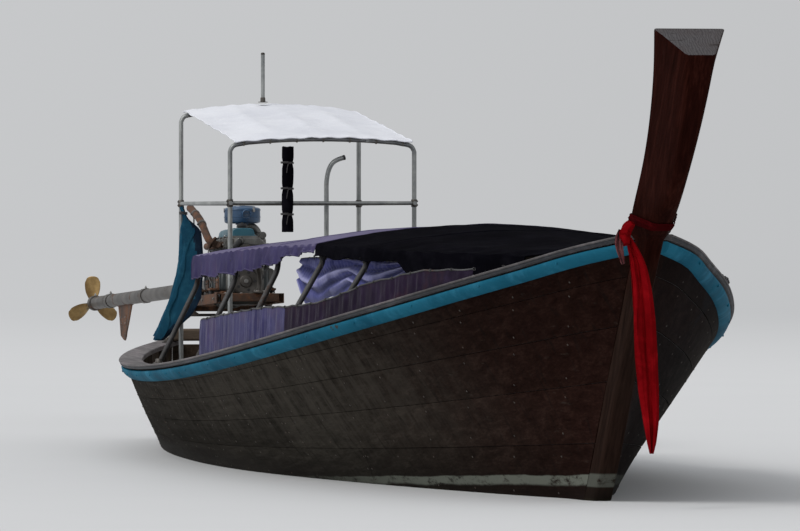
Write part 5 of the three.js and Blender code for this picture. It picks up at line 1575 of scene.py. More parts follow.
def curtain():
    """Curtain bunched up along its rail: two swags with soft rolled folds and a gathered heading; each point's fold
    value paints light on the ridges and shade in the hollows.
    """
    ct = np.array(CURTAIN)
    ts = np.linspace(2.30, 4.54, 340)
    nv = 44
    rows, ridge = [], []
    for t in ts:
        y, top, foot, yf = [steady(ct[:, 0], ct[:, k], t) for k in (1, 2, 3, 4)]
        # each swag hangs between two ties and sags in the middle
        lo, hi = (2.30, 3.28) if t < 3.28 else (3.28, 4.54)
        u = (t - lo) / (hi - lo)
        sagging = math.sin(math.pi * u)
        row = []
        for k in range(nv + 1):
            g = k / nv
            z = lerp(top, foot, g)
            yc = lerp(y, yf, g) - 0.018
            # fine gathers at the heading give way to folds that follow the swag
            head = 0.0060 * math.sin(2 * math.pi * t / 0.060 + 2 * fbm((t * 4, 1, 1))) * math.exp(-g * 4.0)
            v = g + 0.42 * (1 - sagging) * g + 0.10 * fbm((t * 0.9, g * 0.6, 5)) + 0.05 * math.sin(t * 4.1)
            a = math.sin(2 * math.pi * (v * 2.1 + 0.16))
            b = math.sin(2 * math.pi * (v * 4.6 + 0.7 * u) + 1.2 * fbm((t * 1.6, g, 8)))
            body = math.sin(math.pi * min(1.0, 0.08 + g * 0.94)) ** 0.8
            deep = (0.017 * a + 0.005 * b) * body
            roll = 0.014 * smooth((g - 0.80) / 0.20)
            yy = yc + head + deep * 0.82 - roll * 0.5 + 0.010 * body
            zz = z + 0.006 * math.sin(2 * math.pi * t / 0.53 + 1) * g
            row.append(V((X(t), -yy, zz)))
            # fold value that drives the painted light on ridges and painted shade in hollows
            ridge.append(0.5 + 0.42 * a * body + 0.12 * b * body + 0.15 * fbm((t * 5, g * 4, 2)))
        rows.append(row)
    m = Mesh()
    rail = [V((X(t), -(steady(ct[:, 0], ct[:, 1], t) - 0.016), steady(ct[:, 0], ct[:, 2], t) + 0.0005)) for t in np.linspace(2.30, 4.54, 40)]
    m.tube(rail, 0.005, 8)
    for i in range(2, 38, 3):
        c = rail[i]
        m.tube([c + V((0.002 * a / 12, math.cos(2 * math.pi * a / 12) * 0.009, math.sin(2 * math.pi * a / 12) * 0.009 - 0.004)) for a in range(13)], 0.0017, 6)
    piece("curtain_rail", m, M_HOOP, smooth_angle=60)
    cloth_sheet("bunched_curtain", rows, M_LILAC, thick=0.0016, replaces=["gathered_curtain"], attr=ridge)


curtain()

# ---------------------------------------------------------------- helm roof
ROOF = table([(8.14, 0.525, 1.836, 1.864), (9.02, 0.525, 1.941, 1.981), (9.89, 0.525, 2.040, 2.084)], "twec")
RHALF = 0.548
RPIPE = 0.0138
RDROP = 0.008 + 0.017 + 0.003 - (0.017 - RPIPE)


def roof_z(t):
    return lerp(1.836, 2.040, (t - 8.14) / 1.75)


def roof_crown(t):
    return lerp(0.028, 0.044, (t - 8.14) / 1.75)


def roof_rows():
    rows = []
    fs = np.linspace(-1, 1, 45)
    for t in np.linspace(8.14, 9.89, 64):
        r = ROOF(t)
        a = math.sin(math.pi * min(1, max(0, (t - 8.19) / 1.65)))
        end = min(t - 8.14, 9.89 - t)
        row = []
        for f in fs:
            z = lerp(r["c"], r["e"], f * f)
            b = abs(math.sin(math.pi * f * 2)) if abs(f) < 0.5 else abs(math.sin(math.pi * (abs(f) - 0.5) * 2))
            z -= 0.011 * a * b + 0.002
            z += 0.0035 * fbm((t * 4.2, f * 2.4, 3.3)) - 0.0015
            z += 0.0030 * math.sin(f * 26 + 2 * fbm((t * 3, f * 2, 1))) * math.exp(-end * 9)
            z += 0.0025 * math.sin(t * 24) * max(0, abs(f) - 0.8) / 0.2
            if end < 0.02:
                z -= 0.006 * (1 - end / 0.02)
            y = f * (r["w"] - 0.003 * abs(math.sin(t * 8.5)) * (1 if abs(f) > 0.98 else 0))
            row.append(V((X(t) + (0.004 * math.sin(f * 9) if end < 0.001 else 0), y, z - 0.001)))
        rows.append(row)
    return rows


rr = roof_rows()
edge_cord("roof_sheet_hems", [[r[0] for r in rr], [r[-1] for r in rr], rr[0], rr[-1]], 0.0042, M_WHITE)
cloth_sheet("helm_roof_cover", rr, M_WHITE, thick=0.002, replaces=["helm_roof_sheet"])


def helm_frame():
    m = Mesh()
    for t, base in ((8.19, 0.290 - 0.032 - 0.120), (9.84, 0.3604)):
        z = roof_z(t)
        half = [V((X(t), RHALF, base)), V((X(t), RHALF, z - 0.072)), V((X(t), RHALF - 0.018, z - 0.040)), V((X(t), RHALF - 0.060, z - RDROP - 0.002))]
        over = [V((X(t), f * 0.525, lerp(z + roof_crown(t), z, f * f) - RDROP - 0.002)) for f in np.linspace(0.84, -0.84, 15)]
        mirror = [V((p.x, -p.y, p.z)) for p in reversed(half)]
        path = half[:1] + curve(half[1:] + over[:1], 0.012)[:-1] + over + curve(over[-1:] + mirror[:-1], 0.012)[1:] + mirror[-1:]
        m.tube(path, RPIPE, 16, mat=0)
        for s in (-1, 1):
            flange(m, X(t), s * RHALF, base, 0.0, r=0.042)
    for s in (-1, 1):
        m.tube([V((X(8.16), s * RHALF, 1.470)), V((X(9.87), s * RHALF, 1.470))], 0.0115, 14, mat=0)
        z0, z1 = roof_z(8.19) + 0.75 * roof_crown(8.19) - RDROP - 0.002, roof_z(9.84) + 0.75 * roof_crown(9.84) - RDROP - 0.002
        m.tube([V((X(8.16), s * 0.2625, z0)), V((X(9.87), s * 0.2625, z1))], 0.0110, 14, mat=0)
        for t in (8.19, 9.84):
            c = V((X(t), s * RHALF, 1.470))
            m.lathe([(-0.022, 0.0160), (-0.020, 0.0180), (0.020, 0.0180), (0.022, 0.0160)], c, (0, 0, 1), 16, mat=1)
            m.hexbolt(c + V((0, s * 0.0180, 0.011)), (0, s, 0), 0.0045, 0.004, mat=1)
            m.hexbolt(c + V((0, s * 0.0180, -0.011)), (0, s, 0), 0.0045, 0.004, mat=1)
    for t in (8.19, 9.84):
        m.tube([V((X(t), -RHALF, 1.470)), V((X(t), RHALF, 1.470))], 0.0115, 14, mat=0)
    return piece("helm_frame_pipes", m, [M_PIPE, M_STEEL], replaces=["helm_roof_frame"], smooth_angle=45)


helm_frame()


def roof_lashings():
    m = Mesh()
    for t in (8.19, 9.84):
        z = roof_z(t)
        for f in (-0.9, -0.6, -0.3, 0.0, 0.3, 0.6, 0.9):
            c = V((X(t), f * 0.525, lerp(z + roof_crown(t), z, f * f) - RDROP - 0.002))
            for k in range(2):
                pts = [c + V((math.cos(2 * math.pi * a / 16) * (RPIPE + 0.0025), 0.005 * k + 0.004 * a / 16, math.sin(2 * math.pi * a / 16) * (RPIPE + 0.0025))) for a in range(17)]
                m.tube(pts, 0.0022, 6)
    return piece("roof_lashings", m, M_ROPE, smooth_angle=60)


roof_lashings()


def poles():
    m = Mesh()
    z0 = 2.084
    m.tube([V((X(9.78), -0.056, z0 - 0.002)), V((X(9.78), -0.056, 2.372))], 0.0118, 14, mat=0)
    m.lathe([(0, 0.0125), (0.004, 0.0130), (0.010, 0.011), (0.0128, 0.006)], (X(9.78), -0.056, 2.372), (0, 0, 1), 16, mat=1)
    m.lathe([(0, 0.030), (0.003, 0.030), (0.005, 0.016), (0.028, 0.0148), (0.030, 0.0125)], (X(9.78), -0.056, z0 - 0.001), (0, 0, 1), 16, mat=1)
    return piece("roof_mast", m, [M_PIPE, M_STEEL], replaces=["roof_pole"], smooth_angle=45)


poles()


def grab():
    m = Mesh()
    base = 0.290 - 0.032 - 0.120
    path = [V((X(8.22), 0.030, base)), V((X(8.22), 0.030, 1.48))] + curve([V((X(8.22), 0.030, 1.52)), V((X(8.22), 0.030, 1.58)), V((X(8.22), 0.040, 1.65)), V((X(8.22), 0.068, 1.705)), V((X(8.22), 0.140, 1.738))], 0.012)
    m.tube(path, 0.0138, 14, mat=0)
    m.lathe([(0, 0.0138), (0.004, 0.0150), (0.012, 0.0150), (0.014, 0.012)], path[-1] - (path[-1] - path[-2]).normalized() * 0.012, (path[-1] - path[-2]), 14, mat=1)
    flange(m, X(8.22), 0.030, base, 0.0, r=0.034)
    return piece("bent_grab_pole", m, [M_PIPE, M_RUBBER], replaces=["grab_pole"], smooth_angle=45)


grab()


def rolled_curtain():
    """Dark side curtain rolled up and tied, hung from the roof frame's front."""
    m = Mesh()
    cx, cy = X(8.12) + 0.04, -0.230
    zs = np.linspace(1.302, 1.798, 60)
    turns, n = 2.6, 120
    rows = []
    for z in zs:
        pinch = 1.0 - 0.16 * sum(math.exp(-((z - q) / 0.022) ** 2) for q in (1.40, 1.55, 1.70))
        row = []
        for k in range(n + 1):
            a = turns * 2 * math.pi * k / n
            r = (0.010 + 0.0300 * k / n) * pinch
            r += 0.0014 * math.sin(a * 3 + z * 9) + 0.0012 * fbm((a * 0.8, z * 14, 2))
            row.append(V((cx + r * math.cos(a), cy + r * math.sin(a), z + 0.0015 * math.sin(a * 2))))
        rows.append(row)
    t = Mesh()
    for q in (1.40, 1.55, 1.70):
        for k in range(2):
            t.tube([V((cx + 0.0370 * math.cos(a), cy + 0.0370 * math.sin(a), q + 0.006 * k + 0.004 * a / 6.3)) for a in np.linspace(0, 2 * math.pi, 25)], 0.0028, 6)
        t.tube(curve([V((cx + 0.034, cy, q)), V((cx + 0.041, cy - 0.006, q - 0.02)), V((cx + 0.0385, cy - 0.01, q - 0.055))], 0.008), 0.0024, 6)
    # hangers from the pipe above
    for dy in (-0.02, 0.02):
        t.tube([V((cx, cy + dy * 0.5, 1.79)), V((cx - 0.012, cy + dy, 1.800))], 0.003, 6)
    piece("curtain_roll_ties", t, M_ROPE_DARK, smooth_angle=60)
    cloth_sheet("rolled_curtain", rows, M_BLACK, thick=0.0018, replaces=["rolled_side_curtain"])


rolled_curtain()


# ------------------------------------------------------- hung cloth and sash
HUNG = [
    (1.446, -0.576, -0.522, 9.750, 9.814), (1.300, -0.586, -0.412, 9.750, 9.814), (1.120, -0.598, -0.394, 9.750, 9.814),
    (0.900, -0.638, -0.422, 9.750, 9.814), (0.780, -0.684, -0.502, 9.750, 9.814), (0.640, -0.734, -0.662, 9.750, 9.814),
]


def hung_cloth():
    """Cloth bunched over the helm's side rail: folds fan out below the knot, one tail blown outboard; the deep side of
    each fold takes a darker blue as painted shade.
    """
    h = np.array(HUNG)[::-1]
    zs = np.concatenate([np.linspace(1.452, 1.30, 14), np.linspace(1.285, 0.642, 52)])
    n = 170
    rows, shade_of = [], []
    for z in zs:
        y0, y1, t0, t1 = [float(np.interp(z, h[:, 0], h[:, k])) for k in (1, 2, 3, 4)]
        hang = smooth((1.452 - z) / 0.20)
        neck = 1 - smooth((1.400 - z) / 0.085)
        mid = (y0 + y1) / 2 - 0.006
        y0, y1 = lerp(y0, mid - 0.017, neck), lerp(y1, mid + 0.017, neck)
        loose = smooth((1.25 - z) / 0.5)
        row, tone = [], []
        for k in range(n + 1):
            s = k / n
            folds = 6.0
            ph = 2 * math.pi * folds * s + 1.2 * fbm((s * 3, z * 1.6, 2)) + 0.8 * math.sin(z * 6 + s * 5)
            d = 0.5 + 0.44 * math.sin(ph) * (0.70 + 0.25 * loose)
            d += 0.07 * math.sin(2.7 * ph + z * 9)
            d = min(0.985, max(0.015, d))
            y = lerp(y0 + 0.004, y1 - 0.004, d)
            # how deep in its fold each point lies; the deep side gets the darker blue as painted shade
            tone.append(d + 0.25 * fbm((s * 4, z * 3, 7)))
            x = lerp(X(t1) + 0.003, X(t0) - 0.003, s) + 0.006 * math.cos(ph) * hang
            x = min(X(t0) - 0.002, max(X(t1) + 0.002, x))
            ragged = 0.055 * (0.5 + 0.5 * math.sin(s * 9 + 1)) * max(0.0, (0.80 - z) / 0.16)
            row.append(V((x, y, z + ragged * 0.6)))
        rows.append(row)
        shade_of.append(tone)
    m = Mesh()
    # cord that ties it under the rail
    for k in range(3):
        m.tube([V((X(9.782) + 0.031 * math.cos(a), -0.545 + 0.024 * math.sin(a), 1.404 + 0.006 * k + 0.004 * a / 6.3)) for a in np.linspace(0, 2 * math.pi, 29)], 0.0026, 6)
    piece("hung_cloth_tie", m, M_ROPE_DARK, smooth_angle=60)
    # faces deep in the folds take the darker blue: painted shade in the folds
    cloth_sheet("hung_blue_cloth", rows, None, thick=0.0016, replaces=["blue_cloth"],
                mats=[M_BLUECLOTH, M_BLUE_FOLD_SHADE], faces_mat=lambda i, j: 1 if shade_of[i][j] > 0.62 else 0)


# darker copy of the hung blue cloth, used as painted shade deep in its folds
M_BLUE_FOLD_SHADE = cloth("blue_hung_cloth_fold_shade", (0.016, 0.040, 0.075), (0.008, 0.018, 0.038), (0.035, 0.080, 0.125), pitch=0.0035, axes=("x", "z"), rough=0.85, sheen=0.3, fold=0.4)
hung_cloth()


def post_at(z):
    """Front x of the post or stem at height z."""
    a = np.array(POST)
    f = float(np.interp(z, a[:, 3], a[:, 2]))
    return f


def sash():
    """Satin sash: three wraps round the foot of the post, a flat knot and two tails in front of the stem; the wraps are
    painted darker as shade.
    """
    # wraps: closed loops around the pointed section, leaning with the post
    def loop(zc, out, phase):
        a = np.array(POST[4:])
        s = np.concatenate([[0], np.cumsum(np.linalg.norm(np.diff(a[:, 2:4], axis=0), axis=1))])
        fine = np.array(spline(s, a, np.linspace(0, s[-1], 500)))
        mid = (fine[:, 1] + fine[:, 3]) / 2
        cor = post_ring(tuple(float(np.interp(zc, mid, fine[:, k])) for k in range(6)), -out)
        c = sum(cor, V((0, 0, 0))) / len(cor)
        m = len(cor)
        n = 88
        per = [(cor[(i + 1) % m] - cor[i]).length for i in range(m)]
        tot = sum(per)
        res = []
        for k in range(n):
            d = tot * k / n
            i = 0
            while d > per[i]:
                d -= per[i]
                i += 1
            p = cor[i].lerp(cor[(i + 1) % m], d / per[i])
            w = 0.0012 * math.sin(k * 0.9 + phase * 5) + 0.0010 * fbm((k * 0.21, phase, 3))
            res.append(p + (p - c).normalized() * w)
        return res

    bands = 9
    rows = []
    for b in range(bands):
        z = lerp(1.342, 1.380, b / (bands - 1))
        bulge = 0.0065 + 0.0045 * math.sin(math.pi * b / (bands - 1)) - (0.003 if b in (3, 6) else 0)
        rows.append(loop(z, bulge, b * 0.7))
    rows = [r + [r[0]] for r in rows]
    # the wraps take the darker red: painted shade on the sash where it hugs the post
    band = cloth_sheet("sash_band", rows, M_RED_WRAPS_SHADED, thick=0.002, replaces=["red_sash"])
    # knot: crossed soft lobes
    k = Mesh()
    kc = V((5.812, -0.149, 1.306))

    def lobe(a, b, c, w, flat, turn=0.0, n=22):
        path = curve([a, b, c], 0.006)
        rows = []
        L = len(path)
        for i, p in enumerate(path):
            d = (path[min(L - 1, i + 1)] - path[max(0, i - 1)]).normalized()
            side = d.cross(V((1, 0.25, 0))).normalized()
            nrm = side.cross(d).normalized()
            g = i / (L - 1)
            ww = w * (0.55 + 0.45 * math.sin(math.pi * g))
            ff = flat * (0.75 + 0.25 * math.sin(math.pi * g))
            ring = []
            for q in range(n):
                t = 2 * math.pi * q / n
                rr = 1 + 0.10 * math.sin(5 * t + g * 4 + turn)
                ring.append(p + side * (ww * math.cos(t) * rr) + nrm * (ff * math.sin(t) * rr))
            rows.append(ring)
        k.grid(rows, closed=True)
        k.add(rows[0], [list(range(n))])
        k.add(rows[-1], [list(range(n))[::-1]])

    lobe(kc + V((-0.045, 0.022, 0.052)), kc + V((0.006, -0.004, 0.010)), kc + V((0.034, -0.006, -0.046)), 0.026, 0.020)
    lobe(kc + V((0.045, 0.020, 0.052)), kc + V((0.012, -0.010, 0.000)), kc + V((-0.030, -0.002, -0.048)), 0.024, 0.019, 1.0)
    lobe(kc + V((-0.036, -0.002, 0.006)), kc + V((0.008, -0.020, 0.006)), kc + V((0.046, 0.000, 0.010)), 0.020, 0.016, 2.0)
    ob = piece("sash_knot", k, M_RED, smooth_angle=70)

    # tails
    def tail(name, mat, pts, widths, seed, nacross=22, n=110, wide=0.16, twist=0.0, fold=0.010):
        path = curve([V(p[:3]) for p in pts], 0.010)
        L = len(path)
        s = np.linspace(0, 1, L)
        ws = np.interp(s, [q[0] for q in widths], [q[1] for q in widths])
        rows = []
        for i, p in enumerate(path):
            d = (path[min(L - 1, i + 1)] - path[max(0, i - 1)]).normalized()
            a = twist * s[i]
            across = V((0.22 * math.cos(a), math.cos(a), math.sin(a) * 0.5)).normalized()
            across = (across - d * across.dot(d)).normalized()
            nrm = across.cross(d).normalized()
            row = []
            for q in range(nacross + 1):
                f = q / nacross * 2 - 1
                ph = f * 5.2 + seed + 1.5 * fbm((s[i] * 2.0, seed, f))
                dep = fold * math.sin(ph) * (0.45 + 0.55 * smooth((s[i]) / 0.25)) + 0.003 * math.sin(3.1 * ph + s[i] * 8)
                row.append(p + across * (f * ws[i] / 2) + nrm * dep)
            rows.append(row)
        return cloth_sheet(name, rows, mat, thick=0.0014)

    tail("sash_tail_long", M_RED,
         [(5.836, -0.146, 1.285), (5.844, -0.112, 1.200), (5.849, -0.080, 1.033), (5.851, -0.065, 0.768), (5.851, -0.048, 0.529), (5.850, -0.037, 0.380), (5.850, -0.036, 0.268)],
         [(0, 0.030), (0.07, 0.052), (0.15, 0.074), (0.25, 0.088), (0.40, 0.104), (0.55, 0.108), (0.72, 0.096), (0.86, 0.072), (0.95, 0.044), (1.0, 0.018)], 1.3, wide=0.125)
    tail("sash_tail_short", M_RED,
         [(5.828, -0.142, 1.285), (5.834, -0.112, 1.18), (5.835, -0.090, 1.00), (5.834, -0.076, 0.82), (5.832, -0.070, 0.70)],
         [(0, 0.030), (0.25, 0.060), (0.55, 0.070), (1.0, 0.034)], 4.1, wide=0.1, fold=0.008)
    tail("sash_tail_faded", M_SASHDUST,
         [(5.802, -0.172, 1.325), (5.806, -0.184, 1.290), (5.812, -0.180, 1.225), (5.822, -0.168, 1.165)],
         [(0, 0.026), (0.4, 0.040), (1.0, 0.018)], 2.2, wide=0.07, fold=0.006)


sash()

# ------------------------------------------------------------ stern fittings


def stanchion():
    m = Mesh()
    t = 11.15
    b, zr, top = rail_at(t)
    y = -b + 0.105
    x = X(t)
    slope = math.atan2(rail_at(t - 0.05)[2] - rail_at(t + 0.05)[2], 0.10)
    flange(m, x, y, top + 0.0004, slope, r=0.036, mat=1)
    m.lathe([(0.0, 0.0142), (0.78 - top - 0.02, 0.0136), (0.785 - top - 0.01, 0.0125), (0.788 - top, 0.006)], (x, y, top + 0.004), (0, 0, 1), 16, mat=0)
    for z in (0.70, 0.62):
        for k in range(3):
            m.tube([V((x + 0.0165 * math.cos(a), y + 0.0165 * math.sin(a), z + 0.0055 * k + 0.004 * a / 6.3)) for a in np.linspace(0, 2 * math.pi, 19)], 0.0025, 6, mat=2)
    return piece("stern_post_white", m, [M_WHITEP, M_STEEL, M_ROPE], replaces=["stern_stanchion"], smooth_angle=45)


stanchion()


def can():
    """Blow-moulded fuel can: pinched body, moulded handle, ribs and a screw cap."""
    m = Mesh()
    z0 = 0.3604
    x0, x1, y0, y1 = X(10.70), X(10.35), 0.21, 0.43
    cx, cy = (x0 + x1) / 2, (y0 + y1) / 2
    prof = [(0.000, 0.90), (0.006, 0.965), (0.018, 1.0), (0.050, 1.0), (0.056, 0.982), (0.064, 0.982), (0.070, 1.0), (0.110, 1.0), (0.116, 0.982), (0.124, 0.982), (0.130, 1.0), (0.160, 1.0), (0.176, 0.975), (0.186, 0.92), (0.190, 0.84)]
    rows = []
    n = 56
    for z, k in prof:
        row = []
        for q in range(n):
            a = 2 * math.pi * q / n
            c, s = math.cos(a), math.sin(a)
            e = 0.28
            sx = math.copysign(abs(c) ** e, c) * (x1 - x0) / 2 * k
            sy = math.copysign(abs(s) ** e, s) * (y1 - y0) / 2 * k
            row.append(V((cx + sx, cy + sy, z0 + z)))
        rows.append(row)
    m.grid(rows, closed=True)
    m.add(rows[0], [list(range(n))])
    m.add(rows[-1], [list(range(n))[::-1]])
    h = rounded([V((X(10.62), cy, z0 + 0.180)), V((X(10.615), cy, z0 + 0.206)), V((X(10.47), cy, z0 + 0.206)), V((X(10.44), cy, z0 + 0.182))], 0.02, 5)
    m.tube(h, 0.0125, 12)
    m.lathe([(0.180, 0.034), (0.192, 0.032), (0.194, 0.027), (0.210, 0.026)], (X(10.395), 0.32, z0), (0, 0, 1), 24)
    cap_p = [(0.207, 0.030)] + [(0.210 + 0.002 * q, 0.0305) for q in range(9)] + [(0.232, 0.028), (0.234, 0.020)]
    m.lathe(cap_p, (X(10.395), 0.32, z0), (0, 0, 1), 28, mat=1)
    for q in range(24):
        a = 2 * math.pi * q / 24
        m.block((X(10.395) + 0.0308 * math.cos(a) - 0.001, 0.32 + 0.0308 * math.sin(a) - 0.001, z0 + 0.209), (X(10.395) + 0.0308 * math.cos(a) + 0.001, 0.32 + 0.0308 * math.sin(a) + 0.001, z0 + 0.228), 0.0005, mat=1)
    return piece("fuel_can_moulded", m, [M_WHITEP, M_RUBBER], replaces=["fuel_can"], smooth_angle=50)


can()


def swivel_post():
    m = Mesh()
    zt = 0.690
    m.block((-5.625, -0.110, zt + 0.0004), (-5.475, 0.110, zt + 0.014), 0.003)
    for s in (-1, 1):
        for dx in (-0.052, 0.052):
            m.hexbolt((-5.55 + dx, s * 0.088, zt + 0.014), (0, 0, 1), 0.009, 0.008, mat=1)
    m.lathe([(0.014, 0.040), (0.018, 0.036), (0.0205, 0.030), (0.082, 0.030), (0.084, 0.028)], (-5.55, 0, zt), (0, 0, 1), 28)
    return piece("swivel_base", m, [M_STEEL, M_RUST], replaces=["swivel_post"], smooth_angle=40)


swivel_post()


def yoke():
    """Forked swivel: turned socket on the king pin, a gusseted plate and two bored arms."""
    m = Mesh()
    px, pz = -5.55, 0.850
    m.lathe([(0.0, 0.034), (0.0, 0.049), (0.003, 0.050), (0.058, 0.050), (0.060, 0.049), (0.060, 0.034)], (px, 0, 0.710), (0, 0, 1), 32)
    m.lathe([(0.052, 0.0525), (0.056, 0.056), (0.060, 0.056)], (px, 0, 0.710), (0, 0, 1), 32)
    m.block((px - 0.060, -0.278, 0.768), (px + 0.060, 0.278, 0.784), 0.003)
    for s in (-1, 1):
        y0, y1 = (s * 0.250, s * 0.278) if s > 0 else (s * 0.278, s * 0.250)
        # arm with a round bored head
        n = 28
        outer, inner = [], []
        for k in range(n):
            a = 2 * math.pi * k / n
            r = 0.0425
            outer.append((px + r * math.cos(a), pz + r * math.sin(a)))
            inner.append((px + 0.0215 * math.cos(a), pz + 0.0215 * math.sin(a)))
        # blend the head into a straight-sided arm below
        shape = []
        for k in range(n):
            a = 2 * math.pi * k / n
            ox, oz = outer[k]
            if math.sin(a) < 0:
                f = -math.sin(a)
                oz = lerp(oz, 0.776, smooth(f))
                ox = px + math.copysign(lerp(abs(ox - px), 0.056, smooth(min(1, f * 1.4))), ox - px) if abs(ox - px) > 1e-6 else ox
            shape.append((ox, oz))
        rows = []
        for (lst, y) in ((inner, y0), (shape, y0 + 0.0015), (shape, y1 - 0.0015), (inner, y1)):
            rows.append([V((q[0], y, q[1])) for q in lst])
        m.grid([rows[0], rows[1], rows[2], rows[3]], closed=True, loop=True)
        # bush
        m.lathe([(-0.0155, 0.0268), (-0.0145, 0.0280), (0.0145, 0.0280), (0.0155, 0.0268), (0.0155, 0.0212), (-0.0155, 0.0212), (-0.0155, 0.0268)], (px, (y0 + y1) / 2, pz), (0, 1, 0), 28, mat=1)
        # gussets
        for dx in (-0.045, 0.038):
            pts = [V((px + dx, s * 0.250, 0.784)), V((px + dx + 0.007, s * 0.250, 0.784)), V((px + dx + 0.007, s * 0.185, 0.784)), V((px + dx, s * 0.185, 0.784)), V((px + dx, s * 0.250, 0.830)), V((px + dx + 0.007, s * 0.250, 0.830))]
            m.add(pts, [[0, 1, 2, 3], [0, 4, 5, 1], [3, 2, 5, 4], [0, 3, 4], [1, 5, 2]])
        m.lathe([(0, 0.006), (0.010, 0.005), (0.016, 0.004)], (px, s * 0.264, pz + 0.0415), (0, 0, 1), 10, mat=1)
    return piece("swivel_fork", m, [M_STEEL, M_BRIGHT], body="swivel", replaces=["swivel_yoke"], smooth_angle=35)


yoke()


# ---------------------------------------------------------- engine and tail
# Drawn on the tilt axis (metres), then tipped with the shaft line.
DRIVE = Matrix.Translation(V((-5.550, 0, 0.850))) @ Matrix.Rotation(math.radians(-2), 4, "Y")
SH = 0.120


def drive_piece(name, m, mats, replaces=(), body="drive", angle=38, attr=False):
    m.v = [tuple(DRIVE @ V(p)) for p in m.v]
    return piece(name, m, mats, body=body, replaces=replaces, smooth_angle=angle, attr=attr)


def weld_bead(m, at, axis, r, bead=0.004, n=40, mat=None, seed=0):
    """Rippled ring of weld around axis."""
    axis = V(axis).normalized()
    up = V((0, 0, 1)) if abs(axis.z) < 0.9 else V((1, 0, 0))
    up = (up - axis * up.dot(axis)).normalized()
    side = axis.cross(up)
    rows = []
    for k in range(n):
        a = 2 * math.pi * k / n
        c = V(at) + (up * math.cos(a) + side * math.sin(a)) * r
        o = (up * math.cos(a) + side * math.sin(a))
        q = bead * (0.85 + 0.3 * ((k * 7 + seed) % 3) / 2)
        rows.append([c + o * (q * math.cos(b)) + axis * (q * 1.3 * math.sin(b)) for b in (0, 1.05, 2.1, 3.14, 4.2, 5.25)])
    m.grid(rows, closed=True, loop=True, mat=mat)


def cradle():
    m = Mesh()
    for s in (-1, 1):
        y = s * 0.196
        w, t = 0.016, 0.0055
        # channel section, open inboard
        prof = [(y + s * w, -0.018), (y + s * w, 0.042), (y - s * w, 0.042), (y - s * w, 0.042 - t), (y + s * (w - t), 0.042 - t), (y + s * (w - t), -0.018 + t), (y - s * w, -0.018 + t), (y - s * w, -0.018)]
        xs = [-0.720, -0.712] + list(np.linspace(-0.6, 0.7, 14)) + [0.792, 0.800]
        rows = [[V((x, a, b)) for a, b in prof] for x in xs]
        m.grid(rows, closed=True)
        m.add(rows[0], [list(range(8))])
        m.add(rows[-1], [list(range(8))[::-1]])
        # pivot boss with a bright pin
        m.lathe([(-0.006, 0.030), (-0.003, 0.034), (0.010, 0.034), (0.014, 0.030), (0.016, 0.018)], (0, s * (0.196 + 0.016), 0), (0, s, 0), 28)
        m.lathe([(0.0, 0.0178), (0.072, 0.0178), (0.076, 0.0150)], (0, s * 0.212, 0), (0, s, 0), 28, mat=1)
        m.lathe([(0.0, 0.0240), (0.002, 0.0255), (0.0035, 0.0240)], (0, s * 0.2795, 0), (0, s, 0), 24, mat=1)
        m.tube([V((0, s * 0.2845, -0.024)), V((0, s * 0.2845, 0.024))], 0.0022, 8, mat=1)
        for x in (-0.68, -0.30, 0.30, 0.70):
            m.hexbolt((x, s * 0.212, 0.012), (0, s, 0), 0.007, 0.006, mat=1)
        for x in (-0.70, -0.06, 0.76):
            weld_bead(m, (x, s * 0.196, 0.012), (0, 1, 0), 0.020, 0.003, 20)
    for x0, x1, z0, z1 in ((-0.720, -0.690, -0.018, 0.042), (0.745, 0.800, -0.008, 0.042)):
        m.block((x0, -0.180, z0), (x1, 0.180, z1), 0.004)
    m.block((-0.060, -0.212, -0.050), (-0.020, 0.212, -0.0175), 0.004)
    # diagonal braces in the plane of the rails
    for s in (-1, 1):
        m.tube([V((-0.700, s * 0.170, 0.012)), V((-0.330, s * 0.176, 0.012))], 0.009, 10)
    m.tube([V((-0.690, -0.165, 0.012)), V((-0.330, 0.165, 0.012))], 0.010, 10)
    # bolts of the plate under the tiller
    for y in (-0.150, -0.050, 0.150):
        m.hexbolt((0.772, y, 0.042), (0, 0, 1), 0.007, 0.006, mat=1)
    return drive_piece("cradle_frame", m, [M_RUST, M_BRIGHT], ["engine_cradle"])


cradle()


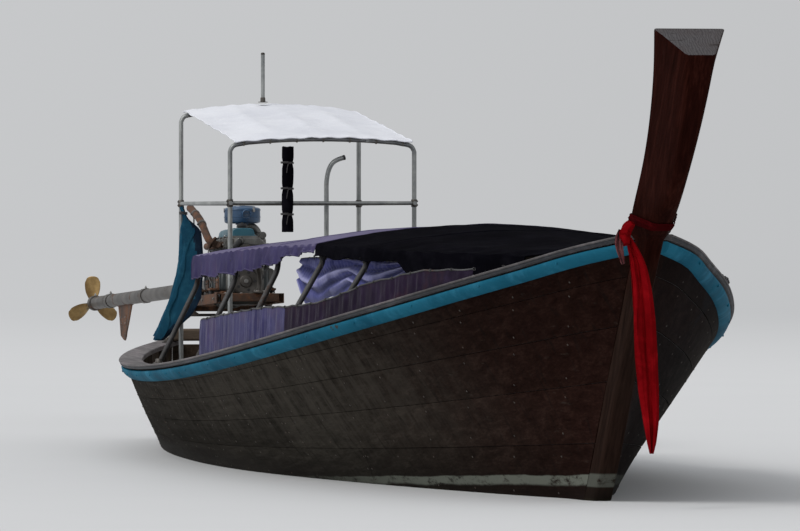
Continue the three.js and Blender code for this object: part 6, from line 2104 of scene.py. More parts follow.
def engine():
    m = Mesh()  # 0 iron, 1 alloy, 2 steel, 3 rusty, 4 rubber, 5 bright
    # sump, crankcase and skirt
    m.block((0.125, -0.105, -0.020), (0.560, 0.105, 0.030), 0.016)
    m.block((0.075, -0.140, 0.022), (0.615, 0.140, 0.046), 0.004)
    m.block((0.072, -0.146, 0.046), (0.618, 0.146, 0.060), 0.003, mat=3)
    for k in range(9):
        x = 0.10 + k * 0.061
        for s in (-1, 1):
            m.hexbolt((x, s * 0.136, 0.022), (0, 0, -1), 0.0055, 0.005, mat=2)
    m.block((0.070, -0.150, 0.060), (0.620, 0.150, 0.195), 0.014)
    m.block((0.080, -0.115, 0.185), (0.610, 0.115, 0.322), 0.008)
    # cylinder barrels showing through the jacket
    for k in range(4):
        x = 0.150 + k * 0.128
        m.lathe([(0.0, 0.064), (0.126, 0.064), (0.128, 0.062)], (x, 0.052, 0.192), (0, 0, 1), 28)
        m.lathe([(0.0, 0.064), (0.126, 0.064), (0.128, 0.062)], (x, -0.052, 0.192), (0, 0, 1), 28)
        for s in (-1, 1):
            m.lathe([(0.0, 0.020), (0.0015, 0.020), (0.0015, 0.016), (-0.001, 0.014)], (x + 0.030, s * 0.1165, 0.245), (0, s, 0), 20, mat=3)
            m.lathe([(0.0, 0.021), (0.0015, 0.021), (0.0015, 0.017), (-0.001, 0.015)], (x, s * 0.1505, 0.130), (0, s, 0), 20, mat=3)
    # stiffening ribs down the skirt and a boss row
    for k in range(7):
        x = 0.094 + k * 0.084
        for s in (-1, 1):
            y = s * 0.150
            m.block((x - 0.005, min(y, y + s * 0.007), 0.066), (x + 0.005, max(y, y + s * 0.007), 0.188), 0.002)
    # engine feet on rubber mounts bolted to the cradle rails
    for x in (0.165, 0.515):
        for s in (-1, 1):
            y0, y1 = sorted((s * 0.140, s * 0.208))
            m.block((x - 0.045, y0, 0.066), (x + 0.045, y1, 0.080), 0.003, mat=3)
            m.block((x - 0.045, min(s * 0.146, s * 0.158), 0.066), (x + 0.045, max(s * 0.146, s * 0.158), 0.140), 0.003, mat=3)
            m.lathe([(0.0, 0.017), (0.006, 0.0155), (0.012, 0.017), (0.018, 0.0155), (0.0235, 0.017)], (x, s * 0.192, 0.0424), (0, 0, 1), 20, mat=4)
            m.hexbolt((x, s * 0.192, 0.080), (0, 0, 1), 0.008, 0.007, mat=2)
            for dx in (-0.028, 0.028):
                m.hexbolt((x + dx, s * 0.158, 0.118), (0, s, 0), 0.006, 0.005, mat=2)
    # timing cover at the forward end
    m.block((0.612, -0.120, 0.050), (0.632, 0.120, 0.318), 0.010, mat=1)
    for y, z in ((-0.105, 0.075), (0.105, 0.075), (-0.105, 0.18), (0.105, 0.18), (-0.105, 0.295), (0.105, 0.295), (0.0, 0.305)):
        m.hexbolt((0.632, y, z), (1, 0, 0), 0.0055, 0.005, mat=2)
    # starter motor with its solenoid
    m.lathe([(0.0, 0.026), (0.008, 0.038), (0.060, 0.040), (0.062, 0.042), (0.175, 0.042), (0.178, 0.039), (0.190, 0.030), (0.194, 0.014)], (0.085, -0.188, 0.205), (1, 0, 0), 28, mat=2)
    m.lathe([(0.0, 0.018), (0.100, 0.018), (0.104, 0.014), (0.112, 0.006)], (0.120, -0.186, 0.264), (1, 0, 0), 20, mat=5)
    m.block((0.090, -0.186, 0.160), (0.125, -0.146, 0.245), 0.006, mat=1)
    # injection pump with four pipes up to the head
    m.block((0.360, 0.146, 0.120), (0.500, 0.196, 0.205), 0.008, mat=1)
    m.lathe([(0.0, 0.040), (0.022, 0.040), (0.026, 0.034)], (0.500, 0.172, 0.165), (1, 0, 0), 24, mat=1)
    m.lathe([(0.0, 0.034), (0.030, 0.034), (0.034, 0.028)], (0.360, 0.172, 0.165), (-1, 0, 0), 24, mat=2)
    for k in range(4):
        xp = 0.384 + k * 0.032
        xh = 0.150 + k * 0.128
        m.lathe([(0.0, 0.010), (0.016, 0.010), (0.018, 0.006), (0.026, 0.006)], (xp, 0.172, 0.205), (0, 0, 1), 12, mat=5)
        m.tube(curve([(xp, 0.172, 0.228), (xp, 0.174, 0.262), (lerp(xp, xh, 0.5), 0.166 - 0.006 * k, 0.295 + 0.008 * k), (xh, 0.150, 0.345), (xh, 0.122, 0.372)], 0.010), 0.0032, 8, mat=5)
        m.lathe([(0.0, 0.0075), (0.012, 0.0075), (0.014, 0.005)], (xh, 0.118, 0.3755), (0, 0.85, -0.5), 6, mat=5)
    # spin-on oil filter
    m.lathe([(0.0, 0.030), (0.006, 0.036), (0.085, 0.036), (0.094, 0.030), (0.096, 0.012)], (0.225, 0.146, 0.145), (0, 1, -0.35), 28, mat=6)
    m.lathe([(-0.004, 0.042), (0.004, 0.042)], (0.225, 0.148, 0.145), (0, 1, -0.35), 28, mat=1)
    # dipstick
    m.tube(curve([(0.300, -0.150, 0.115), (0.300, -0.172, 0.160), (0.302, -0.176, 0.260), (0.306, -0.170, 0.330)], 0.012), 0.0042, 8, mat=5)
    m.tube([V((0.306, -0.170 + 0.011 * math.sin(a), 0.342 - 0.011 * math.cos(a))) for a in np.linspace(0, 2 * math.pi, 19)], 0.0018, 6, mat=5)
    # alternator on its bracket
    m.lathe([(0.0, 0.020), (0.004, 0.048), (0.012, 0.056), (0.040, 0.058), (0.042, 0.055), (0.052, 0.055), (0.054, 0.058), (0.084, 0.056), (0.092, 0.046), (0.096, 0.018)], (0.520, 0.150, 0.300), (1, 0, 0), 32, mat=1)
    for k in range(12):
        a = 2 * math.pi * k / 12
        m.block((0.598, -0.003, 0.026), (0.6175, 0.003, 0.050), 0.001, mat=4, matrix=Matrix.Translation(V((0, 0.150, 0.300))) @ Matrix.Rotation(a, 4, "X"))
    m.block((0.530, 0.108, 0.228), (0.600, 0.136, 0.262), 0.004, mat=2)
    m.block((0.560, 0.090, 0.345), (0.572, 0.150, 0.356), 0.003, mat=2)
    return drive_piece("engine_body", m, [M_IRON, M_ALLOY, M_STEEL, M_RUST, M_RUBBER, M_BRIGHT, M_FILTER], ["engine_block"])


engine()


def head():
    m = Mesh()  # 0 alloy, 1 teal cover, 2 steel, 3 rubber, 4 bright
    m.block((0.080, -0.116, 0.3224), (0.610, 0.116, 0.328), 0.001, mat=3)
    m.block((0.084, -0.108, 0.3275), (0.606, 0.108, 0.392), 0.008)
    m.block((0.092, -0.088, 0.388), (0.598, 0.088, 0.4025), 0.004)
    for k in range(10):
        x = 0.112 + k * 0.053
        for s in (-1, 1):
            y = s * 0.108
            m.block((x - 0.003, min(y, y + s * 0.004), 0.336), (x + 0.003, max(y, y + s * 0.004), 0.386), 0.001)
    for k in range(5):
        x = 0.112 + k * 0.117
        for s in (-1, 1):
            m.hexbolt((x, s * 0.0975, 0.392), (0, 0, 1), 0.008, 0.008, mat=2)
    # rocker cover: pressed shell with a flange, crowned top and three ribs
    prof = [(-0.078, 0.4025), (-0.078, 0.4065), (-0.070, 0.4085), (-0.066, 0.436), (-0.058, 0.4475), (-0.042, 0.4515), (0.042, 0.4515), (0.058, 0.4475), (0.066, 0.436), (0.070, 0.4085), (0.078, 0.4065), (0.078, 0.4025)]
    xs = [0.098, 0.1005, 0.104, 0.112, 0.124] + list(np.linspace(0.15, 0.54, 40)) + [0.566, 0.578, 0.586, 0.5895, 0.592]
    rows = []
    for i, x in enumerate(xs):
        e = min(x - 0.098, 0.592 - x)
        k = 1 if e > 0.024 else (0.10 if e < 0.0015 else lerp(0.86, 1.0, smooth(e / 0.024)))
        rib = 0.0026 if any(abs(x - c) < 0.010 for c in (0.205, 0.345, 0.485)) else 0.0
        rows.append([V((x, y * (1 if j in (0, 1, 10, 11) else (0.985 + 0.015 * k)), 0.4025 + (z - 0.4025) * (k if 1 < j < 10 else 1) + (rib if 3 < j < 8 else 0))) for j, (y, z) in enumerate(prof)])
    m.grid(rows, closed=True, mat=1)
    m.add(rows[0], [list(range(12))], 1)
    m.add(rows[-1], [list(range(12))[::-1]], 1)
    for x in (0.13, 0.345, 0.56):
        for s in (-1, 1):
            m.hexbolt((x, s * 0.0735, 0.4065), (0, 0, 1), 0.005, 0.006, mat=4)
    # oil filler
    m.lathe([(0.0, 0.026), (0.010, 0.026), (0.012, 0.031), (0.024, 0.031), (0.028, 0.026)], (0.530, 0.0, 0.4515), (0, 0, 1), 24, mat=3)
    m.block((0.508, -0.006, 0.478), (0.552, 0.006, 0.486), 0.003, mat=3)
    # exhaust ports
    for k in range(4):
        x = 0.150 + k * 0.1165
        m.block((x - 0.030, -0.1145, 0.328), (x + 0.030, -0.107, 0.372), 0.003, mat=2)
        for dx in (-0.023, 0.023):
            m.hexbolt((x + dx, -0.1145, 0.350), (0, -1, 0), 0.005, 0.006, mat=4)
    # intake manifold on the port side, swept up to the carburettor
    for k in range(4):
        x = 0.150 + k * 0.1165
        m.tube(curve([(x, 0.104, 0.352), (x, 0.132, 0.356), (lerp(x, 0.33, 0.25), 0.146, 0.384), (lerp(x, 0.33, 0.45), 0.142, 0.404)], 0.010), 0.0165, 14)
        m.block((x - 0.026, 0.107, 0.334), (x + 0.026, 0.1135, 0.372), 0.003)
    m.tube(rounded([(0.175, 0.142, 0.410), (0.33, 0.142, 0.414), (0.485, 0.142, 0.410)], 0.02), 0.021, 16)
    m.tube(curve([(0.33, 0.142, 0.414), (0.33, 0.128, 0.446), (0.33, 0.096, 0.470), (0.33, 0.060, 0.474)], 0.008), 0.024, 16)
    m.block((0.296, 0.008, 0.4525), (0.364, 0.078, 0.480), 0.006)
    m.block((0.288, 0.002, 0.4555), (0.372, 0.086, 0.4595), 0.002, mat=4)
    m.hexbolt((0.364, 0.030, 0.468), (1, 0, 0), 0.004, 0.006, mat=4)
    # thermostat housing and top water pipe
    m.lathe([(0.0, 0.034), (0.016, 0.034), (0.026, 0.024), (0.036, 0.020)], (0.596, -0.030, 0.362), (1, 0, 0.3), 22)
    m.tube(curve([(0.628, -0.030, 0.372), (0.650, -0.045, 0.360), (0.654, -0.085, 0.320), (0.645, -0.110, 0.262), (0.634, -0.102, 0.215)], 0.010), 0.0165, 14, mat=3)
    for p, d in (((0.640, -0.034, 0.370), (1, -0.3, -0.3)), ((0.637, -0.104, 0.225), (0.1, 0.1, -1))):
        m.lathe([(-0.005, 0.0178), (-0.004, 0.0188), (0.004, 0.0188), (0.005, 0.0178)], p, d, 18, mat=4)
    return drive_piece("head_and_manifold", m, [M_ALLOY, M_TEAL, M_STEEL, M_RUBBER, M_BRIGHT], ["cylinder_head"])


head()


def pulleys():
    m = Mesh()  # 0 steel, 1 rubber belt, 2 bright
    # crank pulley: two grooves, webbed face with five holes, drawn as flat dark rubber discs: painted shade in place of
    # the openings
    prof = [(0.0, 0.030), (0.0, 0.084), (0.002, 0.090), (0.006, 0.091), (0.014, 0.079), (0.018, 0.079), (0.023, 0.091), (0.026, 0.091), (0.031, 0.079), (0.035, 0.079), (0.042, 0.091), (0.046, 0.089), (0.0475, 0.080), (0.038, 0.076), (0.036, 0.040), (0.044, 0.034), (0.046, 0.018), (0.046, 0.0)]
    m.lathe(prof, (0.6206, 0, SH), (1, 0, 0), 48)
    m.hexbolt((0.6655, 0, SH), (1, 0, 0), 0.0145, 0.006, mat=2, washer=False)
    # each hole is a flat dark disc: painted shade standing in for the opening
    for k in range(5):
        a = 2 * math.pi * k / 5
        m.lathe([(0.0, 0.009), (0.0012, 0.009)], (0.6578, 0.057 * math.cos(a), SH + 0.057 * math.sin(a)), (1, 0, 0), 14, mat=1)
    # water-pump pulley and alternator pulley
    for (y, z, r) in ((0.0, 0.300, 0.050), (0.150, 0.300, 0.034)):
        m.lathe([(0.0, 0.010), (0.0, r), (0.004, r + 0.001), (0.011, r - 0.010), (0.015, r - 0.010), (0.022, r + 0.001), (0.026, r - 0.001), (0.026, r * 0.55), (0.020, r * 0.45), (0.022, 0.0)], (0.6255, y, z), (1, 0, 0), 32)
        m.hexbolt((0.648, y, z), (1, 0, 0), 0.009, 0.008, mat=2, washer=False)
    # belt round the three pulleys
    circ = [(0.0, SH, 0.084), (0.150, 0.300, 0.029), (0.0, 0.300, 0.045)]
    pts = []
    n = len(circ)
    for i in range(n):
        (y0, z0, r0), (y1, z1, r1), (y2, z2, r2) = circ[i - 1], circ[i], circ[(i + 1) % n]

        def tangent(ya, za, ra, yb, zb, rb):
            d = math.hypot(yb - ya, zb - za)
            th = math.atan2(zb - za, yb - ya)
            off = math.acos((ra - rb) / d)
            return th - off

        a_in = tangent(y0, z0, r0, y1, z1, r1)
        a_out = tangent(y1, z1, r1, y2, z2, r2)
        while a_out < a_in:
            a_out += 2 * math.pi
        for q in range(13):
            a = lerp(a_in, a_out, q / 12)
            pts.append((y1 + r1 * math.cos(a), z1 + r1 * math.sin(a), math.cos(a), math.sin(a)))
    rows = []
    for y, z, ny, nz in pts:
        x = 0.6365
        w0, w1, h = 0.0045, 0.0062, 0.009
        rows.append([V((x - w0, y - ny * 0.001, z - nz * 0.001)), V((x + w0, y - ny * 0.001, z - nz * 0.001)), V((x + w1, y + ny * h, z + nz * h)), V((x - w1, y + ny * h, z + nz * h))])
    m.grid(rows, closed=True, loop=True, mat=1)
    return drive_piece("pulleys_and_belt", m, [M_STEEL, M_RUBBER, M_BRIGHT], ["fan_pulley"])


pulleys()


def exhaust():
    m = Mesh()
    for k in range(4):
        x = 0.150 + k * 0.1165
        m.tube(curve([(x, -0.1148, 0.350), (x, -0.128, 0.350), (x + 0.012, -0.142, 0.350), (x + 0.026, -0.150, 0.351)], 0.006), 0.0185, 16)
    m.tube(rounded([(0.140, -0.150, 0.350), (0.49, -0.156, 0.352)], 0.02), 0.0225, 18)
    path = curve([V(p) / 1000 for p in ((462, -150, 351), (500, -160, 352), (505, -190, 368), (470, -203, 392), (400, -206, 430), (250, -206, 500), (40, -206, 560), (-130, -206, 600))], 0.016)
    m.tube(path, 0.0235, 20, caps=False)
    # open end with a lip, and its dark bore
    d = (path[-1] - path[-2]).normalized()
    e = path[-1]
    m.lathe([(-0.012, 0.0235), (-0.004, 0.0250), (0.0, 0.0250), (0.0, 0.0205), (-0.06, 0.0205), (-0.06, 0.0)], e, d, 24)
    # slip joints and saddle clamps
    for i in (int(len(path) * 0.42), int(len(path) * 0.74)):
        d = (path[i + 1] - path[i]).normalized()
        m.lathe([(-0.016, 0.0238), (-0.015, 0.0262), (0.015, 0.0262), (0.016, 0.0238)], path[i], d, 24, mat=1)
        m.hexbolt(path[i] + V((0, -0.026, 0.0)), (0, -1, 0), 0.006, 0.006, mat=1)
    m.lathe([(-0.006, 0.040), (-0.0055, 0.041), (0.0055, 0.041), (0.006, 0.040)], path[4], (path[5] - path[4]).normalized(), 24)
    # stay from the pipe down to the cradle rail
    i = int(len(path) * 0.80)
    p = path[i]
    m.block((p.x - 0.012, -0.2125, 0.042), (p.x + 0.012, -0.2065, p.z - 0.020), 0.001, mat=1)
    m.hexbolt((p.x, -0.2125, 0.075), (0, -1, 0), 0.006, 0.005, mat=1)
    return drive_piece("exhaust_and_manifold", m, [M_RUST, M_STEEL], ["exhaust_pipe"])


exhaust()


def air_filter():
    m = Mesh()
    m.lathe([(0.4800, 0.030), (0.4800, 0.042), (0.4860, 0.042), (0.4880, 0.046), (0.4890, 0.098), (0.4930, 0.108), (0.5010, 0.112), (0.5230, 0.1125), (0.5245, 0.1145), (0.5290, 0.1145), (0.5305, 0.1120), (0.5660, 0.1115), (0.5675, 0.1140), (0.5735, 0.1145), (0.5790, 0.1110), (0.5855, 0.1000), (0.5880, 0.0820), (0.5930, 0.0800), (0.5960, 0.0600), (0.5950, 0.0280), (0.5975, 0.0240), (0.5975, 0.0)], (0.330, 0.040, 0), (0, 0, 1), 48)
    m.lathe([(0.5970, 0.012), (0.6000, 0.012), (0.6005, 0.0)], (0.330, 0.040, 0), (0, 0, 1), 16, mat=1)
    m.block((0.3275, 0.022, 0.5985), (0.3325, 0.058, 0.604), 0.002, mat=1)
    for k in range(3):
        a = 2 * math.pi * k / 3 + 0.5
        rot = Matrix.Translation(V((0.330, 0.040, 0))) @ Matrix.Rotation(a, 4, "Z")
        m.block((0.1115, -0.009, 0.556), (0.1165, 0.009, 0.583), 0.0015, mat=1, matrix=rot)
    # intake snout
    m.tube(curve([(0.330 + 0.100, 0.040, 0.545), (0.330 + 0.128, 0.040, 0.545), (0.330 + 0.150, 0.040, 0.540)], 0.006), 0.0250, 20, caps=False)
    m.lathe([(-0.003, 0.0255), (0.0, 0.0280), (0.003, 0.0270), (0.003, 0.0235), (-0.02, 0.0225)], (0.480, 0.040, 0.540), (1, 0, -0.15), 24)
    for k in range(5):
        m.block((0.479, 0.040 - 0.022, 0.521 + 0.009 * k), (0.4805, 0.040 + 0.022, 0.523 + 0.009 * k), 0.0005, mat=1)
    return drive_piece("air_cleaner", m, [M_FILTER, M_BRIGHT], ["air_filter"])


air_filter()


def gearbox():
    m = Mesh()
    o = (-0.274, 0, SH)
    m.lathe([(0.0, 0.050), (0.0, 0.072), (0.010, 0.074), (0.018, 0.074), (0.020, 0.070), (0.060, 0.073), (0.070, 0.080), (0.120, 0.084), (0.130, 0.090), (0.190, 0.092), (0.200, 0.093), (0.245, 0.112), (0.290, 0.142), (0.300, 0.150), (0.302, 0.157), (0.326, 0.158), (0.328, 0.1575), (0.3295, 0.150), (0.331, 0.158), (0.3432, 0.158), (0.3434, 0.0)], o, (1, 0, 0), 56)
    # ribs over the bell
    for k in range(10):
        a = 2 * math.pi * k / 10 + 0.31
        rot = Matrix.Translation(V(o)) @ Matrix.Rotation(a, 4, "X")
        w = 0.0035
        pts = [(0.130, 0.086), (0.200, 0.090), (0.300, 0.148), (0.300, 0.155), (0.262, 0.133), (0.205, 0.102), (0.130, 0.094)]
        base = [rot @ V((x, -w, r)) for x, r in pts] + [rot @ V((x, w, r)) for x, r in pts]
        n = len(pts)
        faces = [list(range(n))[::-1], list(range(n, 2 * n))] + [[i, (i + 1) % n, n + (i + 1) % n, n + i] for i in range(n)]
        m.add(base, faces)
    for k in range(10):
        a = 2 * math.pi * k / 10
        m.hexbolt((o[0] + 0.302, 0.146 * math.cos(a), SH + 0.146 * math.sin(a)), (-1, 0, 0), 0.007, 0.007, mat=1)
    for k in range(8):
        a = 2 * math.pi * k / 8 + 0.39
        m.hexbolt((o[0] + 0.020, 0.062 * math.cos(a), SH + 0.062 * math.sin(a)), (1, 0, 0), 0.006, 0.006, mat=1)
    # side cover, filler plug and selector lever
    m.lathe([(0.078, 0.034), (0.088, 0.034), (0.091, 0.030)], (-0.165, 0, SH), (0, 1, 0), 24)
    for k in range(5):
        a = 2 * math.pi * k / 5
        m.hexbolt((-0.165 + 0.026 * math.cos(a), 0.0905, SH + 0.026 * math.sin(a)), (0, 1, 0), 0.0045, 0.004, mat=1)
    m.lathe([(0.082, 0.012), (0.100, 0.012)], (-0.110, 0, SH), (0, 0, 1), 6, mat=1)
    m.lathe([(0.078, 0.014), (0.096, 0.012)], (-0.200, 0, SH), (0, -0.55, 0.8), 16)
    m.tube(curve([(-0.200, -0.052, SH + 0.078), (-0.196, -0.062, SH + 0.130), (-0.170, -0.066, SH + 0.205)], 0.012), 0.0055, 10, mat=2)
    m.lathe([(-0.014, 0.006), (-0.009, 0.013), (0.0, 0.0155), (0.009, 0.013), (0.014, 0.006)], (-0.167, -0.0665, SH + 0.214), (0.1, 0, 1), 18, mat=3)
    # rear mount down to the cradle cross member
    for s in (-1, 1):
        m.block((-0.045, min(s * 0.120, s * 0.190), 0.044), (-0.005, max(s * 0.120, s * 0.190), 0.054), 0.003, mat=1)
        m.tube([V((-0.025, s * 0.110, 0.050)), V((-0.010, s * 0.092, SH - 0.050))], 0.010, 10, mat=1)
        m.hexbolt((-0.025, s * 0.172, 0.054), (0, 0, 1), 0.007, 0.007, mat=2)
    return drive_piece("bell_housing", m, [M_ALLOY, M_STEEL, M_BRIGHT, M_RUBBER], ["gearbox"])


gearbox()


def tail():
    m = Mesh()  # 0 steel tube, 1 rust, 2 bright
    m.lathe([(0.0004, 0.040), (0.0004, 0.076), (0.019, 0.076), (0.0215, 0.074), (0.022, 0.050), (0.040, 0.044)], (-0.274, 0, SH), (-1, 0, 0), 40)
    for k in range(8):
        a = 2 * math.pi * k / 8 + 0.2
        m.hexbolt((-0.296, 0.061 * math.cos(a), SH + 0.061 * math.sin(a)), (-1, 0, 0), 0.007, 0.007, mat=2)
    xs = list(np.linspace(-0.300, -5.065, 90))
    m.tube([V((x, 0, SH)) for x in xs], 0.044, 28, caps=False)
    weld_bead(m, (-0.2985, 0, SH), (1, 0, 0), 0.0455, 0.0045, 60)
    # gusset fins behind the flange
    for k in range(4):
        a = math.pi / 4 + k * math.pi / 2
        rot = Matrix.Translation(V((-0.296, 0, SH))) @ Matrix.Rotation(a, 4, "X")
        pts = [(0.0, 0.042), (0.0, 0.072), (-0.012, 0.072), (-0.105, 0.046), (-0.105, 0.042)]
        n = len(pts)
        base = [rot @ V((x, -0.003, r)) for x, r in pts] + [rot @ V((x, 0.003, r)) for x, r in pts]
        m.add(base, [list(range(n))[::-1], list(range(n, 2 * n))] + [[i, (i + 1) % n, n + (i + 1) % n, n + i] for i in range(n)])
    # collar, sleeve joints, end bearing
    m.lathe([(-0.030, 0.0445), (-0.030, 0.056), (-0.027, 0.058), (0.027, 0.058), (0.030, 0.056), (0.030, 0.0445)], (-1.590, 0, SH), (1, 0, 0), 36)
    for x in (-1.556, -1.624):
        weld_bead(m, (x, 0, SH), (1, 0, 0), 0.0455, 0.0042, 60, seed=2)
    for x in (-3.02, -4.45):
        m.lathe([(-0.055, 0.0442), (-0.054, 0.0485), (0.054, 0.0485), (0.055, 0.0442)], (x, 0, SH), (1, 0, 0), 32)
        weld_bead(m, (x - 0.057, 0, SH), (1, 0, 0), 0.0458, 0.0035, 50, seed=1)
        weld_bead(m, (x + 0.057, 0, SH), (1, 0, 0), 0.0458, 0.0035, 50, seed=4)
        m.lathe([(0.044, 0.008), (0.058, 0.008), (0.061, 0.0045), (0.067, 0.0035)], (x, 0, SH), (0, 0, 1), 10, mat=2)
    m.lathe([(0.0, 0.0445), (0.002, 0.0515), (0.006, 0.0525), (0.078, 0.0525), (0.084, 0.051), (0.0895, 0.047), (0.0900, 0.0245), (0.04, 0.0245)], (-5.060, 0, SH), (-1, 0, 0), 36)
    weld_bead(m, (-5.058, 0, SH), (1, 0, 0), 0.0462, 0.004, 50)
    for k in range(6):
        a = 2 * math.pi * k / 6
        m.lathe([(0.0, 0.005), (0.0028, 0.005), (0.0035, 0.003)], (-5.149, 0.038 * math.cos(a), SH + 0.038 * math.sin(a)), (-1, 0, 0), 10, mat=2)
    m.lathe([(0.0505, 0.008), (0.060, 0.008), (0.063, 0.0045), (0.069, 0.0035)], (-5.10, 0, SH), (0, 0, 1), 10, mat=2)
    # skeg: thick plate with a rounded leading edge and a doubler
    out = [(-3.560, 0.082), (-3.700, -0.040), (-3.790, -0.112), (-3.815, -0.145), (-3.850, -0.163), (-3.900, -0.158), (-4.020, -0.127), (-4.065, -0.010), (-4.120, 0.082)]
    dense = []
    for (x0, z0), (x1, z1) in zip(out, out[1:]):
        for k in range(6):
            dense.append((lerp(x0, x1, k / 6), lerp(z0, z1, k / 6)))
    dense.append(out[-1])
    n = len(dense)
    cx, cz = -3.87, 0.02
    inner = [(lerp(x, cx, 0.05), lerp(z, cz, 0.05)) for x, z in dense]
    rings = [[V((x, -0.006, z)) for x, z in inner], [V((x, -0.0035, z)) for x, z in dense], [V((x, 0.0035, z)) for x, z in dense], [V((x, 0.006, z)) for x, z in inner]]
    m.grid(rings, closed=True, mat=1)
    m.add(rings[0], [list(range(n))], 1)
    m.add(rings[-1], [list(range(n))[::-1]], 1)
    for s in (-1, 1):
        pts = [V((x, s * 0.0085, SH - 0.0425)) for x in np.linspace(-3.575, -4.105, 60)]
        m.tube([p + V((0, 0.0008 * ((i * 5) % 3 - 1), 0)) for i, p in enumerate(pts)], [0.0040 + 0.0008 * ((i * 7) % 3) / 2 for i in range(60)], 8, mat=1)
    m.block((-3.98, -0.0085, -0.060), (-3.76, 0.0085, 0.010), 0.002, mat=1)
    for x in (-3.95, -3.79):
        for z in (-0.045, -0.005):
            for s in (-1, 1):
                m.hexbolt((x, s * 0.0085, z), (0, s, 0), 0.006, 0.004, mat=2, washer=False)
    return drive_piece("tail_shaft_tube", m, [M_STEEL, M_RUST, M_BRIGHT], ["tail_tube"])


tail()


def brace():
    m = Mesh()
    ends = []
    for s in (-1, 1):
        p = [V((-0.723, s * 0.196, 0.010)), V((-0.780, s * 0.192, 0.014)), V((-1.540, s * 0.062, SH - 0.018))]
        path = rounded(p, 0.05, 5)
        m.tube(path, 0.015, 14)
        ends.append((p[1], p[2]))
        m.lathe([(0.0, 0.028), (0.006, 0.028)], (-0.7202, s * 0.196, 0.011), (-1, 0, 0), 20)
        weld_bead(m, (-0.728, s * 0.196, 0.0105), (1, 0, 0), 0.016, 0.003, 30)
    # lattice between the struts
    (a0, a1), (b0, b1) = ends
    for k in range(5):
        f = 0.08 + k * 0.19
        p, q = a0.lerp(a1, f), b0.lerp(b1, f)
        m.tube([p, q], 0.008, 10)
        if k < 4:
            r = b0.lerp(b1, f + 0.19) if k % 2 == 0 else a0.lerp(a1, f + 0.19)
            m.tube([p if k % 2 == 0 else q, r], 0.0065, 8)
    # collar plate round the tube
    n = 40
    rows = []
    sq = []
    for k in range(n):
        a = 2 * math.pi * k / n
        c, s = math.cos(a), math.sin(a)
        e = 0.45
        sq.append((math.copysign(abs(c) ** e, c) * 0.071, SH + math.copysign(abs(s) ** e, s) * 0.059))
    ci = [(0.0450 * math.cos(2 * math.pi * k / n), SH + 0.0450 * math.sin(2 * math.pi * k / n)) for k in range(n)]
    for lst, x in ((ci, -1.556), (sq, -1.556), (sq, -1.524), (ci, -1.524)):
        rows.append([V((x, y, z)) for y, z in lst])
    m.grid(rows, closed=True, loop=True)
    for s in (-1, 1):
        for z in (SH + 0.043, SH - 0.043):
            m.hexbolt((-1.524, s * 0.054, z), (1, 0, 0), 0.0065, 0.006, mat=1)
    return drive_piece("tail_struts", m, [M_STEEL, M_BRIGHT], ["tail_brace"])


brace()


def tiller():
    m = Mesh()
    m.block((0.745, 0.025, 0.0424), (0.835, 0.095, 0.054), 0.003)
    for x in (0.757, 0.823):
        for y in (0.037, 0.083):
            m.hexbolt((x, y, 0.054), (0, 0, 1), 0.006, 0.005, mat=2)
    path = curve([V(p) / 1000 for p in ((790, 60, 50), (797, 60, 100), (815, 54, 160), (850, 42, 205), (900, 25, 230), (960, 12, 240), (1080, 6, 249), (1180, 3, 256), (1272, 0, 261))], 0.014)
    m.tube(path, 0.0165, 18)
    weld_bead(m, (0.790, 0.060, 0.056), (0, 0, 1), 0.0175, 0.0035, 30)
    # ribbed grip
    d = (path[-1] - path[-3]).normalized()
    start = path[-1] - d * 0.135
    prof = [(0.0, 0.0168)]
    for k in range(13):
        a = 0.004 + k * 0.0100
        prof += [(a, 0.0178), (a + 0.003, 0.0190), (a + 0.0065, 0.0190), (a + 0.0085, 0.0178)]
    prof += [(0.137, 0.0190), (0.142, 0.0175), (0.1435, 0.010)]
    m.lathe(prof, start, d, 24, mat=1)
    # throttle lever and its rod back to the engine
    c = path[-1] - d * 0.155
    m.lathe([(-0.010, 0.0172), (-0.009, 0.0200), (0.009, 0.0200), (0.010, 0.0172)], c, d, 20, mat=2)
    m.tube(curve([c + V((0, 0.018, 0.004)), c + V((0.030, 0.034, 0.006)), c + V((0.085, 0.040, 0.004))], 0.008), 0.0042, 10, mat=2)
    rod = [c + V((0, 0.022, -0.004))]
    for p in reversed(path[8:-14:4]):
        rod.append(p + V((0, 0.022, 0.0)))
    rod.append(path[8] + V((-0.004, 0.022, 0.004)))
    m.tube(curve(rod, 0.015), 0.0030, 8, mat=2)
    for p in path[10:-14:14]:
        m.block(p + V((-0.004, 0.010, -0.005)), p + V((0.004, 0.027, 0.005)), 0.0012, mat=2)
    return drive_piece("tiller_and_grip", m, [M_STEEL, M_RUBBER, M_BRIGHT], ["tiller_arm"])


tiller()


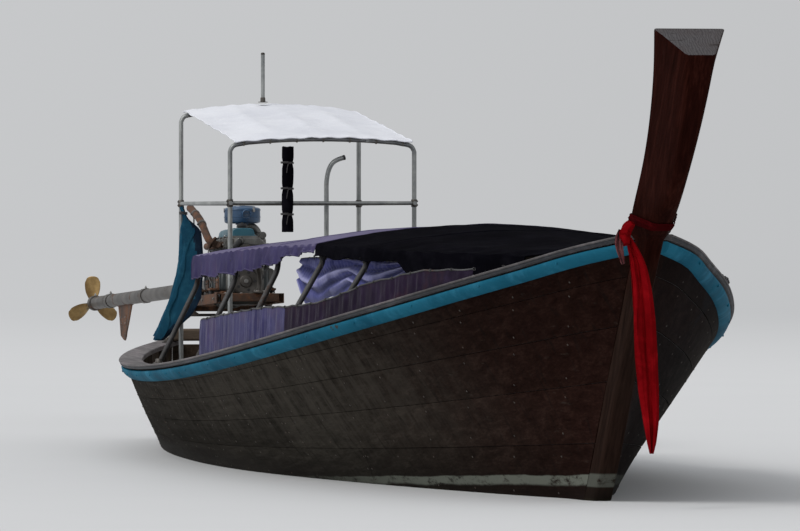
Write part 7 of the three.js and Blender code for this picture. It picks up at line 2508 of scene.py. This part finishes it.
def propeller():
    m = Mesh()
    o = V((-5.220, 0, SH))
    m.lathe([(0.048, 0.019), (0.048, 0.0345), (0.044, 0.036), (0.020, 0.0365), (-0.030, 0.0335), (-0.049, 0.0305), (-0.052, 0.029), (-0.052, 0.014)], o, (1, 0, 0), 36)
    # shaft end, washer and castle nut with split pin
    m.lathe([(0.190, 0.012), (0.190, 0.0188), (0.046, 0.0188)], o, (1, 0, 0), 28, mat=1)
    m.lathe([(0.052, 0.0245), (0.057, 0.0245)], o, (-1, 0, 0), 24, mat=1)
    m.lathe([(0.057, 0.0225), (0.070, 0.0225), (0.072, 0.0205)], o, (-1, 0, 0), 6, mat=1)
    m.lathe([(0.072, 0.0125), (0.082, 0.0120), (0.084, 0.0100)], o, (-1, 0, 0), 20, mat=1)
    m.tube([o + V((-0.077, 0, -0.019)), o + V((-0.077, 0, 0.019))], 0.0018, 8, mat=1)
    B = np.array([(0.024, 0.074, 62, 0.013), (0.070, 0.108, 44, 0.010), (0.125, 0.116, 31, 0.007), (0.168, 0.086, 24, 0.005), (0.190, 0.030, 22, 0.0035)])
    rs = np.concatenate([np.linspace(0.026, 0.165, 22), 0.165 + 0.0245 * np.sin(np.linspace(0.12, 1, 12) * math.pi / 2)])
    for k in range(3):
        rot = Matrix.Translation(o) @ Matrix.Rotation(2 * math.pi * k / 3, 4, "X")
        rows = []
        for r in rs:
            chord, pitch, th = spline(B[:, 0], B[:, 1:], np.array([r]))[0]
            if r > 0.165:
                u = (r - 0.165) / 0.0250
                c0 = spline(B[:, 0], B[:, 1], np.array([0.165]))[0]
                chord = c0 * math.sqrt(max(0.010, 1 - u * u))
                th = lerp(th, 0.002, u)
            a = math.radians(pitch)
            sec = []
            n = 22
            for q in range(n):
                w = 2 * math.pi * q / n
                c = 0.5 * math.cos(w)
                t = 0.5 * math.sin(w) * (0.55 + 0.45 * math.cos(w / 1.0) * 0.35 + 0.25)
                camber = 0.035 * (1 - (2 * c) ** 2)
                al, up = c * chord, t * th * 1.15 + camber * chord * 0.6
                sec.append(rot @ V((al * math.sin(a) + up * math.cos(a), al * math.cos(a) - up * math.sin(a), r)))
            rows.append(sec)
        m.grid(rows, closed=True)
        m.add(rows[0], [list(range(22))])
        m.add(rows[-1], [list(range(22))[::-1]])
    return drive_piece("screw_propeller", m, [M_BRASS, M_BRIGHT], ["propeller"], body="screw", angle=50)


propeller()


# ------------------------------------------------------------ stage, lights
SKY = (0.985, 1.0, 1.02)
SKY_EVEN, SKY_SIDE, SKY_UP = 0.610, -0.24, 0.12


def waterline():
    """Port half of the hull's outline on the water, bow to stern, just inside its skin."""
    ts = np.linspace(0.1, 11.5, 115)
    js = np.linspace(0, 8, 65)
    g = hull_rows(ts, js)
    out = []
    for row in g:
        z = row[:, 2]
        k = int(np.argmax(z >= 0))
        if k == 0:
            continue
        f = -z[k - 1] / (z[k] - z[k - 1])
        p = row[k - 1] + f * (row[k] - row[k - 1])
        out.append((float(p[0]), float(p[1]) - 0.012))
    return out


def stage():
    """Pale floor at the waterline, open where the hull floats in it, fading into the background far away."""
    side = waterline()
    loop = [(side[0][0] + 0.02, 0.0)] + side + [(side[-1][0] - 0.0, 0.0)] + [(x, -y) for x, y in side[::-1]]
    n = len(loop)
    cx, cy = -0.8, 0.0
    rings = [[(x, y) for x, y in loop]]
    for k, r in enumerate((0.12, 0.35, 0.8, 1.6, 3.0, 5.0, 8.0, 12.0, 18.0, 26.0, 38.0, 56.0, 85.0, 130.0, 200.0)):
        w = min(1.0, k / 8)
        ring = []
        for x, y in loop:
            a = math.atan2(y, (x - cx) * 0.35)
            d = math.hypot(x - cx, y)
            gx, gy = x + (x - cx) / d * r, y + y / d * r
            u = w * w * (3 - 2 * w)
            ring.append((lerp(gx, cx + (r + 6) * math.cos(a), u), lerp(gy, (r + 6) * math.sin(a), u)))
        rings.append(ring)
    pts = [(x, y, 0) for ring in rings for x, y in ring]
    faces = []
    for i in range(len(rings) - 1):
        for k in range(n):
            a, b = i * n + k, i * n + (k + 1) % n
            faces.append([a, b, b + n, a + n])
    me = bpy.data.meshes.new("floor")
    me.from_pydata(pts, [], faces)
    me.validate()
    ob = bpy.data.objects.new("studio_floor", me)
    bpy.context.scene.collection.objects.link(ob)
    m = Mat("floor_pale", rough=0.85, spec=0.1)
    m.color(m.mix(m.noise(0.6, 3, 0.5), (0.655, 0.66, 0.668), (0.675, 0.68, 0.688)))
    d = m.node("ShaderNodeVectorMath", operation="LENGTH")
    m.link(m.co, d.inputs[0])
    far = m.span(d.outputs["Value"], 18.0, 70.0)
    em = m.node("ShaderNodeEmission")
    em.inputs[0].default_value = (*SKY, 1)
    m.link(m.add(m.mul(m.math("DIVIDE", m.y, d.outputs["Value"]), SKY_SIDE), SKY_EVEN), em.inputs[1])
    mixs = m.node("ShaderNodeMixShader")
    m.link(far, mixs.inputs[0])
    m.nt.links.new(m.b.outputs[0], mixs.inputs[1])
    m.nt.links.new(em.outputs[0], mixs.inputs[2])
    m.nt.links.new(mixs.outputs[0], m.out.inputs[0])
    me.materials.append(m.m)


stage()


def sun(name, toward, strength, angle, color=(1, 1, 1)):
    """Broad, even light coming from a direction."""
    d = bpy.data.lights.new(name, "SUN")
    d.energy = strength
    d.angle = math.radians(angle)
    d.color = color
    o = bpy.data.objects.new(name, d)
    bpy.context.scene.collection.objects.link(o)
    o.location = V(toward) * 20
    o.rotation_euler = V(toward).to_track_quat("Z", "Y").to_euler()
    return o


sun("key", (0.40, -0.72, 0.90), 1.15, 24, (1.0, 0.985, 0.96))

world = bpy.data.worlds.new("studio")
bpy.context.scene.world = world
world.use_nodes = True
wt = world.node_tree
bg = wt.nodes["Background"]
bg.inputs[0].default_value = (*SKY, 1)
# the sky is a little brighter to starboard and overhead
split = wt.nodes.new("ShaderNodeSeparateXYZ")
wt.links.new(wt.nodes.new("ShaderNodeTexCoord").outputs["Generated"], split.inputs[0])
level = SKY_EVEN
for axis, gain in ((1, SKY_SIDE), (2, SKY_UP)):
    n = wt.nodes.new("ShaderNodeMath")
    n.operation = "MULTIPLY_ADD"
    wt.links.new(split.outputs[axis], n.inputs[0])
    n.inputs[1].default_value = gain
    if axis == 1:
        n.inputs[2].default_value = level
    else:
        wt.links.new(level, n.inputs[2])
    level = n.outputs[0]
wt.links.new(level, bg.inputs[1])
view = bpy.context.scene.view_settings
view.view_transform = "Standard"
view.look = "None"
view.exposure = 0.0
